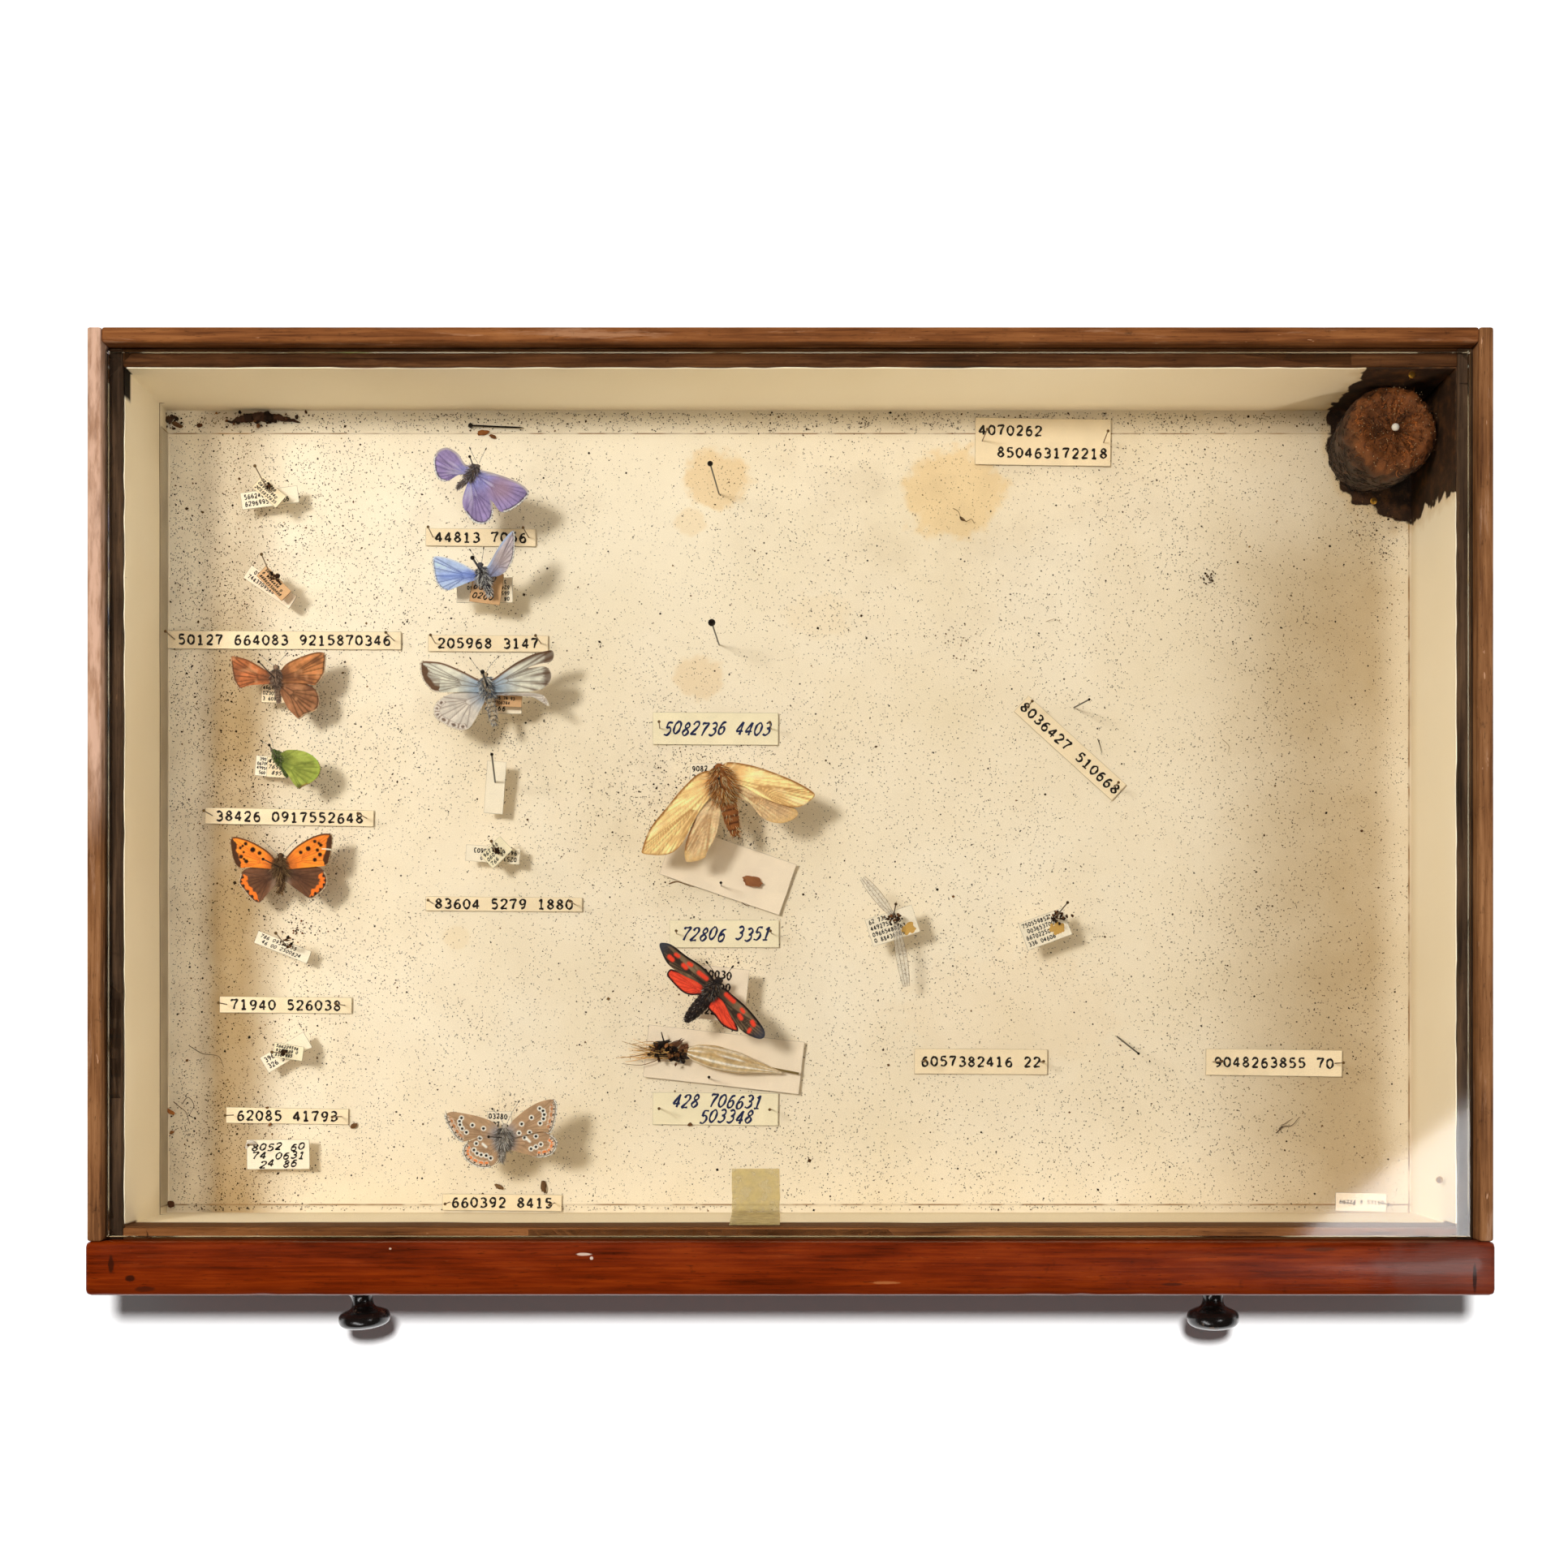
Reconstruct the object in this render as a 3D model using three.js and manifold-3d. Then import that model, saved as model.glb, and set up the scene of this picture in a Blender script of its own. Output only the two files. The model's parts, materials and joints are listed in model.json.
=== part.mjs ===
// Insect collection drawer: a glazed wooden drawer with pinned butterflies, moths, labels and cards.
// Millimetres, +Z up. The origin is the middle of the drawer's footprint, knobs included, on the
// surface that it rests on. +X is to the right and -Y is the front, where the knobs are.

import * as THREE from 'three';
import { mergeVertices } from 'three/addons/utils/BufferGeometryUtils.js';
import Module from 'manifold-3d';

const wasm = await Module();
wasm.setup();

// ---- driving dimensions ----
const HEIGHT = 56; // of the whole drawer
const FRONT_BOARD_X = 178.3; // half its length
const FRONT_BOARD_OUT = -116.15; // its outer face
const FRONT_BOARD_IN = -102.4; // its inner face
const SIDE_OUT = 177.7; // outer faces of the side boards
const SIDE_IN = 174.0; // their inner faces
const BACK_OUT = 128.65;
const BACK_IN = 124.75;
const FILLET_X = 170.0; // inner faces of the side fillets
const FILLET_BACK = 120.0;
const FILLET_FRONT = -99.4;
const GLASS_REST = 51; // top of the fillets
const GLASS_THICK = 2;
const GLASS_LEFT = -173.7;
const GLASS_RIGHT = 172.8;
const GLASS_FRONT = -101.7;
const GLASS_BACK = 123.6;
const BOTTOM_THICK = 5;
const PAPER_TOP = 11; // the floor that the pins stand in
const FLOOR_PAPER = 0.4;
const WALL_PAPER = 0.3;
const WALL_PAPER_TOP = 50.6;
const CARD = 0.3; // thickness of labels and cards
const WING = 0.3;
const PIN_RADIUS = 0.25;
const PIN_HEAD = 0.7;
const PIN_TOP = 44; // height of a long pin's head
const KNOB_HEIGHT = 28;
const KNOB_X = [-113.6, 112.2];
const KNOB_FLANGE = 6.2; // radius
const KNOB_LEAN = 6; // degrees, of the loose left knob
const KNOB_HOLE = { radius: 2.2, depth: 9 };
const KNOB_GAP = 0.3; // between the loose knob's flange and the board
const LEFT_KNOB_LENGTH = 0.91; // of the right knob's
const PAD = { x: 157.2, y: 107.4, foot: 10, girth: 11.9, top: 40 };
const TAPE = { left: -15.6, right: -2.6, inner: -87.1, thick: 0.2, top: 50.6 };

// ---- materials ----
function finish(color, roughness, metalness = 0) {
  return new THREE.MeshStandardMaterial({ color, roughness, metalness });
}
const mahogany = finish(0x8a3a16, 0.3);
const brownWood = finish(0x7c5030, 0.6);
const darkWood = finish(0x35281e, 0.6);
const cork = finish(0xa97c50, 0.95);
const paper = finish(0xecdcb8, 0.9);
const labelCard = finish(0xefd9b4, 0.85);
const whiteCard = finish(0xeadfd0, 0.85);
const clearGlass = finish(0xdfe8e4, 0.05);
const ebony = finish(0x17130f, 0.25);
const steel = finish(0x2c2824, 0.4, 0.8);
const fibre = finish(0x6b3f1f, 1);
const tapeFilm = finish(0xe3cf8e, 0.4);

// ---- shape helpers ----
function solid(geometry) {
  const bare = geometry.clone();
  bare.deleteAttribute('normal');
  bare.deleteAttribute('uv');
  const merged = mergeVertices(bare, 1e-4);
  return new wasm.Manifold(new wasm.Mesh({
    numProp: 3,
    vertProperties: new Float32Array(merged.attributes.position.array),
    triVerts: new Uint32Array(merged.index.array),
  }));
}

function geometryOf(manifold) {
  const mesh = manifold.getMesh();
  const geometry = new THREE.BufferGeometry();
  geometry.setAttribute('position', new THREE.BufferAttribute(mesh.vertProperties, 3));
  geometry.setIndex(new THREE.BufferAttribute(mesh.triVerts, 1));
  return geometry;
}

function fuse(pieces) {
  return geometryOf(pieces.map(solid).reduce((whole, piece) => whole.add(piece)));
}

function block(x0, x1, y0, y1, z0, z1) {
  const geometry = new THREE.BoxGeometry(x1 - x0, y1 - y0, z1 - z0);
  return geometry.translate((x0 + x1) / 2, (y0 + y1) / 2, (z0 + z1) / 2);
}

// Shears an upright shape that stands on the origin, so that it runs from foot to head. Its foot stays
// level, and stands flush.
function lean(geometry, foot, head) {
  const rise = head[2] - foot[2];
  const shear = new THREE.Matrix4().set(
    1, 0, (head[0] - foot[0]) / rise, foot[0],
    0, 1, (head[1] - foot[1]) / rise, foot[1],
    0, 0, 1, foot[2],
    0, 0, 0, 1,
  );
  return geometry.applyMatrix4(shear);
}

// A rod between any two points, square to its own line.
function rod(a, b, radius = 0.16, sides = 3) {
  const from = new THREE.Vector3(...a);
  const to = new THREE.Vector3(...b);
  const along = to.clone().sub(from);
  const geometry = new THREE.CylinderGeometry(radius, radius, along.length(), sides);
  const turn = new THREE.Quaternion().setFromUnitVectors(new THREE.Vector3(0, 1, 0), along.normalize());
  geometry.applyQuaternion(turn);
  return geometry.translate(...from.add(to).multiplyScalar(0.5).toArray());
}

// An egg-shaped lump whose long axis runs from a to b.
function lump(a, b, radius, around = 7, along = 4) {
  const from = new THREE.Vector3(...a);
  const to = new THREE.Vector3(...b);
  const line = to.clone().sub(from);
  const geometry = new THREE.SphereGeometry(1, around, along);
  geometry.scale(radius, line.length() / 2, radius);
  const turn = new THREE.Quaternion().setFromUnitVectors(new THREE.Vector3(0, 1, 0), line.normalize());
  geometry.applyQuaternion(turn);
  return geometry.translate(...from.add(to).multiplyScalar(0.5).toArray());
}

// A pin with its head: foot and head are places on the plan, top is the head's height.
function pin(foot, head, top = PIN_TOP, headRadius = PIN_HEAD) {
  const rise = top - PAPER_TOP;
  const profile = [
    [0, 0], [PIN_RADIUS, 0], [PIN_RADIUS, rise - headRadius], [headRadius, rise], [0, rise + headRadius],
  ].map(([radius, up]) => new THREE.Vector2(radius, up));
  const turned = new THREE.LatheGeometry(profile, 4);
  turned.rotateX(Math.PI / 2);
  return lean(turned, [...foot, PAPER_TOP], [...head, top]);
}

// A rectangle of card: centre, length, width, turn in degrees about +Z and height of its underside.
function card(x, y, length, width, turn, z, thick = CARD) {
  const geometry = new THREE.BoxGeometry(length, width, thick);
  geometry.rotateZ(THREE.MathUtils.degToRad(turn));
  return geometry.translate(x, y, z + thick / 2);
}

// A flat wing of the given outline, tilted so that it rises by slopeX and slopeY per millimetre.
function wing(outline, z, slopeX = 0, slopeY = 0) {
  const shape = new THREE.Shape(outline.map(([x, y]) => new THREE.Vector2(x, y)));
  const geometry = new THREE.ExtrudeGeometry(shape, { depth: WING, bevelEnabled: false });
  const tilt = new THREE.Matrix4().set(
    1, 0, 0, 0,
    0, 1, 0, 0,
    slopeX, slopeY, 1, z - WING / 2,
    0, 0, 0, 1,
  );
  return geometry.applyMatrix4(tilt);
}

const drawer = new THREE.Group();

function add(name, geometry, material) {
  const mesh = new THREE.Mesh(geometry, material);
  mesh.name = name;
  drawer.add(mesh);
  return mesh;
}

// ---- the box ----
function buildBoards() {
  const knobHoles = KNOB_X.map((x) => {
    const { radius, depth } = KNOB_HOLE;
    const drill = new THREE.CylinderGeometry(radius, radius, depth + 1, 8);
    return drill.translate(x, FRONT_BOARD_OUT + (depth - 1) / 2, KNOB_HEIGHT);
  });
  const plank = block(-FRONT_BOARD_X, FRONT_BOARD_X, FRONT_BOARD_OUT, FRONT_BOARD_IN, 0, HEIGHT);
  const drilled = knobHoles.reduce((board, hole) => board.subtract(solid(hole)), solid(plank));
  add('front_board', geometryOf(drilled), mahogany);
  add('back_board', block(-SIDE_IN, SIDE_IN, BACK_IN, BACK_OUT, 0, HEIGHT), brownWood);
  add('side_board_left', block(-SIDE_OUT, -SIDE_IN, FRONT_BOARD_IN, BACK_OUT, 0, HEIGHT), brownWood);
  add('side_board_right', block(SIDE_IN, SIDE_OUT, FRONT_BOARD_IN, BACK_OUT, 0, HEIGHT), brownWood);
  add('bottom_board', block(-SIDE_IN, SIDE_IN, FRONT_BOARD_IN, BACK_IN, 0, BOTTOM_THICK), brownWood);
}

function buildLining() {
  const low = BOTTOM_THICK;
  add('fillet_left', block(-SIDE_IN, -FILLET_X, FRONT_BOARD_IN, BACK_IN, low, GLASS_REST), darkWood);
  add('fillet_right', block(FILLET_X, SIDE_IN, FRONT_BOARD_IN, BACK_IN, low, GLASS_REST), darkWood);
  add('fillet_back', block(-FILLET_X, FILLET_X, FILLET_BACK, BACK_IN, low, GLASS_REST), brownWood);
  add('fillet_front', block(-FILLET_X, FILLET_X, FRONT_BOARD_IN, FILLET_FRONT, low, GLASS_REST), brownWood);
  const bedTop = PAPER_TOP - FLOOR_PAPER;
  add('cork_bed', block(-FILLET_X, FILLET_X, FILLET_FRONT, FILLET_BACK, low, bedTop), cork);
  add('floor_paper', block(-FILLET_X, FILLET_X, FILLET_FRONT, FILLET_BACK, bedTop, PAPER_TOP), paper);
  const outer = block(-FILLET_X, FILLET_X, FILLET_FRONT, FILLET_BACK, PAPER_TOP, WALL_PAPER_TOP);
  const inner = block(
    WALL_PAPER - FILLET_X, FILLET_X - WALL_PAPER,
    FILLET_FRONT + WALL_PAPER, FILLET_BACK - WALL_PAPER,
    PAPER_TOP - 1, WALL_PAPER_TOP + 1,
  );
  add('wall_paper', geometryOf(solid(outer).subtract(solid(inner))), paper);
  const glassTop = GLASS_REST + GLASS_THICK;
  const pane = block(GLASS_LEFT, GLASS_RIGHT, GLASS_FRONT, GLASS_BACK, GLASS_REST, glassTop);
  add('glass_pane', pane, clearGlass);
}

// A turned knob: a flange on the board, a waist, and a mushroom cap. Its dowel goes into the board.
function buildKnobs() {
  const profile = [
    [0, -7.5], [1.1, -7.5], [1.1, 0], [KNOB_FLANGE, 0], [KNOB_FLANGE, 1.1], [3.1, 2.4], [2.7, 4.4],
    [3.6, 6.4], [6.3, 7.6], [6.8, 9.3], [6.1, 11.2], [3.2, 12.3], [0, 12.5],
  ].map(([radius, out]) => new THREE.Vector2(radius, out));
  const turned = new THREE.LatheGeometry(profile, 14);
  turned.rotateX(Math.PI);
  const right = add('knob_right', turned, ebony);
  right.position.set(KNOB_X[1], FRONT_BOARD_OUT, KNOB_HEIGHT);
  const left = add('knob_left', turned.clone(), ebony);
  left.scale.y = LEFT_KNOB_LENGTH;
  left.rotation.z = THREE.MathUtils.degToRad(KNOB_LEAN);
  const rise = KNOB_FLANGE * Math.sin(left.rotation.z);
  left.position.set(KNOB_X[0], FRONT_BOARD_OUT - KNOB_GAP - rise, KNOB_HEIGHT);
}

// Old adhesive tape, from the floor up the front wall.
function buildTape() {
  const wall = FILLET_FRONT + WALL_PAPER;
  const corner = [
    [wall, PAPER_TOP], [TAPE.inner, PAPER_TOP], [TAPE.inner, PAPER_TOP + TAPE.thick],
    [wall + TAPE.thick, PAPER_TOP + TAPE.thick], [wall + TAPE.thick, TAPE.top], [wall, TAPE.top],
  ];
  const shape = new THREE.Shape(corner.map(([y, z]) => new THREE.Vector2(y, z)));
  const geometry = new THREE.ExtrudeGeometry(shape, { depth: TAPE.right - TAPE.left, bevelEnabled: false });
  const stand = new THREE.Matrix4().set(
    0, 0, 1, TAPE.left,
    1, 0, 0, 0,
    0, 1, 0, 0,
    0, 0, 0, 1,
  );
  add('tape', geometry.applyMatrix4(stand), tapeFilm);
}

// A wad of preservative in the back right corner, held by a pin.
function buildPad() {
  const { x, y, foot, girth, top } = PAD;
  const rise = top - PAPER_TOP;
  const profile = [
    [0, 0], [foot, 0], [foot + 1.4, rise * 0.3], [girth, rise * 0.72], [girth * 0.86, rise * 0.93],
    [girth * 0.45, rise], [0, rise * 0.97],
  ].map(([radius, up]) => new THREE.Vector2(radius, up));
  const wad = new THREE.LatheGeometry(profile, 18);
  wad.rotateX(Math.PI / 2);
  wad.translate(x, y, PAPER_TOP);
  add('preservative_pad', fuse([wad, pin([x, y], [x, y], top + 1.5, 1)]), fibre);
}

// ---- labels and cards ----
const NAME_LABELS = [ // x, y, length, width, turn
  [-137.5, 56.9, 63.6, 4.9, -0.3], [-136.1, 8.7, 45.9, 4.4, -1], [-137.1, -42.5, 36.0, 4.4, -0.5],
  [-136.7, -72.7, 33.3, 4.3, -0.8], [-84.0, 84.9, 30.0, 4.8, -0.4], [-82.0, 56.0, 32.7, 4.5, -0.3],
  [-77.7, -15.0, 42.6, 3.9, -0.4], [-78.2, -96.3, 32.5, 4.5, -0.5], [-20.1, 32.8, 34.2, 8.8, -0.3],
  [-17.7, -23.1, 29.8, 7.5, 0], [-20.1, -70.8, 34.2, 8.8, -0.5], [69.1, 110.9, 36.9, 12.8, -0.8],
  [76.5, 27.5, 36.1, 5.9, -42.3], [52.2, -57.9, 36.2, 6.9, -0.4], [132.0, -58.2, 37.1, 7.2, -0.7],
  [155.7, -96.2, 13.9, 5.1, -1],
];
const LABEL_LIFT = 0.5; // of a name label above the floor
const LABEL_PIN_TOP = 22.5;
const LABEL_PIN_INSET = 1.9;

function buildNameLabels() {
  NAME_LABELS.forEach(([x, y, length, width, turn], index) => {
    const strip = card(x, y, length, width, turn, PAPER_TOP + LABEL_LIFT);
    const angle = THREE.MathUtils.degToRad(turn);
    const reach = length / 2 - LABEL_PIN_INSET;
    const pins = [-1, 1].map((end) => {
      const place = [x + end * reach * Math.cos(angle), y + end * reach * Math.sin(angle)];
      return pin(place, [place[0] - 0.4 * end, place[1] + 0.4], LABEL_PIN_TOP, 0.55);
    });
    const name = `name_label_${String(index + 1).padStart(2, '0')}`;
    add(name, fuse([strip, ...pins]), labelCard);
  });
  const raised = card(-138.2, -82.9, 17, 8, 0, PAPER_TOP + 4.5);
  const holder = pin([-144.4, -80.6], [-144.0, -79.8], 26, 0.55);
  add('name_label_17', fuse([raised, holder]), whiteCard);
}

const DATA_LABELS = [ // foot and head of the pin, then cards: x, y, length, width, turn, height
  [[-141.0, 95.6], [-138.0, 96.4], [[-140.2, 94.4, 15.5, 4.5, 7.7, 17], [-139.6, 95.2, 8.7, 4.2, -41, 20.5]]],
  [[-139.9, 71.2], [-136.3, 73.6], [[-140.1, 70.3, 15, 4.1, -34.4, 17], [-138.3, 70.6, 9.6, 3.8, -45.5, 20.5]]],
  [[-136.4, -27.4], [-132.6, -24.1], [[-136.7, -26.9, 15.1, 3.5, -21.8, 17]]],
  [[-137.2, -55.6], [-133.6, -54.8], [[-135.8, -55.3, 13.7, 4.8, 30.7, 17], [-134.4, -55.1, 8, 3.9, -9, 20.5]]],
  [[-80.0, 16.6], [-76.9, 22.0], [[-79.4, 16.2, 5.2, 14, -5, 17]]],
  [[-79.8, -2.0], [-77.0, -0.4], [[-80.0, -1.9, 14.6, 4.4, -4.3, 17], [-78.6, -1.6, 7.4, 5, 44, 20.5]]],
];

function buildDataLabels() {
  DATA_LABELS.forEach(([foot, head, cards], index) => {
    const sheets = cards.map(([x, y, length, width, turn, z]) => card(x, y, length, width, turn, z));
    add(`data_label_pin_${index + 1}`, fuse([...sheets, pin(foot, head)]), whiteCard);
  });
}

function buildCards() {
  const moth = card(-16.7, -5.6, 34.5, 14.6, -19, PAPER_TOP + 1);
  add('moth_card', fuse([moth, pin([-18.5, -10.1], [-18.3, -9.9], 24, 0.55)]), whiteCard);
  const cocoon = card(-17.8, -57.3, 42.6, 14.3, -6.4, PAPER_TOP + 1);
  add('cocoon_card', fuse([cocoon, pin([-21.8, -62.6], [-21.5, -61.8], 24, 0.55)]), whiteCard);
}

// Pins with nothing on them: foot, head and height of the head.
const LONE_PINS = [
  [[-19.1, 96.8], [-20.6, 97.0], 44], [[-19.1, 55.7], [-20.3, 56.7], 40],
  [[77.6, 38.6], [78.3, 37.3], 36], [[89.3, -51.0], [91.2, -55.3], 36],
];

function buildLonePins() {
  LONE_PINS.forEach(([foot, head, top], index) => {
    add(`lone_pin_${index + 1}`, pin(foot, head, top), steel);
  });
  const rest = PAPER_TOP + PIN_HEAD;
  const shank = rod([-86.8, 115.4, rest], [-72.4, 114.8, rest], PIN_RADIUS, 4);
  const knob = new THREE.OctahedronGeometry(PIN_HEAD).translate(-86.8, 115.4, rest);
  add('lying_pin', fuse([shank, knob]), steel);
}

// ---- specimens ----
// at: the middle of the thorax. Wing outlines and body points are measured from it. A wing's slope is
// its rise per millimetre to the right and to the back. Threads are antennae and legs.
const SPECIMENS = {
  holly_blue: {
    at: [-82.8, 98.0, 29],
    color: 0x7d75c0,
    pin: [[-83.3, 97.4], [-82.6, 98.8]],
    body: [[[0.2, 1.6, 0.3], [0.6, 3.3, 0.3], 0.8], [[0.3, 2.3, 0], [-2.4, -1.3, 0], 1.3],
      [[-1.6, -0.6, 0], [-5.4, -3.8, -0.6], 0.9]],
    wings: [
      [[[0, 0], [-1.1, 1.9], [-3, 2.5], [-4.9, 5.2], [-7.7, 6.7], [-10.1, 5.8], [-11.1, 3.3],
        [-10.7, 0], [-9.3, -1.9], [-7.1, -1.9], [-4.4, -0.4]], 0.3, -0.08, 0],
      [[[-0.3, 1], [5.5, -0.3], [11, -2.5], [13.7, -4.7], [13.1, -6.6], [11, -8.5], [8.5, -9.9],
        [6.3, -10.1], [4.4, -7.7], [2.2, -5.5], [-0.6, -1.4]], 0.3, 0.07, 0],
      [[[-0.8, 0.4], [1.1, -2.2], [3.3, -4.9], [4.2, -8.2], [3.8, -11.5], [1.6, -13.1], [-1.1, -12.3],
        [-3.3, -9.3], [-3.7, -6.6], [-2.4, -2.3]], -0.3, 0, 0],
    ],
    threads: [[[0.3, 2.8, 0.3], [-1.6, 6.4, 1.2]], [[0.7, 2.8, 0.3], [2.6, 6.2, 1.4]],
      [[-0.6, 0.8, -0.2], [2.4, 0.4, -5]], [[-1.4, 0, -0.2], [-3.4, 1.2, -4.6]]],
    cards: [],
  },
  adonis_blue: {
    at: [-81.3, 71.8, 27],
    color: 0x8fb2e6,
    pin: [[-80.9, 71.1], [-81.9, 72.7]],
    body: [[[-0.4, 1.2, 0.2], [-1.0, 3, 0.4], 0.9], [[-0.6, 2, 0], [0.4, -2, 0], 1.5],
      [[0, -1, -0.2], [1.8, -5.6, -0.8], 1.1]],
    wings: [
      [[[-0.2, 0], [-2.5, 0.9], [-5.2, 2.5], [-8.5, 3.8], [-11.2, 4.4], [-12.9, 4.2], [-13.1, 2.5],
        [-12.6, -0.8], [-11.8, -3], [-9.8, -4.5], [-6.8, -3.6], [-3.6, -2.2], [-0.4, -1]], 0.3, -0.12, 0],
      [[[0, -0.6], [0.6, 1.2], [1.9, 2.6], [4.1, 5.7], [6.3, 8.2], [8.5, 9.8], [9.1, 8.8],
        [9.1, 5.7], [8.5, 2.5], [6.3, -0.3], [3.6, -1.1]], 0, 0.75, 0.1],
    ],
    threads: [[[-0.9, 2.6, 0.3], [-3.2, 6, 2]], [[-0.5, 2.6, 0.3], [0.4, 6.4, 2.6]],
      [[0.4, 0, -0.8], [3, 0, -5]], [[-0.6, -0.4, -0.8], [-2.6, -2.2, -5]]],
    cards: [[-0.5, -2.9, 15, 6.8, 0, 20], [0.4, -2.9, 8.2, 8.4, -8, 23]],
  },
  chalk_hill_blue: {
    at: [-80.5, 42.0, 26],
    color: 0xb9c4cc,
    pin: [[-81.2, 41.2], [-79.3, 43.3]],
    body: [[[-0.3, 1.8, 0.2], [-0.7, 3.9, 0.4], 1], [[-0.5, 2.8, 0], [0.5, -2.6, 0], 1.6],
      [[0.3, -1.6, -0.1], [2, -10.1, -0.6], 1.3]],
    wings: [
      [[[0, 1], [-2.8, 2.3], [-6.6, 4.2], [-11.2, 6.1], [-14.5, 6.6], [-17.1, 6.5], [-17.4, 4.7],
        [-16.9, 2.3], [-15.4, 0], [-13.1, -1.4], [-5.6, -1.4], [0, -1.2]], 0.3, -0.06, 0],
      [[[0, -0.4], [-7.5, -1.4], [-10.3, -2.1], [-12.6, -3.5], [-14, -5.6], [-13.6, -8], [-11.2, -9.8],
        [-8, -11.2], [-5.1, -11.1], [-3.3, -8.9], [0, -2.4]], -0.3, -0.03, 0],
      [[[0, 1], [2.3, 2.5], [4.7, 4.2], [8.4, 6.6], [12.2, 8.4], [15.9, 9.3], [17.6, 9.4], [18, 8],
        [17.1, 6.5], [14, 5.9], [11.2, 4.9], [15.9, 5.1], [17.3, 2.6], [15.9, 0], [13.1, -1.2],
        [8, -1.4], [0.4, -1.2]], 0.3, 0.08, 0],
      [[[0, -0.4], [8, -0.8], [11.7, -1.5], [15, -2.3], [16.4, -4.2], [16.4, -5.1], [14, -3.7],
        [11.5, -2.6], [4.7, -2.2], [0.4, -1.8]], -0.3, 0.06, 0],
    ],
    threads: [[[-0.8, 3.4, 0.3], [-4.2, 7.4, 1.4]], [[-0.4, 3.4, 0.3], [3.2, 7.8, 1.4]],
      [[0.5, 0, -0.8], [3.4, -3.4, -5]], [[-0.6, -0.8, -0.8], [-2.4, -4.4, -5]]],
    cards: [[4, -1.8, 10, 5.6, -4, 22], [3.2, -2.9, 10.6, 6.6, 0, 19]],
  },
  green_hairstreak: {
    at: [-137.4, 44.9, 22],
    color: 0x8a5a34,
    pin: [[-137.9, 44.2], [-137.0, 45.9]],
    body: [[[0, 1.6, 0.2], [0, 3.6, 0.3], 0.9], [[0, 2.6, 0], [0.1, -2.2, 0], 1.4],
      [[0.1, -1.4, 0], [0.6, -6.6, -0.4], 1]],
    wings: [
      [[[0, 0.6], [-1.8, 1.6], [-4.2, 3.1], [-7.5, 4.9], [-10.4, 5.7], [-11.9, 5.6], [-11.8, 2.8],
        [-11.1, -0.5], [-10.1, -2.4], [-9.2, -2.6], [-6.6, -1.9], [0, -1.2]], 0.2, -0.05, 0],
      [[[0, 0.6], [0.9, 1.6], [2.8, 3.8], [6.1, 5.4], [9.9, 6.7], [12.3, 6.9], [13.3, 6.1], [13.3, 4.2],
        [13, 1.4], [11.8, -0.7], [10.4, -1.9], [6.6, -1.3], [0, -1]], 0.2, 0.05, 0],
      [[[0, -0.2], [5.2, -0.7], [8.5, -1.6], [10.8, -3.3], [11.5, -5.2], [11.3, -7.5], [10.4, -8.5],
        [9, -9.2], [7.5, -9.7], [6.1, -10.7], [4.7, -9.7], [2.8, -7.5], [0.2, -2]], -0.3, 0.03, 0],
    ],
    threads: [[[-0.3, 3.2, 0.2], [-4.2, 6.2, 1]], [[0.3, 3.2, 0.2], [3.1, 6.5, 1]],
      [[0.4, 0, -0.6], [2.6, 2.6, -4.4]], [[-0.6, -0.8, -0.6], [-3.2, -3.2, -4.6]],
      [[0.5, -6, -0.3], [0.8, -8.8, -0.4]]],
    cards: [[-1.9, -2.5, 6.4, 6.6, -2, 16.5]],
  },
  green_hairstreak_closed: {
    at: [-136.2, 23.3, 24],
    color: 0x5f8a35,
    pin: [[-138.5, 22.3], [-134.3, 24.4]],
    body: [[[-0.9, 1, 0], [-2, 2.6, 0.1], 0.8], [[-1.3, 2, -0.2], [0.8, -1.8, -0.4], 1.2],
      [[0.4, -1, -0.4], [2, -5, -0.8], 0.9]],
    wings: [
      [[[-0.6, 0], [1.1, 1.6], [2.9, 2.2], [6.7, 1.8], [9.5, 0.2], [10.9, -2.1], [10.5, -4.5],
        [8.6, -6.4], [6.2, -7.5], [5.3, -8], [3.9, -6.8], [2.5, -4.5], [0.4, -1.6]], 0.4, -0.04, 0.02],
    ],
    threads: [[[-1.7, 2.2, 0.1], [-4.6, 4.6, 0.6]], [[-1.5, 2.4, 0.1], [-2.4, 6, 0.8]],
      [[-1, 0, -0.6], [-4.2, -1.2, -3.6]]],
    cards: [[-4.4, -1.3, 7.6, 5.4, -5, 15.6], [-1.7, -1.9, 5.4, 5.4, -3, 18.6]],
  },
  small_copper: {
    at: [-136.2, -5.8, 22],
    color: 0xd9752a,
    pin: [[-136.4, -6.2], [-135.9, -5.0]],
    body: [[[0, 2, 0.2], [-0.1, 3.9, 0.4], 1], [[0, 3, 0], [0, -2.4, 0], 1.7],
      [[0, -1.4, 0], [-0.2, -7, -0.6], 1.3]],
    wings: [
      [[[0, 0.8], [-1.4, 2.3], [-3.5, 4.5], [-7.3, 6.8], [-10.6, 8], [-12.5, 8.2], [-13.3, 7.4],
        [-13.2, 5.7], [-12.7, 2.8], [-11.8, 0.7], [-10.6, -0.1], [-7.8, 0.1], [0, -0.4]], 0.3, -0.05, 0],
      [[[0, 0.8], [1.2, 2.4], [4, 5.4], [7.8, 7.8], [11.1, 9], [13.4, 9], [14, 8], [13.9, 5.7],
        [13.4, 2.8], [12.5, 0.7], [9.2, 0.2], [0, -0.4]], 0.3, 0.05, 0],
      [[[0, 0.2], [-6.8, 0.2], [-9.7, -0.5], [-10.8, -2.4], [-11.1, -4.2], [-9.7, -6.1], [-8.2, -8],
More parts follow.
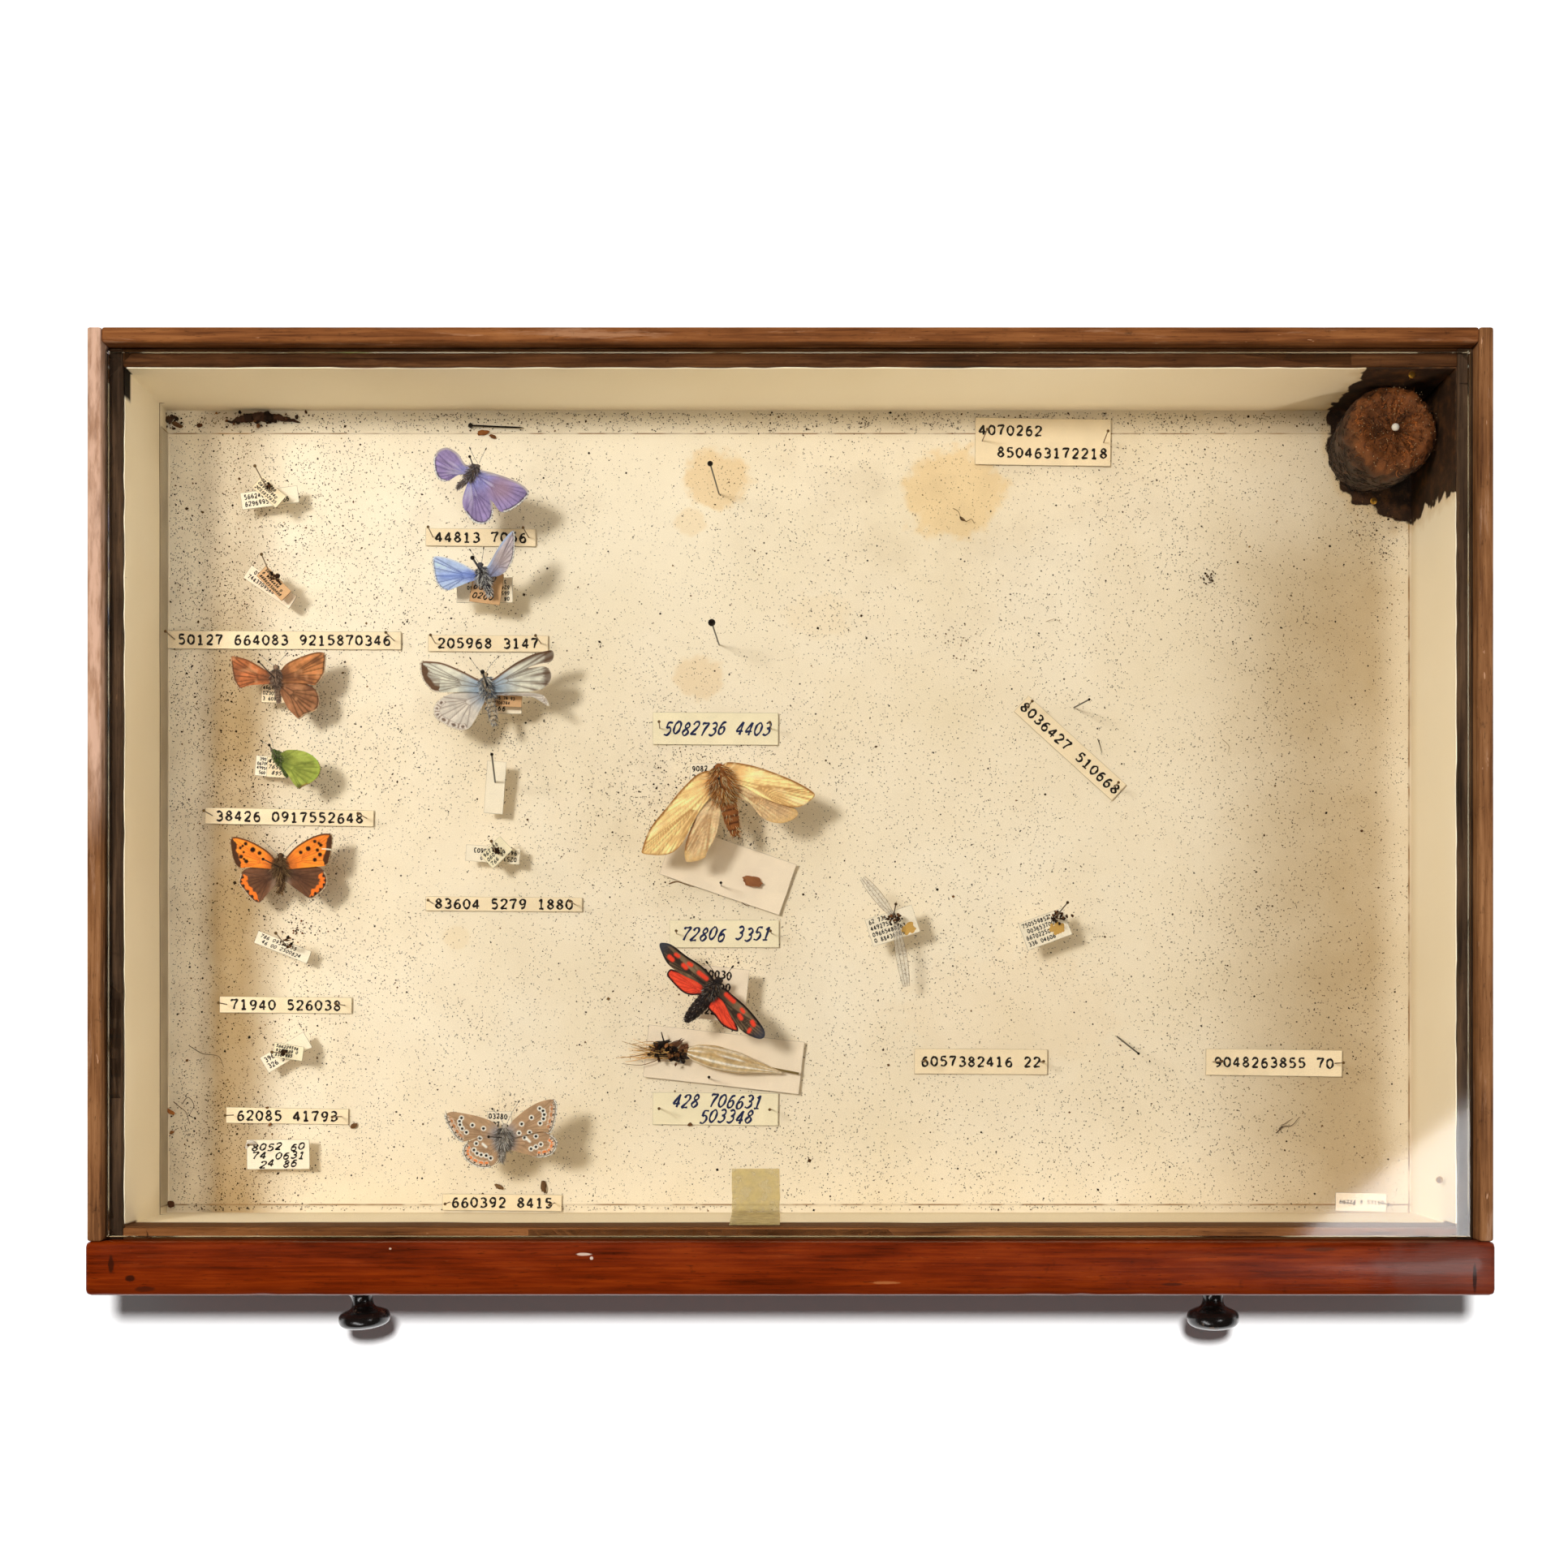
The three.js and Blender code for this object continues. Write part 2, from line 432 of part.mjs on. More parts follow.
        [-6.1, -9.4], [-4, -7.5], [0, -2.4]], -0.3, -0.03, 0],
      [[[0, 0.2], [7.8, 0.3], [10.6, 0], [12, -1.9], [12.4, -3.8], [11.5, -5.7], [9.7, -7.3],
        [8, -8.2], [5.4, -6.6], [0, -2.4]], -0.3, 0.03, 0],
    ],
    threads: [[[-0.4, 3.4, 0.3], [-4.4, 7, 1.2]], [[0.3, 3.4, 0.3], [4.2, 7.2, 1.2]],
      [[0.6, 0, -0.8], [2.6, -3, -4.6]], [[-0.6, 0, -0.8], [-2.6, -2.6, -4.6]]],
    cards: [],
  },
  common_blue: {
    at: [-75.9, -77.7, 29],
    color: 0xa8957c,
    pin: [[-73.9, -78.9], [-77.7, -76.6]],
    body: [[[0.3, 1.8, 0.2], [0.8, 3.8, 0.4], 1], [[0.5, 2.8, 0], [0.1, -2.4, 0], 1.7],
      [[0.1, -1.4, 0], [-0.6, -6.4, -0.6], 1.2]],
    wings: [
      [[[0, 0.8], [-2.3, 4], [-6.1, 5.6], [-10.2, 6.5], [-13.5, 6.9], [-14.9, 6], [-14.8, 4.7],
        [-13.7, 2.3], [-12.1, 0], [-10.2, -0.9], [-6.1, 0], [0, -0.6]], 0.3, -0.05, 0],
      [[[0, 0.8], [0.9, 2.3], [3.3, 5.1], [6.5, 7.7], [9.8, 9.5], [13, 10.2], [14.2, 9.3], [14.3, 7],
        [13.7, 3.7], [12.6, 1.4], [9.8, 1.6], [0, -0.6]], 0.3, 0.08, 0],
      [[[0, 0.4], [-4.2, 0.5], [-7.9, -0.5], [-10, -1.9], [-10.5, -4.2], [-9.3, -6.1], [-7, -7.5],
        [-4.2, -7.9], [-1.9, -6.5], [0, -2.4]], -0.3, -0.03, 0],
      [[[0, 0.4], [5.1, 2.1], [9.8, 1.9], [12.6, 0.7], [14, -0.5], [14.3, -1.9], [13, -4.2],
        [10.2, -5.1], [7.5, -4.7], [0.2, -2.4]], -0.3, 0.05, 0],
    ],
    threads: [[[0.9, 3.2, 0.3], [4.4, 9.6, 1.6]], [[0.5, 3.2, 0.3], [-2.6, 7.6, 1.4]],
      [[0.6, 0, -0.8], [2.8, -2.6, -5]], [[-0.6, -0.6, -0.8], [-3, -3, -5]]],
    cards: [[-1.7, 2.1, 6.5, 9.2, 0, 22]],
  },
  swift_moth: {
    at: [-17.7, 14.7, 27],
    color: 0xc49a5e,
    pin: [[-17.8, 13.6], [-18.4, 15.8]],
    body: [[[-0.9, 5, 0.3], [-1.7, 8.2, 0.4], 1.6], [[-1.2, 7, 0], [0.4, -0.8, 0], 2.7],
      [[0, 1, 0], [2.9, -12.1, -0.8], 2.1]],
    wings: [
      [[[-0.6, 4.4], [-5.6, 4.4], [-10.3, 0.5], [-15, -5.1], [-19.2, -10.3], [-21.3, -15.4],
        [-21, -17.1], [-15, -17.3], [-11.7, -15.4], [-9.3, -11.7], [-6.1, -5.6], [-0.6, 1.2]], 0.5, -0.04, 0.1],
      [[[-0.4, 3], [-4.7, 0.5], [-7.5, -7.5], [-9.8, -14], [-10.2, -17.3], [-9.3, -19.2], [-5.1, -18.2],
        [-4.2, -16.4], [-1.9, -12.1], [-0.9, -7.5], [0.2, 0.6]], -0.4, -0.02, 0.06],
      [[[-0.4, 4.4], [0.9, 7], [7, 6.3], [13.1, 4.4], [19.2, 1.9], [23.4, -0.5], [24.3, -1.9],
        [22.4, -3.7], [19.6, -4.9], [15.4, -4.2], [9.8, -1.9], [5.1, 0.9], [0, 2.2]], 0.5, 0.05, 0.04],
      [[[-0.2, 3.6], [2.3, 2.9], [7, 0.6], [11.7, -1.6], [16.4, -3.6], [19.2, -5.2], [19.9, -6.8],
        [18.2, -8.2], [15.4, -9], [12.6, -8.6], [9.8, -7], [7, -3.7], [0.8, 0.4]], -0.4, 0.04, 0.03],
    ],
    threads: [[[-1.8, 7.6, 0.3], [-3.2, 9.6, 0.8]], [[-1.2, 7.8, 0.3], [-0.6, 10, 0.8]],
      [[0.6, 1, -1.4], [3.6, -3, -6]], [[-1, 1, -1.4], [-4, -2, -6]]],
    cards: [[-3.8, 2.8, 10.4, 9.6, 0, 20]],
  },
  burnet_moth: {
    at: [-20.4, -38.8, 28],
    color: 0xb02f22,
    pin: [[-20.1, -39.6], [-20.6, -38.1]],
    body: [[[0.6, 1.4, 0.2], [2, 3.4, 0.4], 1.3], [[1.2, 2.4, 0], [-1.6, -2, 0], 2.2],
      [[-0.8, -1, 0], [-7.4, -8.3, -0.6], 1.9]],
    wings: [
      [[[0.4, 0.6], [0.4, 3], [-2.8, 6.5], [-7, 9.3], [-10.7, 12.1], [-13.1, 12.7], [-14, 12.2],
        [-13.5, 10.3], [-11.7, 7], [-7.9, 4.2], [-4.2, 2.4], [-0.6, -0.2]], 0.5, -0.05, 0.03],
      [[[0, 0.4], [-1.9, 2.3], [-7.5, 4.6], [-10.3, 5.6], [-11.4, 5.6], [-12.1, 4.2], [-10.7, 2.3],
        [-8.4, 0], [-6.5, -1], [-4.2, -1.1], [-0.8, -0.8]], -0.4, -0.04, 0],
      [[[0, 0.4], [2.8, 0.9], [5.1, -0.9], [8.9, -4.2], [12.1, -7.9], [13.8, -10.7], [13.5, -12.4],
        [11.7, -12.6], [7.9, -10.7], [5.1, -7], [2.8, -2.9], [-0.4, -0.4]], 0.5, 0.05, -0.02],
      [[[0, 0], [2.4, -1.6], [4.4, -5], [6.6, -9.6], [6.3, -10.8], [2.8, -9.3], [0.5, -6.5],
        [-1.4, -4.2], [-0.8, -1]], -0.4, 0, -0.04],
    ],
    threads: [[[1.6, 2.8, 0.3], [5.2, 6.2, 1.2]], [[1.2, 3, 0.3], [-1.4, 7.4, 1.2]],
      [[0.8, -0.6, -1], [1.6, -5.6, -6]], [[-0.8, -0.8, -1], [-4.2, 0.8, -5.6]]],
    cards: [[2.4, -0.8, 13.2, 14.4, -6, 20]],
  },
};

function buildSpecimen(name, { at, color, pin: [foot, head], body, wings, threads, cards }) {
  const [x, y, z] = at;
  const near = [
    ...wings.map(([outline, up, slopeX, slopeY]) => wing(outline, up, slopeX, slopeY)),
    ...body.map(([a, b, radius]) => lump(a, b, radius)),
    ...threads.map(([a, b]) => rod(a, b)),
  ].map((piece) => piece.translate(x, y, z));
  const sheets = cards.map(([dx, dy, length, width, turn, height]) => (
    card(x + dx, y + dy, length, width, turn, height)
  ));
  add(name, fuse([...near, ...sheets, pin(foot, head)]), finish(color, 0.8));
}

// A papery spindle on a grass stem, with the empty black pupa case sticking out of it.
function buildCocoon() {
  const spindle = [
    lump([-26.6, -55.4, 16.2], [-8.6, -59.4, 16.2], 3.1, 8, 6),
    lump([-14.0, -58.2, 15.6], [-2.4, -60.8, 15.2], 1.6),
  ];
  const pupaCase = [
    lump([-38.2, -53.6, 15.4], [-29.4, -54.9, 15.8], 1.7),
    lump([-33, -55.8, 15], [-25.6, -55.9, 15.6], 1.5),
    rod([-33, -54.6, 15.8], [-34.6, -49.8, 16.6], 0.3),
  ];
  const straw = [
    rod([-27, -55.4, 14.6], [2.6, -61.1, 14.4], 0.35, 4),
    rod([-30, -55.2, 15.2], [-47.2, -56.0, 15.6], 0.25),
    rod([-30, -54.9, 15.4], [-44.6, -54.0, 16.4], 0.2),
    rod([-31, -55.4, 15], [-43.2, -58.0, 14.4], 0.2),
  ];
  add('burnet_cocoon', fuse([...spindle, ...pupaCase, ...straw]), finish(0xd8c48a, 0.4));
}

// What is left of a damselfly: crumbs of the body on the pin, its label and broken clear wings.
function damselfly(name, foot, head, sheet, crumbs, blades) {
  const [cx, cy] = crumbs[0];
  const lumps = crumbs.map(([x, y, z, length, radius]) => (
    lump([x - length / 2, y, z], [x + length / 2, y + length * 0.4, z], radius, 6, 4)
  ));
  const wings = blades.map(([tipX, tipY, width, tipZ]) => {
    const reach = Math.hypot(tipX - cx, tipY - cy);
    const shape = new THREE.Shape();
    shape.moveTo(0, -0.4);
    shape.quadraticCurveTo(reach * 0.6, -width * 0.8, reach, -width * 0.2);
    shape.quadraticCurveTo(reach * 0.9, width * 0.7, reach * 0.5, width * 0.5);
    shape.lineTo(0, 0.4);
    const blade = new THREE.ExtrudeGeometry(shape, { depth: WING, bevelEnabled: false, curveSegments: 4 });
    blade.rotateY(-Math.asin((tipZ - crumbs[0][2]) / reach));
    blade.rotateZ(Math.atan2(tipY - cy, tipX - cx));
    return blade.translate(cx, cy, crumbs[0][2]);
  });
  add(name, fuse([card(...sheet), ...lumps, ...wings, pin(foot, head)]), whiteCard);
}

function buildDamselflies() {
  damselfly(
    'damselfly_remains_1', [27.9, -20.9], [27.3, -16.6], [27.6, -21.3, 13.2, 7.6, 18, 21.5],
    [[27.8, -19.2, 26, 2.6, 0.9], [28.6, -20, 25.4, 3.6, 0.8]],
    [[19.4, -8.8, 3, 27], [31.4, -37.6, 3.2, 21]],
  );
  damselfly(
    'damselfly_remains_2', [70.2, -21.4], [71.6, -16.2], [68.5, -22.2, 12.6, 7.6, 20, 21.5],
    [[71.0, -19.2, 26, 2.8, 1], [71.6, -18.6, 25.2, 2.4, 0.8]],
    [],
  );
}

buildBoards();
buildLining();
buildKnobs();
buildTape();
buildPad();
buildNameLabels();
buildDataLabels();
buildCards();
buildLonePins();
Object.entries(SPECIMENS).forEach(([name, description]) => buildSpecimen(name, description));
buildCocoon();
buildDamselflies();

export default drawer;
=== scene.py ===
"""Looks of the insect collection drawer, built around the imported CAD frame.

Sizes are in millimetres, and MM turns them into Blender's metres. +X is to the right, -Y is the front with
the knobs, and +Z points out of the glass. Colours are given as sRGB, 0 to 255.
"""

import json
import math
import random

import bpy
import numpy as np
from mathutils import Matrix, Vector, geometry

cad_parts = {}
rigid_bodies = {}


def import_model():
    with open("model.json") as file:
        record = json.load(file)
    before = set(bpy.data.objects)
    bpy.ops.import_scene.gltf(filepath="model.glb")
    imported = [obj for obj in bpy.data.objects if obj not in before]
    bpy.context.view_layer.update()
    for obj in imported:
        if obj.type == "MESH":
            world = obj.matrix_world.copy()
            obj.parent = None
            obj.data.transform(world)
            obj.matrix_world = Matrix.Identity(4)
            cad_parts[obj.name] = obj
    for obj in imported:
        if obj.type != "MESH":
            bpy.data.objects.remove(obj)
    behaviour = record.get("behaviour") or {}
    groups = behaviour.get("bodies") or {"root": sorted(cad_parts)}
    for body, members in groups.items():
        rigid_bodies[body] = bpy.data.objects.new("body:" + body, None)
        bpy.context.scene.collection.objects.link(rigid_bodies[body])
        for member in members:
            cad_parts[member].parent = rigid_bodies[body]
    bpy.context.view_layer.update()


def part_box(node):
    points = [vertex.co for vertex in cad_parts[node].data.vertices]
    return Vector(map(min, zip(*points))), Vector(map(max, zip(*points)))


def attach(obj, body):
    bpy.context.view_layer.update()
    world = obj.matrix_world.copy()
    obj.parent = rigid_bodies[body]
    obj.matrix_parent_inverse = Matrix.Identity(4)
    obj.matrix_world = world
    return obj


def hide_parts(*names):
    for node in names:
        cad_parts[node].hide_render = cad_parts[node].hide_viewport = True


MM = 0.001
PHOTO_SIZE = 1932  # pixels a side
BODY = "root"

# ---- driving dimensions, in the CAD's frame ----
HEIGHT = 56.0
PAPER_TOP = 11.0
WALL_TOP = 50.6
WALL_X = 169.7
WALL_BACK = 119.7
WALL_FRONT = -99.1
PIN_TOP = 44.0
PIN_RADIUS = 0.22
PIN_HEAD = 0.7
LABEL_LIFT = 0.5
LABEL_PIN_TOP = 22.5
LABEL_PIN_INSET = 1.9
CARD = 0.25
KNOB_HEIGHT = 28.0
KNOB_X = (-113.6, 112.2)
KNOB_FACE = -116.15
KNOB_LEAN = 6
KNOB_GAP = 0.95
PAD = (157.2, 107.4)
PAD_TOP = 40.0
TAPE_LEFT = -15.6
TAPE_RIGHT = -2.6
TAPE_INNER = -87.1
TAPE_THICK = 0.07
FILLET_X = 170.0
FILLET_FRONT = -99.4
FILLET_BACK = 120.0
PAPER_THICK = 0.25
CARD_TEAR = 0.12  # how far the edges of a card stray
CARD_EDGE = 0.14  # width of the darker line round a card

SCALE_GLOW = 1.3  # how much more the scales reflect than the colours written for them

WHITE = (255, 255, 255)
INK = (30, 24, 22)
BLUE_INK = (28, 40, 84)
EYE_COLOR = (30, 24, 22)
PIN_COLOR = (44, 36, 31)
BRASSY = (124, 98, 66)


def linear(color):
    """A colour in sRGB, 0 to 255, as linear light."""
    part = np.asarray(color, float) / 255
    return np.where(part <= 0.04045, part / 12.92, ((part + 0.055) / 1.055) ** 2.4)


def rgba(color):
    return (*linear(color), 1.0)


# ---- node materials ----
class Graph:
    """A node material. Its position input, here, is in millimetres."""

    def __init__(self, name):
        self.material = bpy.data.materials.new(name)
        self.material.use_nodes = True
        self.tree = self.material.node_tree
        self.tree.nodes.clear()
        place = self.node("ShaderNodeTexCoord").outputs["Object"]
        scale = self.node("ShaderNodeVectorMath", {0: place, "Scale": 1 / MM}, operation="SCALE")
        self.here = scale.outputs[0]
        split = self.node("ShaderNodeSeparateXYZ", {0: self.here})
        self.x, self.y, self.z = split.outputs

    def node(self, kind, inputs=None, **settings):
        node = self.tree.nodes.new(kind)
        for key, value in settings.items():
            setattr(node, key, value)
        for key, value in (inputs or {}).items():
            if isinstance(value, bpy.types.NodeSocket):
                self.tree.links.new(value, node.inputs[key])
            else:
                node.inputs[key].default_value = value
        return node

    def noise(self, size, detail=4, roughness=0.55, stretch=(1, 1, 1), seed=0, distortion=0):
        """Noise from 0 to 1 with patches of the given size, longer along the axes that stretch names."""
        scale = tuple(1 / (size * s) for s in stretch)
        inputs = {"Vector": self.here, "Scale": scale, "Location": (seed * 3.1, seed * 7.7, seed * 5.3)}
        moved = self.node("ShaderNodeMapping", inputs).outputs[0]
        inputs = {"Vector": moved, "Scale": 1.0, "Detail": detail, "Roughness": roughness,
                  "Distortion": distortion}
        return self.node("ShaderNodeTexNoise", inputs).outputs[0]

    def calc(self, operation, a, b=0.0, clamp=False):
        inputs = {0: a, 1: b}
        return self.node("ShaderNodeMath", inputs, operation=operation, use_clamp=clamp).outputs[0]

    def times(self, a, b):
        return self.calc("MULTIPLY", a, b)

    def plus(self, a, b):
        return self.calc("ADD", a, b)

    def minus(self, a, b):
        return self.calc("SUBTRACT", a, b)

    def spread(self, value, low, high, out_low=0.0, out_high=1.0):
        inputs = {"Value": value, "From Min": low, "From Max": high, "To Min": out_low, "To Max": out_high}
        node = self.node("ShaderNodeMapRange", inputs, interpolation_type="SMOOTHSTEP")
        return node.outputs[0]

    def mix(self, factor, a, b, mode="MIX"):
        inputs = {0: factor, 6: a, 7: b}
        node = self.node("ShaderNodeMix", inputs, data_type="RGBA", blend_type=mode)
        return node.outputs[2]

    def ramp(self, value, *stops):
        node = self.node("ShaderNodeValToRGB", {0: value})
        points = node.color_ramp.elements
        while len(points) < len(stops):
            points.new(0.5)
        for point, (position, color) in zip(points, stops):
            point.position = position
            point.color = rgba(color)
        return node.outputs[0]

    def blot(self, x, y, reach_x, reach_y, soft=0.5, ragged=0.5, size=3.0, seed=0):
        """A ragged round patch on the plan: 1 inside, 0 outside."""
        across = self.calc("DIVIDE", self.minus(self.x, x), reach_x)
        down = self.calc("DIVIDE", self.minus(self.y, y), reach_y)
        square = self.plus(self.times(across, across), self.times(down, down))
        reach = self.calc("SQRT", square)
        wobble = self.times(self.minus(self.noise(size, 2, seed=seed), 0.5), ragged * 2)
        return self.spread(self.plus(reach, wobble), 1 + soft / 2, 1 - soft / 2)

    def tint(self):
        return self.node("ShaderNodeVertexColor", layer_name="tint").outputs[0]

    def surface(self, color, roughness=0.7, bump=None, depth=0.1, **constants):
        """Ends the graph in a Principled surface. depth is the bump's depth in millimetres."""
        inputs = {"Base Color": color, "Roughness": roughness}
        inputs.update({key.replace("_", " "): value for key, value in constants.items()})
        if bump is not None:
            relief = self.node("ShaderNodeBump", {"Height": bump, "Distance": depth * MM, "Strength": 1.0})
            inputs["Normal"] = relief.outputs[0]
        shader = self.node("ShaderNodeBsdfPrincipled", inputs).outputs[0]
        self.finish(shader)
        return shader

    def finish(self, shader):
        output = self.tree.nodes.get("Material Output")
        if output is None:
            output = self.node("ShaderNodeOutputMaterial")
        self.tree.links.new(shader, output.inputs[0])


def front_marks(graph, color):
    """Scuffs, dings and a gouge on the polished front board, a pale patch at its right end that is scuffing
    with a painted reflection, and a darker strip towards its front edge.
    """
    # A pale patch over the right end: scuffing, with a painted reflection.
    scuffs_and_reflection = graph.times(graph.blot(168, -109, 18, 8, 1.0, 0.6, 5, 60), 0.42)
    color = graph.mix(scuffs_and_reflection, color, rgba((116, 72, 62)))
    for x, y, reach_x, reach_y, mark in (
        (172.8, -111.8, 0.5, 3.6, (20, 10, 8)), (-166.7, -111.7, 1.2, 0.8, (40, 16, 8)),
        (-171.5, -108.2, 0.7, 2.2, (52, 20, 8)), (-163.0, -114.4, 2.4, 0.7, (60, 24, 12)),
        (-52.3, -105.6, 1.8, 0.35, (222, 196, 176)), (-50.2, -106.6, 0.4, 0.4, (226, 206, 190)),
        (96.4, -113.2, 2.6, 0.4, (70, 26, 10)), (-101.0, -104.2, 0.3, 0.25, (214, 184, 160)),
        (24.0, -112.8, 3.4, 0.35, (176, 104, 58)), (134.0, -104.4, 4.0, 0.5, (92, 40, 20)),
    ):
        here = graph.times(graph.blot(x, y, reach_x, reach_y, 0.5, 0.35, 1.2, 61), 0.85)
        color = graph.mix(here, color, rgba(mark))
    lower = graph.spread(graph.y, -112.6, -115.0, 0, 0.4)
    return graph.mix(lower, color, rgba((92, 28, 3)))


def lip_glare(graph, color):
    """A painted highlight: the glare of the light on the back half of the left board, pale and pinkish,
    broken into streaks like rubbed wood.
    """
    # Streaks of painted glare.
    rubbed = graph.spread(graph.noise(2.2, 4, 0.65, (1, 6, 1), seed=62), 0.32, 0.62, 0.35, 1.0)
    place = graph.times(graph.spread(graph.y, -6, 22), graph.spread(graph.x, -160, -166))
    return graph.mix(graph.times(graph.times(rubbed, place), 0.85), color,
                     rgba((226, 184, 158)))


def wood(name, along, dark, middle, light, roughness, wear, scratches, coat=0.0, marks=None):
    """Stained wood with its grain along an axis, worn to a paler colour in patches."""
    graph = Graph(name)
    long_grain = tuple(26 if axis == along else 1 for axis in range(3))
    short_grain = tuple(9 if axis == along else 1 for axis in range(3))
    grain = graph.noise(1.1, 5, 0.65, long_grain, seed=1, distortion=0.3)
    pores = graph.noise(0.35, 3, 0.6, short_grain, seed=2)
    broad = graph.noise(9, 3, 0.5, tuple(3 if axis == along else 1 for axis in range(3)), seed=3)
    shade = graph.plus(graph.times(grain, 0.6), graph.times(broad, 0.4))
    color = graph.ramp(shade, (0.34, dark), (0.5, middle), (0.68, light))
    color = graph.mix(graph.spread(pores, 0.6, 0.72, 0, 0.55), color, rgba([c * 0.45 for c in dark]))
    patches = graph.spread(graph.noise(3.2, 6, 0.7, short_grain, seed=4), 0.56, 0.7, 0, wear)
    color = graph.mix(patches, color, rgba(scratches))
    streak = tuple(5 if axis == along else 1 for axis in range(3))
    nicks = graph.spread(graph.noise(0.8, 2, 0.5, streak, seed=5), 0.74, 0.78, 0, wear)
    color = graph.mix(nicks, color, rgba([min(255, c * 1.25) for c in scratches]))
    dirt = graph.spread(graph.noise(5, 5, 0.7, seed=6), 0.6, 0.75, 0, 0.5)
    color = graph.mix(dirt, color, rgba([c * 0.3 for c in dark]))
    if marks is not None:
        color = marks(graph, color)
    rough = graph.plus(graph.times(broad, 0.2), roughness)
    graph.surface(color, rough, pores, 0.05, Coat_Weight=coat, Coat_Roughness=0.12, Specular_IOR_Level=0.25)
    return graph.material


def corner_stain(graph):
    """The dark stain that spread from the preservative, as three masks: inside it, its rim and its halo."""
    roundness = 2.6
    powers = []
    for axis, corner, radius in ((graph.x, 171.0, 24.0), (graph.y, 121.0, 31.5)):
        share = graph.calc("ABSOLUTE", graph.calc("DIVIDE", graph.minus(axis, corner), radius))
        powers.append(graph.calc("POWER", share, roundness))
    reach = graph.calc("POWER", graph.plus(*powers), 1 / roundness)
    lobes = graph.times(graph.minus(graph.noise(7, 2, 0.5, seed=8), 0.5), 0.36)
    frays = graph.times(graph.minus(graph.noise(1.1, 2, 0.5, seed=9), 0.5), 0.05)
    reach = graph.plus(graph.plus(reach, lobes), frays)
    inside = graph.spread(reach, 1.015, 0.985)
    halo = graph.spread(reach, 1.16, 1.0, 0, 0.35)
    rim = graph.times(graph.spread(reach, 0.82, 1.0), inside)
    return inside, rim, halo


STAINS = [  # x, y, reach in x and y, strength, colour
    (-20.5, 101.0, 8.8, 7.6, 0.55, (236, 200, 138)), (-26.7, 89.0, 4.4, 3.6, 0.34, (236, 205, 150)),
    (-24.5, 46.8, 6.4, 6.0, 0.42, (232, 200, 150)), (45.0, 97.0, 13.0, 12.0, 0.5, (238, 200, 128)),
    (8.0, 64.0, 9.0, 6.0, 0.14, (236, 205, 150)), (-91.0, -24.0, 4.0, 3.0, 0.2, (232, 200, 140)),
    (60.0, -44.0, 30.0, 16.0, 0.12, (234, 200, 150)),
]

DUSTY_PLACES = (  # x, y, reach
    (-20, 12, 34), (-150, 20, 30), (-80, 92, 26), (-80, 38, 26), (-20, -45, 26), (-135, -8, 24),
    (-78, -80, 22), (-150, 112, 20), (45, 116, 60),
)


def floor_marks(graph, color, clouds):
    """Browning with painted shade towards the right, the painted shadow of the left wall, painted light at
    the back left, faint lines, the stains that specimens left and soot, over the floor paper.
    """
    uneven = graph.spread(clouds, 0.2, 0.8, 1.2, 0.8)
    # Painted shade in a brownish tone: darker towards the right wall, less so close to it and at the back.
    browned_shade = graph.times(graph.spread(graph.x, 98, 152), graph.spread(graph.x, 158, 168, 1, 0.45))
    browned_shade = graph.times(browned_shade, graph.spread(graph.y, 104, 66, 0.55, 0.92))
    color = graph.mix(graph.times(browned_shade, uneven), color, rgba((190, 168, 133)))
    # The painted shadow of the left wall: a brownish band a little way out from its foot.
    left_wall_shadow = graph.times(graph.spread(graph.x, -134, -150), graph.spread(graph.x, -163, -155))
    color = graph.mix(graph.times(left_wall_shadow, uneven), color, rgba((176, 150, 110)))
    # Painted light: the floor paler towards the back left, where the light falls brightest.
    back_left_light = graph.times(graph.blot(-90, 96, 110, 40, 1.2, 0.2, 30, 71), 0.5)
    color = graph.mix(back_left_light, color, rgba((254, 246, 226)))
    faint = graph.spread(graph.noise(6, 1, 0.5, seed=51), 0.35, 0.6, 0.3, 0.9)
    for axis, place, width in ((graph.y, -96.9, 0.3), (graph.y, 113.3, 0.26), (graph.x, 169.0, 0.34)):
        gap = graph.calc("ABSOLUTE", graph.minus(axis, place))
        line = graph.times(graph.spread(gap, width, width * 0.3), faint)
        color = graph.mix(line, color, rgba((146, 110, 68)))
    for index, (x, y, reach_x, reach_y, strength, stain) in enumerate(STAINS):
        mask = graph.blot(x, y, reach_x, reach_y, 0.35, 0.5, 4.5, index)
        color = graph.mix(graph.times(mask, strength), color, rgba(stain))
    dusty = graph.spread(graph.x, -82, -172, 0.12, 0.85)
    for index, (x, y, reach) in enumerate(DUSTY_PLACES):
        spot = graph.blot(x, y, reach, reach * 0.8, 1.6, 0.4, 12, index + 20)
        dusty = graph.calc("MAXIMUM", dusty, graph.times(spot, 0.7))
    soot = graph.spread(graph.noise(14, 3, 0.6, seed=31), 0.35, 0.75, 0, 0.24)
    color = graph.mix(graph.times(soot, dusty), color, rgba((150, 122, 86)))
    return color


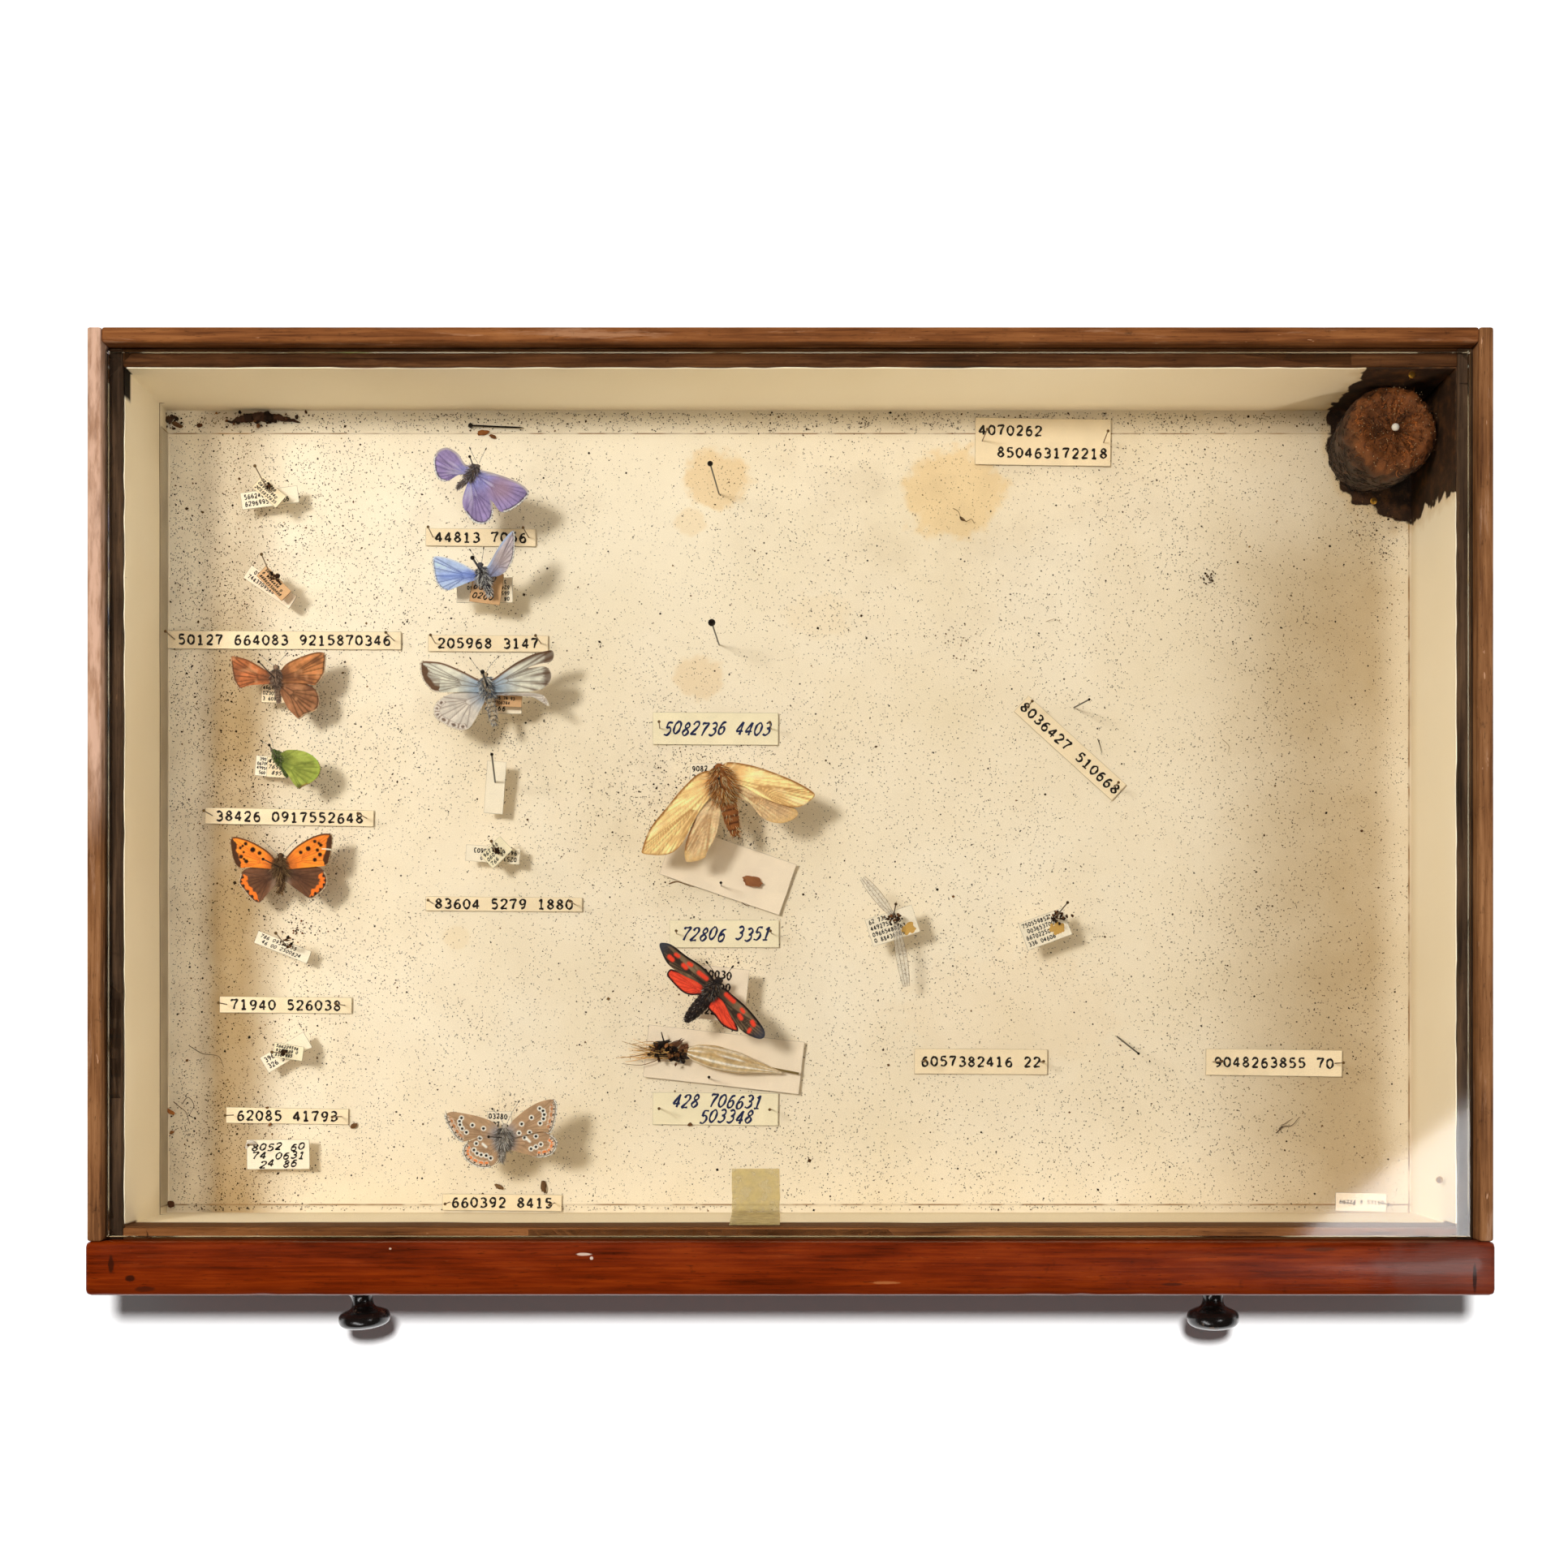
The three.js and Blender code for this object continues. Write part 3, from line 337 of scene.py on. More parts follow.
def wall_marks(graph, color):
    """The wall paper's paler colour, which is painted light, and its darker foot, seam, browning with painted
    shade towards the right, painted shade under the front ledge, torn corner and specks.
    """
    # Painted light: the wall paper is made paler than the floor paper.
    color = graph.mix(0.5, color, rgba((253, 243, 220)))
    foot = graph.spread(graph.z, 19, 11, 0, 0.3)
    color = graph.mix(foot, color, rgba((196, 166, 116)))
    on_left = graph.spread(graph.x, -168.0, -169.2)
    seam = graph.spread(graph.calc("ABSOLUTE", graph.minus(graph.z, 18.4)), 0.5, 0.2)
    color = graph.mix(graph.times(seam, graph.times(on_left, 0.85)), color, rgba((104, 74, 46)))
    # Painted shade in a brownish tone over the back and front walls, darker towards the right.
    browned_shade = graph.times(graph.spread(graph.x, 60, 166, 0, 0.4), graph.spread(graph.x, 169.2, 168.4))
    color = graph.mix(browned_shade, color, rgba((200, 170, 124)))
    # Painted shade: a dark band along the top of the front wall, under the ledge.
    ledge_shade = graph.times(graph.spread(graph.y, -98.1, -98.7), graph.spread(graph.z, 39, 42))
    color = graph.mix(ledge_shade, color, rgba((98, 64, 38)))
    hole = graph.times(graph.spread(graph.y, 111.6, 113.2), graph.spread(graph.z, 44.6, 46.2))
    color = graph.mix(graph.times(hole, graph.spread(graph.x, -168.9, -169.4)), color, rgba((22, 15, 11)))
    specks = graph.spread(graph.noise(0.6, 2, 0.5, seed=41), 0.73, 0.78, 0, 0.6)
    color = graph.mix(specks, color, rgba((110, 86, 60)))
    return color


def paper_material(name, floor):
    """Aged cream paper with fine dirt, painted shade and light, and the dark stain in its corner."""
    graph = Graph(name)
    clouds = graph.noise(38, 4, 0.55, seed=1)
    color = graph.ramp(clouds, (0.3, (240, 226, 198)), (0.5, (245, 232, 207)), (0.7, (249, 238, 216)))
    fibres = graph.noise(0.5, 3, 0.6, seed=2)
    color = graph.mix(graph.spread(fibres, 0.3, 0.7, 0.06, 0), color, rgba((205, 182, 140)))
    color = floor_marks(graph, color, clouds) if floor else wall_marks(graph, color)
    inside, rim, halo = corner_stain(graph)
    color = graph.mix(halo, color, rgba((196, 158, 96)))
    soaked = graph.ramp(graph.noise(3.5, 5, 0.7, seed=10), (0.3, (34, 24, 18)), (0.5, (60, 43, 32)),
                        (0.7, (104, 68, 40)))
    soaked = graph.mix(graph.times(rim, 0.7), soaked, rgba((42, 27, 18)))
    color = graph.mix(inside, color, soaked)
    rough = graph.spread(inside, 0, 1, 0.9, 0.55)
    graph.surface(color, rough, fibres, 0.04, Specular_IOR_Level=0.25)
    return graph.material


def tinted(name, roughness, size, change, depth, **constants):
    """Takes its colour from the mesh, with a fine variation of its own."""
    graph = Graph(name)
    grain = graph.noise(size, 4, 0.65, seed=1)
    shade = graph.ramp(grain, (0.3, (205, 205, 205)), (0.5, (238, 238, 238)), (0.7, (255, 255, 255)))
    color = graph.mix(change * 2, graph.tint(), shade, "MULTIPLY")
    graph.surface(color, roughness, grain, depth, **constants)
    return graph.material


def clear(name, color, roughness, opacity, size=0.8):
    """A thin clear or milky film with a sheen."""
    graph = Graph(name)
    cloud = graph.spread(graph.noise(size, 4, 0.6, seed=3), 0.3, 0.7, opacity * 0.7, min(1, opacity * 1.3))
    tint = graph.mix(1.0, graph.tint(), rgba(color), "MULTIPLY")
    inputs = {"Base Color": tint, "Roughness": roughness, "Specular IOR Level": 0.6}
    film = graph.node("ShaderNodeBsdfPrincipled", inputs).outputs[0]
    through = graph.node("ShaderNodeBsdfTransparent", {0: (1, 1, 1, 1)}).outputs[0]
    graph.finish(graph.node("ShaderNodeMixShader", {0: cloud, 1: through, 2: film}).outputs[0])
    return graph.material


def glass_material(name, tone, base, mirrored=True):
    """Glass that lets all light through but a share: base, and Fresnel's where it is mirrored."""
    graph = Graph(name)
    share = base
    if mirrored:
        share = graph.calc("ADD", graph.node("ShaderNodeFresnel", {"IOR": 1.5}).outputs[0], base, clamp=True)
    through = graph.node("ShaderNodeBsdfTransparent", {0: rgba(tone)}).outputs[0]
    gloss = graph.node("ShaderNodeBsdfGlossy", {"Color": (1, 1, 1, 1), "Roughness": 0.06}).outputs[0]
    graph.finish(graph.node("ShaderNodeMixShader", {0: share, 1: through, 2: gloss}).outputs[0])
    return graph.material


def black_lacquer(name):
    graph = Graph(name)
    worn = graph.spread(graph.noise(2.6, 5, 0.65, (1, 2, 1), seed=3), 0.57, 0.68, 0, 0.75)
    color = graph.mix(worn, rgba((22, 18, 16)), rgba((104, 78, 58)))
    grain = graph.noise(0.5, 4, 0.6, (1, 5, 1), seed=4)
    rough = graph.spread(worn, 0, 0.7, 0.22, 0.5)
    graph.surface(color, rough, grain, 0.05, Coat_Weight=0.35, Coat_Roughness=0.1)
    return graph.material


def make_materials():
    return {
        "mahogany": wood("polished mahogany", 0, (68, 18, 1), (118, 36, 1), (150, 57, 6), 0.24, 0.08,
                         (170, 96, 50), coat=0.15, marks=front_marks),
        "lip_long": wood("worn brown wood, long boards", 0, (76, 38, 15), (132, 78, 39), (164, 105, 58), 0.5,
                         0.5, (190, 142, 106)),
        "lip_side": wood("worn brown wood with painted glare, side boards", 1, (78, 44, 22), (134, 88, 52), (170, 120, 78), 0.5,
                         0.45, (192, 150, 120), marks=lip_glare),
        "ledge_long": wood("brown fillet wood", 0, (44, 25, 12), (86, 52, 27), (118, 76, 43), 0.5, 0.25,
                           (150, 104, 66)),
        # A lighter copy of the long fillets' wood for the front fillet: painted light, against the shade that
        # the front board casts on it.
        "ledge_front": wood("brown fillet wood, front, painted lighter", 0, (66, 38, 18), (134, 84, 46), (164, 110, 66), 0.5,
                            0.3, (184, 140, 100)),
        "ledge_side": wood("dark fillet wood", 1, (36, 26, 18), (76, 57, 42), (112, 86, 64), 0.55, 0.35,
                           (120, 90, 64)),
        "cork": tinted("cork", 0.95, 1.6, 0.3, 0.2),
        "floor_paper": paper_material("floor paper", True),
        "wall_paper": paper_material("wall paper", False),
        "card": tinted("card", 0.9, 0.5, 0.1, 0.02, Specular_IOR_Level=0.25),
        "ink": tinted("ink", 0.6, 0.3, 0.3, 0.005),
        "scales": tinted("wing scales", 0.62, 0.16, 0.24, 0.03, Specular_IOR_Level=0.3),
        "fur": tinted("fur", 0.8, 0.25, 0.3, 0.04, Specular_IOR_Level=0.2),
        "crumb": tinted("crumbs", 0.85, 0.2, 0.3, 0.05, Specular_IOR_Level=0.25),
        "husk": tinted("glossy husk", 0.28, 0.5, 0.25, 0.06, Coat_Weight=0.25, Coat_Roughness=0.15),
        "straw": tinted("straw and fibre", 0.6, 0.4, 0.3, 0.04),
        "pin": tinted("dark pin steel", 0.38, 0.4, 0.2, 0.01, Metallic=0.6),
        "brass": tinted("brass pin", 0.3, 0.4, 0.2, 0.01, Metallic=0.9),
        "pearl": tinted("pearl head", 0.25, 1.0, 0.1, 0.01, Coat_Weight=0.5),
        "film": clear("clear wing film", WHITE, 0.25, 0.22),
        "thin_scales": clear("rubbed wing scales", WHITE, 0.5, 0.66, 1.6),
        "silk": clear("papery silk", WHITE, 0.3, 0.9, 1.2),
        "tape": clear("yellowed tape", WHITE, 0.35, 0.42, 3),
        "glass": glass_material("pane glass", (254, 254, 253), 0.0),
        "glass_under": glass_material("pane underside", (254, 254, 253), 0.01, mirrored=False),
        "glass_edge": glass_material("pane edge", (150, 176, 160), 0.35),
        "lacquer": black_lacquer("black lacquer"),
    }


# ---- meshes from arrays ----
class Shape:
    """Points in millimetres, faces and a colour for each point, gathered to make one mesh."""

    def __init__(self):
        self.points = []
        self.faces = []
        self.tints = []
        self.skins = []
        self.count = 0

    def put(self, points, faces, tint, skin, is_linear=False):
        points = np.asarray(points, float).reshape(-1, 3)
        start = self.count
        self.points.append(points)
        self.faces.extend(tuple(start + i for i in face) for face in faces)
        color = np.asarray(tint, float) if is_linear else linear(tint)
        self.tints.append(np.broadcast_to(color, points.shape))
        self.skins.extend([skin] * len(faces))
        self.count += len(points)

    def piece(self, name, slot, nodes=(), edge_angle=40):
        """Makes the mesh object, which rides on the body and stands for the CAD nodes."""
        mesh = bpy.data.meshes.new(name)
        mesh.from_pydata((np.vstack(self.points) * MM).tolist(), [], self.faces)
        kinds = sorted(set(self.skins))
        for kind in kinds:
            mesh.materials.append(MATERIALS[kind])
        mesh.polygons.foreach_set("material_index", [kinds.index(skin) for skin in self.skins])
        mesh.shade_smooth()
        mesh.set_sharp_from_angle(angle=math.radians(edge_angle))
        tint = mesh.color_attributes.new("tint", "FLOAT_COLOR", "POINT")
        colors = np.ones((self.count, 4))
        colors[:, :3] = np.vstack(self.tints)
        tint.data.foreach_set("color", colors.ravel())
        mesh.validate()
        mesh.update()
        piece = bpy.data.objects.new(name, mesh)
        bpy.context.scene.collection.objects.link(piece)
        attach(piece, BODY)
        if nodes:
            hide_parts(*nodes)
        return piece


def smooth_line(points, per=4, closed=False):
    """A Catmull-Rom curve through the points."""
    points = np.asarray(points, float)
    count = len(points)
    if closed:
        ring = np.vstack([points[-1:], points, points[:2]])
        spans = count
    else:
        ring = np.vstack([2 * points[:1] - points[1:2], points, 2 * points[-1:] - points[-2:-1]])
        spans = count - 1
    out = []
    for span in range(spans):
        a, b, c, d = ring[span:span + 4]
        for step in range(per):
            t = step / per
            out.append(0.5 * (2 * b + (c - a) * t + (2 * a - 5 * b + 4 * c - d) * t * t
                              + (3 * b - a - 3 * c + d) * t ** 3))
    if not closed:
        out.append(points[-1])
    return np.array(out)


def mottle(x, y, size, seed=0):
    """Smooth noise from 0 to 1 over a plane, with patches of about the given size."""
    u = np.asarray(x, float) / size + seed * 17.31
    v = np.asarray(y, float) / size - seed * 9.17
    i, j = np.floor(u), np.floor(v)
    f, g = u - i, v - j
    f, g = f * f * (3 - 2 * f), g * g * (3 - 2 * g)

    def corner(a, b):
        return np.modf(np.abs(np.sin(a * 127.1 + b * 311.7 + seed * 74.7)) * 43758.5453)[0]

    low = corner(i, j) * (1 - f) + corner(i + 1, j) * f
    high = corner(i, j + 1) * (1 - f) + corner(i + 1, j + 1) * f
    return low * (1 - g) + high * g


def slope_step(value, low, high):
    t = np.clip((np.asarray(value, float) - low) / (high - low), 0, 1)
    return t * t * (3 - 2 * t)


def frames_along(path):
    """Two directions across a path at each of its points, with as little twist as can be."""
    path = np.asarray(path, float)
    tangents = np.gradient(path, axis=0)
    tangents /= np.linalg.norm(tangents, axis=1)[:, None] + 1e-9
    side = np.cross(tangents[0], (0, 0, 1) if abs(tangents[0][2]) < 0.9 else (1, 0, 0))
    sides = []
    for tangent in tangents:
        side = side - tangent * side.dot(tangent)
        side = side / (np.linalg.norm(side) + 1e-9)
        sides.append(side)
    sides = np.array(sides)
    return sides, np.cross(tangents, sides)


def ring_faces(rows, sides):
    """The four-sided faces between rings of points, one ring a row."""
    return [(row * sides + i, row * sides + (i + 1) % sides,
             (row + 1) * sides + (i + 1) % sides, (row + 1) * sides + i)
            for row in range(rows - 1) for i in range(sides)]


def pole_faces(rows, sides):
    """The faces of rings of points that lie between a first and a last single point."""
    last = rows * sides + 1
    low = last - sides
    faces = []
    for i in range(sides):
        j = (i + 1) % sides
        faces += [(0, 1 + i, 1 + j), (last, low + j, low + i)]
        faces += [(a + i, a + sides + i, a + sides + j, a + j) for a in range(1, low, sides)]
    return faces


def tube(shape, path, radii, sides, tint, skin, flat=1.0):
    """A closed tube along a path. flat below 1 presses it thin."""
    path = np.asarray(path, float)
    radii = np.broadcast_to(np.asarray(radii, float), (len(path),))
    across, up = frames_along(path)
    angles = np.arange(sides) * 2 * math.pi / sides
    rings = (path[:, None] + radii[:, None, None]
             * (np.cos(angles)[None, :, None] * across[:, None]
                + flat * np.sin(angles)[None, :, None] * up[:, None]))
    faces = ring_faces(len(path), sides)
    faces.append(tuple(reversed(range(sides))))
    last = (len(path) - 1) * sides
    faces.append(tuple(range(last, last + sides)))
    tint = np.asarray(tint, float)
    if tint.ndim == 2:
        tint = np.repeat(tint, sides, axis=0)
    shape.put(rings.reshape(-1, 3), faces, tint, skin)


def ball(shape, centre, radii, tint, skin, rings, sides, rough=0.0, axis=None, seed=0):
    """An egg, upright or with its long way along an axis, with its surface made uneven by rough."""
    radii = np.broadcast_to(np.asarray(radii, float), (3,))
    rows = [(0.0, 0.0, 1.0)]
    for ring in range(1, rings):
        polar = math.pi * ring / rings
        for i in range(sides):
            turn = 2 * math.pi * i / sides
            rows.append((math.sin(polar) * math.cos(turn), math.sin(polar) * math.sin(turn), math.cos(polar)))
    rows.append((0.0, 0.0, -1.0))
    unit = np.array(rows)
    bulge = 1 + rough * (mottle(unit[:, 0] * 3 + unit[:, 2], unit[:, 1] * 3 - unit[:, 2], 1, seed) * 2 - 1)
    points = unit * radii * bulge[:, None]
    if axis is not None:
        turn = Vector((0, 0, 1)).rotation_difference(Vector(axis)).to_matrix()
        points = points @ np.array(turn).T
    shape.put(points + np.asarray(centre, float), pole_faces(rings - 1, sides), tint, skin)


def slab(shape, grid, thick, tint, skin, is_linear=False):
    """A closed thin sheet. grid holds its upper points as rows, columns and xyz. thick is its thickness
    downwards, or the way from its upper to its lower face, turned round."""
    grid = np.asarray(grid, float)
    rows, columns = grid.shape[:2]
    size = rows * columns
    lower = grid - (thick if np.ndim(thick) else np.array((0, 0, thick)))
    faces = []
    for r in range(rows - 1):
        for c in range(columns - 1):
            a = r * columns + c
            faces.append((a, a + 1, a + columns + 1, a + columns))
            faces.append((size + a, size + a + columns, size + a + columns + 1, size + a + 1))
    rim = [(0, c) for c in range(columns - 1)] + [(r, columns - 1) for r in range(rows - 1)]
    rim += [(rows - 1, c) for c in range(columns - 1, 0, -1)] + [(r, 0) for r in range(rows - 1, 0, -1)]
    ids = [r * columns + c for r, c in rim]
    for a, b in zip(ids, ids[1:] + ids[:1]):
        faces.append((a, size + a, size + b, b))
    tint = np.asarray(tint, float)
    if tint.ndim > 1:
        tint = np.vstack([tint.reshape(-1, 3)] * 2)
    shape.put(np.vstack([grid.reshape(-1, 3), lower.reshape(-1, 3)]), faces, tint, skin, is_linear)


def hairs(shape, roots, ways, width, tints, skin, droop, rng):
    """Tapering three-sided hairs, each bent once. ways holds direction times length."""
    roots, ways = np.asarray(roots, float), np.asarray(ways, float)
    count = len(roots)
    length = np.linalg.norm(ways, axis=1)[:, None] + 1e-9
    way = ways / length
    side = np.cross(way, rng.normal(size=(count, 3)))
    side /= np.linalg.norm(side, axis=1)[:, None] + 1e-9
    up = np.cross(way, side)
    middle = roots + ways * 0.55
    tip = roots + ways + rng.normal(size=(count, 3)) * length * 0.12 - np.array((0, 0, 1)) * length * droop
    rings = []
    for centre, size in ((roots, width), (middle, width * 0.7)):
        for k in range(3):
            turn = 2 * math.pi * k / 3
            rings.append(centre + size * (math.cos(turn) * side + math.sin(turn) * up))
    points = np.stack(rings + [tip], axis=1).reshape(-1, 3)
    pattern = [(0, 1, 4, 3), (1, 2, 5, 4), (2, 0, 3, 5), (3, 4, 6), (4, 5, 6), (5, 3, 6), (2, 1, 0)]
    faces = [tuple(7 * i + k for k in face) for i in range(count) for face in pattern]
    shape.put(points, faces, np.repeat(np.asarray(tints, float), 7, axis=0), skin)


def pin(shape, foot, head, top=PIN_TOP, head_radius=PIN_HEAD, tint=PIN_COLOR, radius=PIN_RADIUS):
    """A pin that stands on the floor at foot and leans to head."""
    foot, head = np.array((*foot, PAPER_TOP)), np.array((*head, top))
    path = [foot + (head - foot) * t for t in (0, 0.03, 0.5, 1)]
    tube(shape, path, [radius * 0.5, radius, radius, radius], 8, tint, "pin")
    ball(shape, head, (head_radius, head_radius, head_radius * 0.8), tint, "pin", 6, 10)


# ---- cards and numbers ----
DIGITS = {
    "0": [[(.5, 1), (.16, .78), (.1, .5), (.16, .22), (.5, 0), (.84, .22), (.9, .5), (.84, .78), (.5, 1)]],
    "1": [[(.2, .78), (.5, 1), (.5, .5), (.5, 0)], [(.18, 0), (.82, 0)]],
    "2": [[(.12, .76), (.3, .97), (.7, .97), (.86, .72), (.6, .4), (.12, .02), (.5, .02), (.9, .02)]],
    "3": [[(.14, .9), (.5, 1), (.82, .8), (.7, .57), (.42, .52)],
          [(.42, .52), (.8, .46), (.88, .2), (.5, 0), (.1, .1)]],
    "4": [[(.66, 0), (.66, .5), (.66, 1)], [(.66, 1), (.08, .3), (.5, .3), (.94, .3)]],
    "5": [[(.84, .98), (.26, .98), (.2, .56)], [(.2, .56), (.6, .62), (.88, .34), (.6, .02), (.12, .08)]],
    "6": [[(.8, .92), (.4, .86), (.14, .4), (.3, .02), (.74, .04), (.86, .34), (.6, .56), (.2, .42)]],
    "7": [[(.12, .84), (.12, .98), (.5, .98), (.88, .98), (.56, .5), (.42, 0)]],
    "8": [[(.5, .54), (.2, .74), (.5, 1), (.8, .74), (.5, .54), (.12, .26), (.5, 0), (.88, .26), (.5, .54)]],
    "9": [[(.84, .6), (.4, .42), (.14, .7), (.4, .98), (.78, .9), (.86, .6), (.7, .16), (.3, .02)]],
}


def write(shape, text, spot, start, size, pitch, ink=INK, width=0.3, slant=0.0, wander=0.0, seed=0):
    """Writes numbers as thin strips of ink. spot turns card coordinates into a place in space."""
    rng = random.Random(seed)
    wide, tall = size
    for index, sign in enumerate(text):
        lift = rng.uniform(-wander, wander)
        for stroke in DIGITS.get(sign, []):
            line = smooth_line(stroke, 3)
            u = start[0] + index * pitch + wide * line[:, 0] + slant * tall * line[:, 1]
            v = start[1] + lift + tall * line[:, 1]
            along = np.gradient(np.stack([u, v], axis=1), axis=0)
            along /= np.linalg.norm(along, axis=1)[:, None] + 1e-9
            normal = np.stack([-along[:, 1], along[:, 0]], axis=1) * width / 2
            weight = 1 + 0.25 * np.sin(np.arange(len(line)) * 0.9 + index)[:, None]
            sides = []
            for sign_of in (-1, 1):
                side = np.stack([u, v], axis=1) + sign_of * normal * weight
                sides.append([spot(a, b) for a, b in side])
            grid = np.array(sides) + np.array((0, 0, 0.035))
            slab(shape, grid, 0.03, ink, "ink")


def card(shape, x, y, length, width, turn, z, tint, curl=0.0, roll=0.0, tip=(0, 0), seed=0):
    """A slightly curled card whose underside rests at z. Returns what turns card places into space."""
    angle = math.radians(turn)
    columns = max(8, int(length / 1.6))
    rows = max(4, int(width / 1.3))

    def cuts(size, cells):
        edge = CARD_EDGE / size
        return np.concatenate(([0, edge], np.linspace(0, 1, cells + 1)[1:-1], [1 - edge, 1])) - 0.5

    def spot(u, v):
        bend = curl * (2 * u / length) ** 2 + roll * (2 * v / width) ** 2 + tip[0] * u + tip[1] * v
        return (x + u * math.cos(angle) - v * math.sin(angle),
                y + u * math.sin(angle) + v * math.cos(angle), z + CARD + bend)

    grid = []
    for v_share in cuts(width, rows):
        line = []
        for u_share in cuts(length, columns):
            u, v = u_share * length, v_share * width
            if abs(v_share) == 0.5:
                v += CARD_TEAR * (mottle(u, v, 2.2, seed) - 0.5)
            if abs(u_share) == 0.5:
                u += CARD_TEAR * (mottle(u, v, 1.4, seed + 3) - 0.5)
            line.append(spot(u, v))
        grid.append(line)
    grid = np.array(grid)
    shade = 0.95 + 0.09 * mottle(grid[..., 0], grid[..., 1], 2.5, seed)
    shade[[0, -1], :] = 0.42
    shade[:, [0, -1]] = 0.42
    slab(shape, grid, CARD, linear(tint) * shade[..., None], "card", is_linear=True)
    return spot


PEACH = (250, 231, 196)
PALE_YELLOW = (248, 237, 204)
WHITE_CARD = (250, 239, 216)
PINKISH = (246, 230, 206)
ORANGE_CARD = (222, 178, 132)

NAME_LABELS = [  # x, y, length, width, turn, rows of numbers, whether written by hand
    (-137.5, 56.9, 63.6, 4.9, -0.3, ["50127 664083 9215870346"], False),
    (-136.1, 8.7, 45.9, 4.4, -1, ["38426 0917552648"], False),
    (-137.1, -42.5, 36.0, 4.4, -0.5, ["71940 526038"], False),
    (-136.7, -72.7, 33.3, 4.3, -0.8, ["62085 41793"], False),
    (-84.0, 84.9, 30.0, 4.8, -0.4, ["44813 7056"], False),
    (-82.0, 56.0, 32.7, 4.5, -0.3, ["205968 3147"], False),
    (-77.7, -15.0, 42.6, 3.9, -0.4, ["83604 5279 1880"], False),
    (-78.2, -96.3, 32.5, 4.5, -0.5, ["660392 8415"], False),
    (-20.1, 32.8, 34.2, 8.8, -0.3, ["5082736 4403"], True),
    (-17.7, -23.1, 29.8, 7.5, 0, ["72806 3351"], True),
    (-20.1, -70.8, 34.2, 8.8, -0.5, ["428 706631", "   503348"], True),
    (69.1, 110.9, 36.9, 12.8, -0.8, ["4070262", "  850463172218"], False),
    (76.5, 27.5, 36.1, 5.9, -42.3, ["8036427 510668"], False),
    (52.2, -57.9, 36.2, 6.9, -0.4, ["6057382416 22"], False),
    (132.0, -58.2, 37.1, 7.2, -0.7, ["9048263855 70"], False),
    (155.7, -96.2, 13.9, 5.1, -1, ["60274 8 53160"], False),
]


def label_pins(shape, x, y, length, turn):
    angle = math.radians(turn)
    reach = length / 2 - LABEL_PIN_INSET
    for end in (-1, 1):
        place = (x + end * reach * math.cos(angle), y + end * reach * math.sin(angle))
        pin(shape, place, (place[0] - 0.4 * end, place[1] + 0.4), LABEL_PIN_TOP, 0.42, BRASSY, 0.16)


def build_name_labels():
    for index, (x, y, length, width, turn, rows, by_hand) in enumerate(NAME_LABELS):
        shape = Shape()
        small = length < 20
        tint = PALE_YELLOW if by_hand else (PINKISH if small else PEACH)
        spot = card(shape, x, y, length, width, turn, PAPER_TOP + LABEL_LIFT, tint, 0.25, -0.05, seed=index)
        if by_hand:
            tall, pitch, wide = 3.5, 2.45, 2.0
        elif small:
            tall, pitch, wide = 1.0, 0.95, 0.7
        else:
            tall, pitch, wide = 2.55, 2.54, 1.95
        longest = max(len(row) for row in rows)
        for line, row in enumerate(rows):
            start_x = -longest * pitch / 2 + 0.3
            start_y = -tall / 2 + (0 if len(rows) == 1 else (0.5 - line) * width * 0.47)
            ink = BLUE_INK if by_hand else INK
            write(shape, row, spot, (start_x, start_y), (wide, tall), pitch, ink, 0.2 if small else 0.52,
                  0.35 if by_hand else 0, 0.3 if by_hand else 0.08, seed=index)
        label_pins(shape, x, y, length, turn)
        node = f"name_label_{index + 1:02d}"
        shape.piece(f"{node}.card", "label_card", [node])
    shape = Shape()
    spot = card(shape, -138.2, -82.9, 17, 8, 0.4, PAPER_TOP + 4.5, WHITE_CARD, 0.5, 0.2, tip=(0.02, 0.03))
    for line, row in enumerate(("8052 60", "74 0631", " 24 86")):
        write(shape, row, spot, (-7.4, 1.1 - line * 2.3), (1.7, 1.8), 2.1, INK, 0.4, 0.35, 0.3,
              seed=line + 60)
    pin(shape, (-144.4, -80.6), (-144.0, -79.8), 26, 0.4, BRASSY, 0.16)
    roll = smooth_line([(-146.8, -81.2, 15.8), (-146.2, -79.8, 16.8), (-145.0, -79.4, 17.2),
                        (-144.2, -80.2, 16.4)])
    tube(shape, roll, 0.45, 6, (214, 206, 196), "card")
    shape.piece("name_label_17.card", "white_card", ["name_label_17"])


def small_print(shape, spot, length, width, rows, seed, ink=INK, by_hand=False, flip=False):
    """Rows of tiny numbers that fill a card."""
    rng = random.Random(seed)
    gap = width / (rows + 0.4)
    tall = gap * 0.62
    pitch = tall * (0.95 if by_hand else 0.8)
    for row in range(rows):
        signs = int(length * rng.uniform(0.6, 0.86) / pitch)
        text = "".join(rng.choice("2345678900 6") for _ in range(signs))
        start = (-length * 0.44, width / 2 - gap * (row + 0.95))
        place = (lambda u, v: spot(-u, -v)) if flip else spot
        write(shape, text, place, start, (pitch * 0.74, tall), pitch, ink, max(0.2, tall * 0.22),
              0.3 if by_hand else 0, 0.1, seed=seed + row)


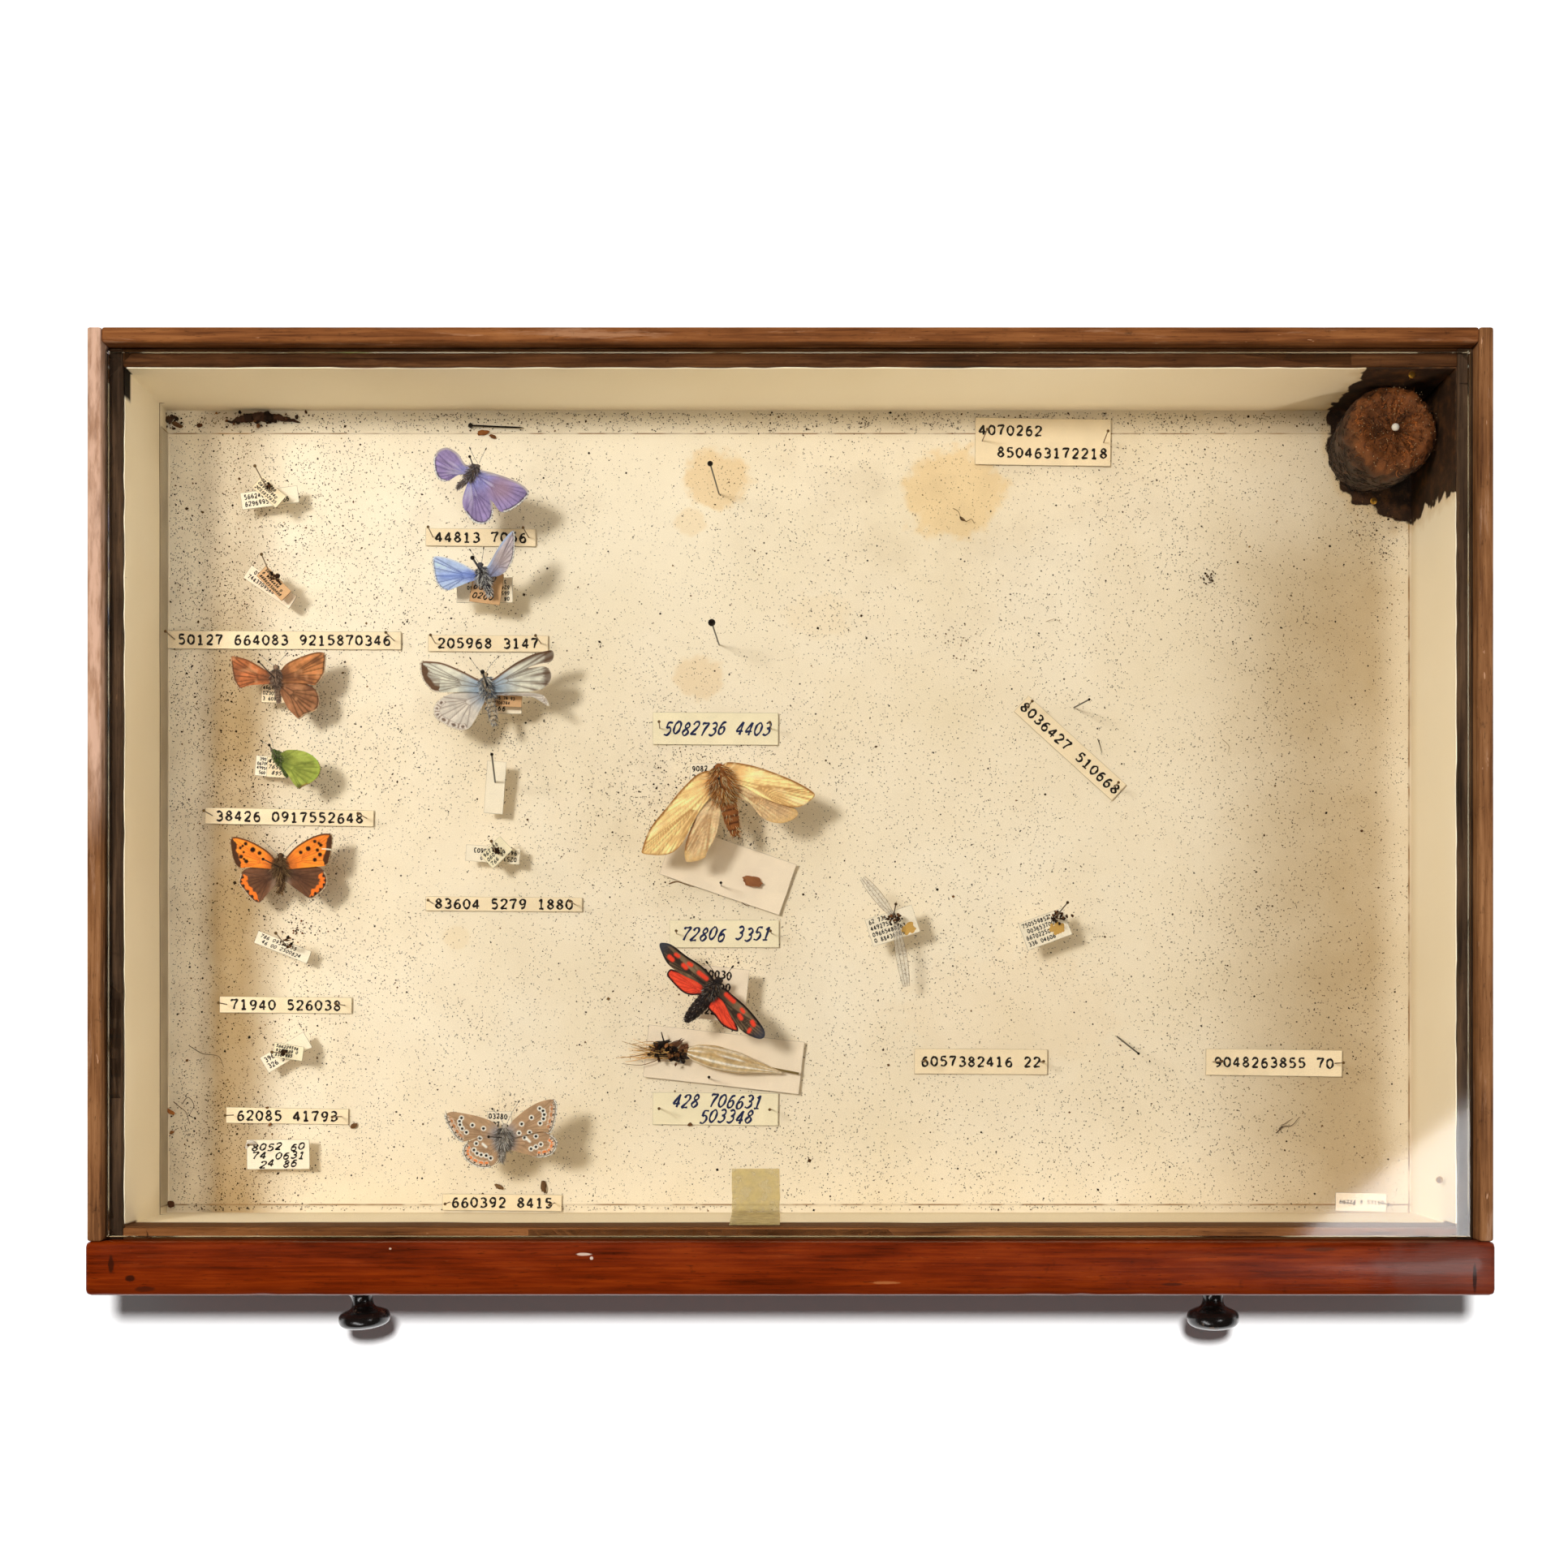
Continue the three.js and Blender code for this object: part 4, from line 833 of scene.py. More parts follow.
DATA_LABELS = [  # foot and head of the pin, then cards: x, y, length, width, turn, z, colour, tip
    ((-141.0, 95.6), (-138.0, 96.4), [(-140.2, 94.4, 15.5, 4.5, 7.7, 17, WHITE_CARD, (0, 0.05)),
                                      (-139.6, 95.2, 8.7, 4.2, -41, 20.5, PEACH, (0.05, 0))]),
    ((-139.9, 71.2), (-136.3, 73.6), [(-140.1, 70.3, 15, 4.1, -34.4, 17, PINKISH, (0.03, 0.05)),
                                      (-138.3, 70.6, 9.6, 3.8, -45.5, 20.5, ORANGE_CARD, (0, 0.05))]),
    ((-136.4, -27.4), (-132.6, -24.1), [(-136.7, -26.9, 15.1, 3.5, -21.8, 17, WHITE_CARD, (-0.06, 0))]),
    ((-137.2, -55.6), (-133.6, -54.8), [(-135.8, -55.3, 13.7, 4.8, 30.7, 17, WHITE_CARD, (0.02, 0)),
                                        (-134.4, -55.1, 8, 3.9, -9, 20.5, PALE_YELLOW, (0, 0.05))]),
    ((-80.0, 16.6), (-76.9, 22.0), [(-79.4, 16.2, 5.2, 14, -5, 17, WHITE_CARD, (0.02, 0.09))]),
    ((-79.8, -2.0), (-77.0, -0.4), [(-80.0, -1.9, 14.6, 4.4, -4.3, 17, WHITE_CARD, (0, 0.04)),
                                    (-78.6, -1.6, 7.4, 5, 44, 20.5, PALE_YELLOW, (0.04, 0))]),
]


REMAINS_SPREAD = (0.35, 1.0, 0.9, 0.35, 0, 0.4)  # of the crumbs on each of those pins


def along_pin(foot, head, z):
    """The place on the plan where a leaning pin passes the height z."""
    share = (z - PAPER_TOP) / (PIN_TOP - PAPER_TOP)
    return foot[0] + (head[0] - foot[0]) * share, foot[1] + (head[1] - foot[1]) * share


def crumbs(shape, place, count, reach, size, tints, rng):
    """A loose heap of small crumbs round a place."""
    for _ in range(count):
        offset = rng.normal(0, 1, 3) * np.asarray(reach)
        radii = size * rng.uniform(0.4, 1.2) * rng.uniform(0.6, 1.3, 3)
        tint = np.asarray(tints[rng.integers(len(tints))]) * rng.uniform(0.7, 1.2)
        ball(shape, np.asarray(place) + offset, radii, np.clip(tint, 0, 255), "crumb", 4, 5, 0.35,
             rng.normal(size=3), int(rng.integers(99)))


def build_data_labels():
    rng = np.random.default_rng(31)
    for index, (foot, head, cards) in enumerate(DATA_LABELS):
        shape = Shape()
        bare = index == 4
        for level, (x, y, length, width, turn, z, tint, tip) in enumerate(cards):
            seed = index * 7 + level
            spot = card(shape, x, y, length, width, turn, z, tint, 0.2, 0.1, tip=tip, seed=seed)
            hand = level == 1 or index == 2
            if not bare:
                small_print(shape, spot, length, width, 2 if level == 0 else 3, seed + 200, INK, hand,
                            flip=index == 5 and level == 0)
        pin(shape, foot, head, head_radius=0.45, tint=PIN_COLOR if bare else BRASSY,
            radius=0.24 if bare else 0.17)
        if not bare:
            x, y = along_pin(foot, head, 23)
            spread = REMAINS_SPREAD[index]
            crumbs(shape, (x + 0.6, y + 0.3, 22.4), 14, (spread, spread * 0.8, 0.5), 0.5,
                   ((60, 40, 28), (84, 56, 36), (38, 28, 22)), rng)
        node = f"data_label_pin_{index + 1}"
        shape.piece(f"{node}.cards", "white_card", [node])


def build_cards():
    shape = Shape()
    spot = card(shape, -16.7, -5.6, 34.5, 14.6, -19, PAPER_TOP + 1, PINKISH, 0.5, 0.3, seed=80)
    pin(shape, (-18.5, -10.1), (-18.3, -9.9), 24, 0.4, radius=0.16)
    x, y, z = spot(7.4, -1.0)
    pupa_way = (0.96, -0.25, 0.02)
    ball(shape, (x, y, z + 1.1), (1.7, 1.4, 2.7), (158, 102, 66), "crumb", 12, 16, 0.3, pupa_way, 5)
    shape.piece("moth_card.card", "white_card", ["moth_card"])
    shape = Shape()
    card(shape, -17.8, -57.3, 42.6, 14.3, -6.4, PAPER_TOP + 1, PINKISH, 0.4, 0.3, seed=81)
    pin(shape, (-21.8, -62.6), (-21.5, -61.8), 24, 0.4, radius=0.16)
    shape.piece("cocoon_card.card", "white_card", ["cocoon_card"])


LONE_PINS = [((-19.1, 96.8), (-20.6, 97.0), 44, 0.75), ((-19.1, 55.7), (-20.3, 56.7), 40, 1.0),
             ((77.6, 38.6), (78.3, 37.3), 36, 0.36), ((89.3, -51.0), (91.2, -55.3), 36, 0.36)]


def build_lone_pins():
    for index, (foot, head, top, head_radius) in enumerate(LONE_PINS):
        shape = Shape()
        pin(shape, foot, head, top, head_radius, (40, 34, 30))
        shape.piece(f"lone_pin_{index + 1}.steel", "pin_steel", [f"lone_pin_{index + 1}"])
    shape = Shape()
    z = PAPER_TOP + PIN_HEAD
    tube(shape, [(-86.8, 115.4, z), (-80, 115.1, z), (-73.6, 114.85, z), (-72.4, 114.8, z)],
         [0.25, 0.25, 0.22, 0.06], 8, (34, 28, 25), "pin")
    ball(shape, (-86.8, 115.4, z), PIN_HEAD, (34, 28, 25), "pin", 6, 10)
    shape.piece("lying_pin.steel", "pin_steel", ["lying_pin"])


# ---- the box ----
def board(name, slot, low, high, skin, along, bevel=0.7, dents=0.25, seed=0):
    """A board with rounded, slightly knocked edges that stands for the CAD node of its name."""
    low, high = np.asarray(low, float), np.asarray(high, float)
    cuts = [np.array((0, bevel * 0.35, bevel, span - bevel, span - bevel * 0.35, span))
            for span in high - low]
    span = (high - low)[along]
    slices = 90
    cuts[along] = np.concatenate(([0, bevel * 0.35, bevel], np.linspace(bevel, span - bevel, slices)[1:-1],
                                  [span - bevel, span - bevel * 0.35, span]))
    points, index = [], {}
    faces = []

    def point(i, j, k):
        key = (i, j, k)
        if key not in index:
            place = np.array((cuts[0][i], cuts[1][j], cuts[2][k]))
            inner = np.clip(place, bevel, high - low - bevel)
            out = place - inner
            away = np.linalg.norm(out)
            if away > 0 and np.count_nonzero(np.abs(out) > 1e-6) > 1:
                reach = bevel if np.max(np.abs(out)) > bevel - 1e-6 else away
                out = out / away * min(reach, bevel)
            knock = dents * max(0, mottle(place[along] + seed * 31, (i + j + k) * 0.02, 3.0, seed) - 0.62) * 2
            near_edge = np.count_nonzero(np.abs(out) > 1e-6) > 1
            if near_edge:
                out = out * (1 - knock)
            index[key] = len(points)
            points.append(low + inner + out)
        return index[key]

    sizes = [len(c) - 1 for c in cuts]
    for axis in range(3):
        first, second = [a for a in range(3) if a != axis]
        for side in (0, sizes[axis]):
            for a in range(sizes[first]):
                for b in range(sizes[second]):
                    corners = []
                    for da, db in ((0, 0), (1, 0), (1, 1), (0, 1)):
                        key = [0, 0, 0]
                        key[axis], key[first], key[second] = side, a + da, b + db
                        corners.append(point(*key))
                    outward = (side > 0) != (axis == 1)
                    faces.append(tuple(corners if outward else reversed(corners)))
    shape = Shape()
    shape.put(points, faces, WHITE, skin)
    shape.piece(f"{name}.wood", slot, [name], 50)


def build_boards():
    looks = {  # node: slot, material, long axis, bevel, dents
        "front_board": ("polished_wood", "mahogany", 0, 1.5, 0.3),
        "back_board": ("brown_wood", "lip_long", 0, 0.7, 0.5),
        "side_board_left": ("brown_wood", "lip_side", 1, 0.7, 0.5),
        "side_board_right": ("brown_wood", "lip_side", 1, 0.7, 0.5),
        "bottom_board": ("brown_wood", "lip_long", 0, 0.5, 0.2),
        "fillet_left": ("dark_wood", "ledge_side", 1, 0.4, 0.4),
        "fillet_right": ("dark_wood", "ledge_side", 1, 0.4, 0.4),
        "fillet_back": ("brown_wood", "ledge_long", 0, 0.4, 0.4),
        "fillet_front": ("brown_wood", "ledge_front", 0, 0.4, 0.4),
        "cork_bed": ("cork", "cork", 0, 0.3, 0.2),
    }
    for seed, (node, (slot, skin, along, bevel, dents)) in enumerate(looks.items()):
        low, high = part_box(node)
        board(node, slot, low / MM, high / MM, skin, along, bevel, dents, seed)


def build_papers():
    shape = Shape()
    x, y = np.meshgrid(np.linspace(-FILLET_X, FILLET_X, 120), np.linspace(FILLET_FRONT, FILLET_BACK, 80))
    z = PAPER_TOP - 0.02 - 0.12 * mottle(x, y, 40, 2)
    slab(shape, np.stack([x, y, z], axis=-1), PAPER_THICK, WHITE, "floor_paper")
    shape.piece("floor_paper.sheet", "lining_paper", ["floor_paper"])

    # A second sheet lies on the floor and turns up a little against the left wall.
    shape = Shape()
    left, right, front, back = -WALL_X + PAPER_THICK, 169.3, -97.2, 113.6
    rising, level = 6, 110  # columns of points
    climb = np.concatenate([np.linspace(7, 0.4, rising), np.zeros(level)])
    across = np.concatenate([np.full(rising, left), np.linspace(left + 0.5, right, level)])
    down = np.linspace(front, back, 90)
    u, v = np.meshgrid(across, down)
    lift = np.tile(climb, (len(down), 1)) + PAPER_TOP + 0.05 + 0.12 * mottle(u, v, 24, 5)
    wander = 0.5 * (mottle(v * 0, v, 22, 3) - 0.5)
    u = np.where(np.tile(climb, (len(down), 1)) > 0, u + 0.15 + wander * 0.3, u)
    edge = slope_step(v, back - 3, back) + slope_step(-v, -front - 3, -front)
    lift = lift + 0.25 * edge * mottle(u, v, 14, 9)
    slab(shape, np.stack([u, v, lift], axis=-1), 0.12, WHITE, "floor_paper")
    shape.piece("floor_sheet", "lining_paper")

    build_wall_paper()


def build_wall_paper():
    """The strip round the inner walls, with a slightly wavy face and a torn upper edge."""
    shape = Shape()
    corners = [(-WALL_X, WALL_FRONT), (WALL_X, WALL_FRONT), (WALL_X, WALL_BACK), (-WALL_X, WALL_BACK)]
    ring = []
    for (ax, ay), (bx, by) in zip(corners, corners[1:] + corners[:1]):
        steps = int(math.hypot(bx - ax, by - ay) / 2.5)
        ring += [(ax + (bx - ax) * s / steps, ay + (by - ay) * s / steps) for s in range(steps)]
    ring = np.array(ring)
    count = len(ring)
    half_depth = 110.0
    heights = [PAPER_TOP - 0.1, PAPER_TOP + 1.5, 20, 30, 40, 48, WALL_TOP]
    inner, outer = [], []
    for level, height in enumerate(heights):
        along = np.arange(count) * 2.5
        wave = 0.22 * mottle(along, np.full(count, height), 16, 4) * (0 < level < 6)
        toward = ring * (1 - wave[:, None] / np.array((WALL_X, half_depth)))
        top = height - (0.9 * mottle(along, along * 0, 5, 6) if level == len(heights) - 1 else 0)
        inner.append(np.column_stack([toward, np.broadcast_to(top, count)]))
        sign = np.where(np.abs(np.abs(ring[:, 0]) - WALL_X) < 0.01, np.sign(ring[:, 0]) * PAPER_THICK, 0)
        low_side = np.abs(ring[:, 1] - WALL_FRONT) < 0.01
        high_side = np.abs(ring[:, 1] - WALL_BACK) < 0.01
        back = ring + np.column_stack([sign, high_side * PAPER_THICK - low_side * PAPER_THICK])
        outer.append(np.column_stack([back, np.broadcast_to(top, count)]))
    points = np.vstack(inner + outer)
    rows = len(heights)
    faces = []
    for r in range(rows - 1):
        for i in range(count):
            j = (i + 1) % count
            a, b, c, d = r * count + i, r * count + j, (r + 1) * count + j, (r + 1) * count + i
            faces.append((b, a, d, c))
            faces.append(tuple(rows * count + k for k in (a, b, c, d)))
    for i in range(count):
        j = (i + 1) % count
        faces.append((i, j, rows * count + j, rows * count + i))
        a, b = (rows - 1) * count + i, (rows - 1) * count + j
        faces.append((b, a, rows * count + a, rows * count + b))
    shape.put(points, faces, WHITE, "wall_paper")
    shape.piece("wall_paper.strip", "lining_paper", ["wall_paper"])


def build_glass():
    low, high = (np.array(corner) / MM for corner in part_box("glass_pane"))
    shape = Shape()
    bevel = 0.25
    outline = [(low[0], low[1], 1, 1), (high[0], low[1], -1, 1), (high[0], high[1], -1, -1),
               (low[0], high[1], 1, -1)]  # each corner, and the way from it into the pane
    rings = []
    for inset, z in ((bevel, low[2]), (0, low[2] + bevel), (0, high[2] - bevel), (bevel, high[2])):
        ring = []
        for (x, y, ox, oy), (nx, ny, nox, noy) in zip(outline, outline[1:] + outline[:1]):
            a = np.array((x + ox * inset, y + oy * inset))
            b = np.array((nx + nox * inset, ny + noy * inset))
            steps = int(np.linalg.norm(b - a) / 2)
            for s in range(steps):
                place = a + (b - a) * s / steps
                chip = 0.35 * max(0, float(mottle(place[0] + place[1], 0, 1.7, 5)) - 0.7)
                ring.append((*(place * (1 - chip / FILLET_X * (0 < s))), z))
        rings.append(ring)
    count = len(rings[0])
    points = np.array(rings).reshape(-1, 3)
    shape.put(points, ring_faces(len(rings), count), WHITE, "glass_edge")
    shape.faces.append(tuple(reversed(range(count))))
    shape.faces.append(tuple(range(3 * count, 4 * count)))
    shape.skins.extend(["glass_under", "glass"])
    shape.piece("glass_pane.clear", "pane", ["glass_pane"], 20)


def build_tape():
    """Old tape from the floor up the front wall, with a milky film and a wavy edge."""
    shape = Shape()
    path = [(TAPE_INNER, PAPER_TOP + 0.35), (-92, PAPER_TOP + 0.4), (-97.6, PAPER_TOP + 0.45),
            (-98.6, PAPER_TOP + 1.5), (-98.75, 25), (-98.7, 40), (-98.72, 50.4)]
    path = smooth_line(path, 4)
    grid = []
    for y, z in path:
        row = []
        for x in np.linspace(TAPE_LEFT, TAPE_RIGHT, 9):
            edge = 0.25 * (mottle(y, z, 2.5, 3) - 0.5) * (x < -15 or x > -3)
            row.append((x + edge, y, z))
        grid.append(row)
    grid = np.array(grid)[:, ::-1]
    slab(shape, grid, np.array((0, TAPE_THICK, TAPE_THICK)), (232, 212, 150), "tape")
    shape.piece("tape.film", "tape_film", ["tape"])


KNOB_PROFILE = [  # radius and distance out from the board
    (0, -7.5), (1.1, -7.5), (1.1, 0), (6.1, 0.05), (6.2, 0.5), (6.0, 1.2), (4.4, 1.75), (3.1, 2.5),
    (2.7, 4.4), (3.3, 6.1), (5.0, 6.9), (6.35, 7.7), (6.8, 9.2), (6.4, 10.8), (5.0, 11.8), (2.6, 12.35),
    (0, 12.5),
]


def build_knobs():
    profile = np.vstack([KNOB_PROFILE[:3], smooth_line(KNOB_PROFILE[3:], 3)])
    sides = 48
    turns = np.arange(sides) * 2 * math.pi / sides
    for node, x, stretch, lean, gap in (("knob_right", KNOB_X[1], 1.0, 0, 0),
                                        ("knob_left", KNOB_X[0], 0.91, KNOB_LEAN, KNOB_GAP)):
        rows = []
        for radius, out in profile[1:-1]:
            rows.append(np.column_stack([radius * np.cos(turns), np.full(sides, -out * stretch),
                                         radius * np.sin(turns)]))
        first, last = profile[0], profile[-1]
        points = np.vstack([[(0, -first[1] * stretch, 0)]] + rows + [[(0, -last[1] * stretch, 0)]])
        faces = pole_faces(len(rows), sides)
        angle = math.radians(lean)
        turn = np.array(((math.cos(angle), -math.sin(angle), 0), (math.sin(angle), math.cos(angle), 0),
                         (0, 0, 1)))
        shape = Shape()
        shape.put(points @ turn.T + np.array((x, KNOB_FACE - gap, KNOB_HEIGHT)), faces, WHITE, "lacquer")
        shape.piece(f"{node}.turned", "ebonised", [node], 50)


def build_pad():
    """The wad of preservative fibre, with loose strands, and its pearl-headed pin."""
    rng = np.random.default_rng(5)
    rise = PAD_TOP - PAPER_TOP
    profile = smooth_line([(10.0, 0), (11.2, rise * 0.3), (11.9, rise * 0.68), (11.4, rise * 0.88),
                           (9.2, rise * 0.985), (6.6, rise * 0.955), (3.5, rise * 0.93),
                           (0.4, rise * 0.935)], 5)
    sides = 90
    turns = np.arange(sides) * 2 * math.pi / sides
    rings = []
    tints = []
    for radius, up in profile:
        rough = mottle(turns * 9 + radius * 0.3, np.full(sides, up * 0.6), 1.0, 3)
        rough = rough + 0.5 * mottle(turns * 25, np.full(sides, up * 1.6), 1.0, 7)
        size = radius * (1 + 0.035 * (rough - 0.75) * 2)
        height = up + 0.9 * (rough - 0.75) * (up > 3)
        rings.append(np.column_stack([PAD[0] + size * np.cos(turns), PAD[1] + size * np.sin(turns),
                                      PAPER_TOP + height]))
        # Painted light: the top of the pad, inside its rim, is painted lighter than its sides.
        glow = np.full(sides, float(slope_step(radius, 12.3, 10.6) * slope_step(up, rise * 0.6, rise * 0.8)))
        base = np.array((48, 31, 22)) + np.outer(rough - 0.5, (44, 25, 13)) + np.outer(glow, (60, 32, 10))
        tints.append(base)
    rows = len(rings)
    points = np.vstack(rings + [[(PAD[0], PAD[1], PAPER_TOP)]])
    colors = np.vstack(tints + [[(60, 36, 20)]])
    faces = ring_faces(rows, sides)
    faces.append(tuple((rows - 1) * sides + i for i in range(sides)))
    faces += [(i, len(points) - 1, (i + 1) % sides) for i in range(sides)]
    shape = Shape()
    shape.put(points, faces, np.clip(colors, 0, 255), "straw")
    strands, specks = 1500, 150
    for index in range(strands):
        on_top = index % 5 < 3
        if on_top:
            start = rng.uniform(0, 2 * math.pi)
            far = 11.0 * math.sqrt(rng.uniform(0.02, 1))
            heading = rng.uniform(0, 2 * math.pi)
            reach = rng.uniform(0.7, 2.2)
            path = []
            for s in np.linspace(0, 1, 4):
                u = far * math.cos(start) + reach * s * math.cos(heading + s)
                v = far * math.sin(start) + reach * s * math.sin(heading + s)
                dome = np.interp(math.hypot(u, v), (0, 3.5, 6.6, 9.2, 11.4),
                                 (0.935, 0.93, 0.955, 0.985, 0.89))
                path.append((PAD[0] + u, PAD[1] + v, PAPER_TOP + dome * rise + rng.uniform(-0.1, 0.45)))
            # Painted light: strands on the top are lighter inside the rim.
            inner = slope_step(far, 12.0, 10.4)
            clump = mottle(far * math.cos(start), far * math.sin(start), 2.6, 12)
            tint = np.array((54, 35, 24)) + inner * np.array((82, 43, 13)) * (0.25 + 1.1 * clump)
        else:
            start = rng.uniform(0, 2 * math.pi)
            height = rng.uniform(0, rise * 0.93)
            climb = rng.uniform(-4, 4)
            path = []
            for s in np.linspace(0, 1, 4):
                up = np.clip(height + climb * s, 0.2, rise * 0.95)
                radius = np.interp(up / rise, (0, 0.3, 0.68, 0.88, 0.98), (10.0, 11.2, 11.9, 11.4, 9.6)) + 0.3
                turn = start + s * rng.uniform(-0.1, 0.25)
                path.append((PAD[0] + radius * math.cos(turn), PAD[1] + radius * math.sin(turn),
                             PAPER_TOP + up))
            # Painted light: strands on the side are lighter towards the top.
            tint = np.array((48, 34, 27)) + slope_step(height, rise * 0.6, rise * 0.9) * np.array((30, 15, 6))
        tint = tint * rng.uniform(0.55, 1.35)
        path = np.minimum(path, (169.2, 119.2, 60))
        tube(shape, path, [0.13, 0.12, 0.1, 0.04], 3, np.clip(tint, 0, 255), "straw")
    for _ in range(specks):
        far, start = 11.4 * math.sqrt(rng.uniform(0, 1)), rng.uniform(0, 2 * math.pi)
        place = (PAD[0] + far * math.cos(start), PAD[1] + far * math.sin(start),
                 PAD_TOP - 0.4 + rng.uniform(0, 0.5))
        tint = np.array((214, 186, 146)) * rng.uniform(0.6, 1.1)
        ball(shape, place, (0.13, 0.13, 0.1), tint, "crumb", 3, 4)
    ball(shape, (PAD[0], PAD[1], PAD_TOP + 0.2), (1.05, 1.05, 0.9), (236, 228, 214), "pearl", 8, 12)
    pad = shape.piece("preservative_pad.fibre", "fibre", ["preservative_pad"])


# ---- wings ----
def gap_to(points, a, b):
    """How far along the line from a to b each point is, from 0 to 1, and how far from it."""
    way = b - a
    t = np.clip(((points - a) @ way) / (way.dot(way) + 1e-12), 0, 1)
    return t, np.linalg.norm(points - (a + t[:, None] * way), axis=1)


class Patch:
    """The points of a wing that its paint works on, as arrays: x and y from the thorax, edge, the distance
    to the outline, rim, the place along the hind edge from 0 to 1 or -1 off it, root, the distance from
    the wing's root, out, the same as a share of the longest, and angle, the way there from the root."""

    def __init__(self, points, outline, marks, hem):
        self.x, self.y = points[:, 0], points[:, 1]
        best = np.full(len(points), 1e9)
        spot = np.zeros(len(points))
        count = len(outline)
        for i in range(count):
            t, gap = gap_to(points, outline[i], outline[(i + 1) % count])
            mark = marks[i] + t * (marks[1] - marks[0])
            nearer = gap < best
            best = np.where(nearer, gap, best)
            spot = np.where(nearer, mark, spot)
        self.edge = best
        first, last = hem
        self.mark = spot
        self.rim = np.where((spot >= first) & (spot <= last), (spot - first) / (last - first), -1)
        self.on_rim = self.rim >= 0
        middle = (outline[0] + outline[-1]) / 2
        self.root = np.hypot(self.x - middle[0], self.y - middle[1])
        self.out = self.root / self.root.max()
        self.angle = np.arctan2(self.y - middle[1], self.x - middle[0])

    def near(self, x, y, radius, soft=0.12):
        return slope_step(np.hypot(self.x - x, self.y - y), radius + soft, radius - soft)

    def bar(self, a, b, radius, soft=0.12):
        """How close points are to the line from a to b."""
        gap = gap_to(np.stack([self.x, self.y], axis=1), np.asarray(a, float), np.asarray(b, float))[1]
        return slope_step(gap, radius + soft, radius - soft)

    def beads(self, count):
        """The distance from the middle of the nearest of count beads along the hind edge, up to 0.5."""
        return np.abs(np.modf(np.clip(self.rim, 0, 1) * count)[0] - 0.5)


def over(base, color, mask):
    return base + (linear(color) - base) * np.asarray(mask)[:, None]


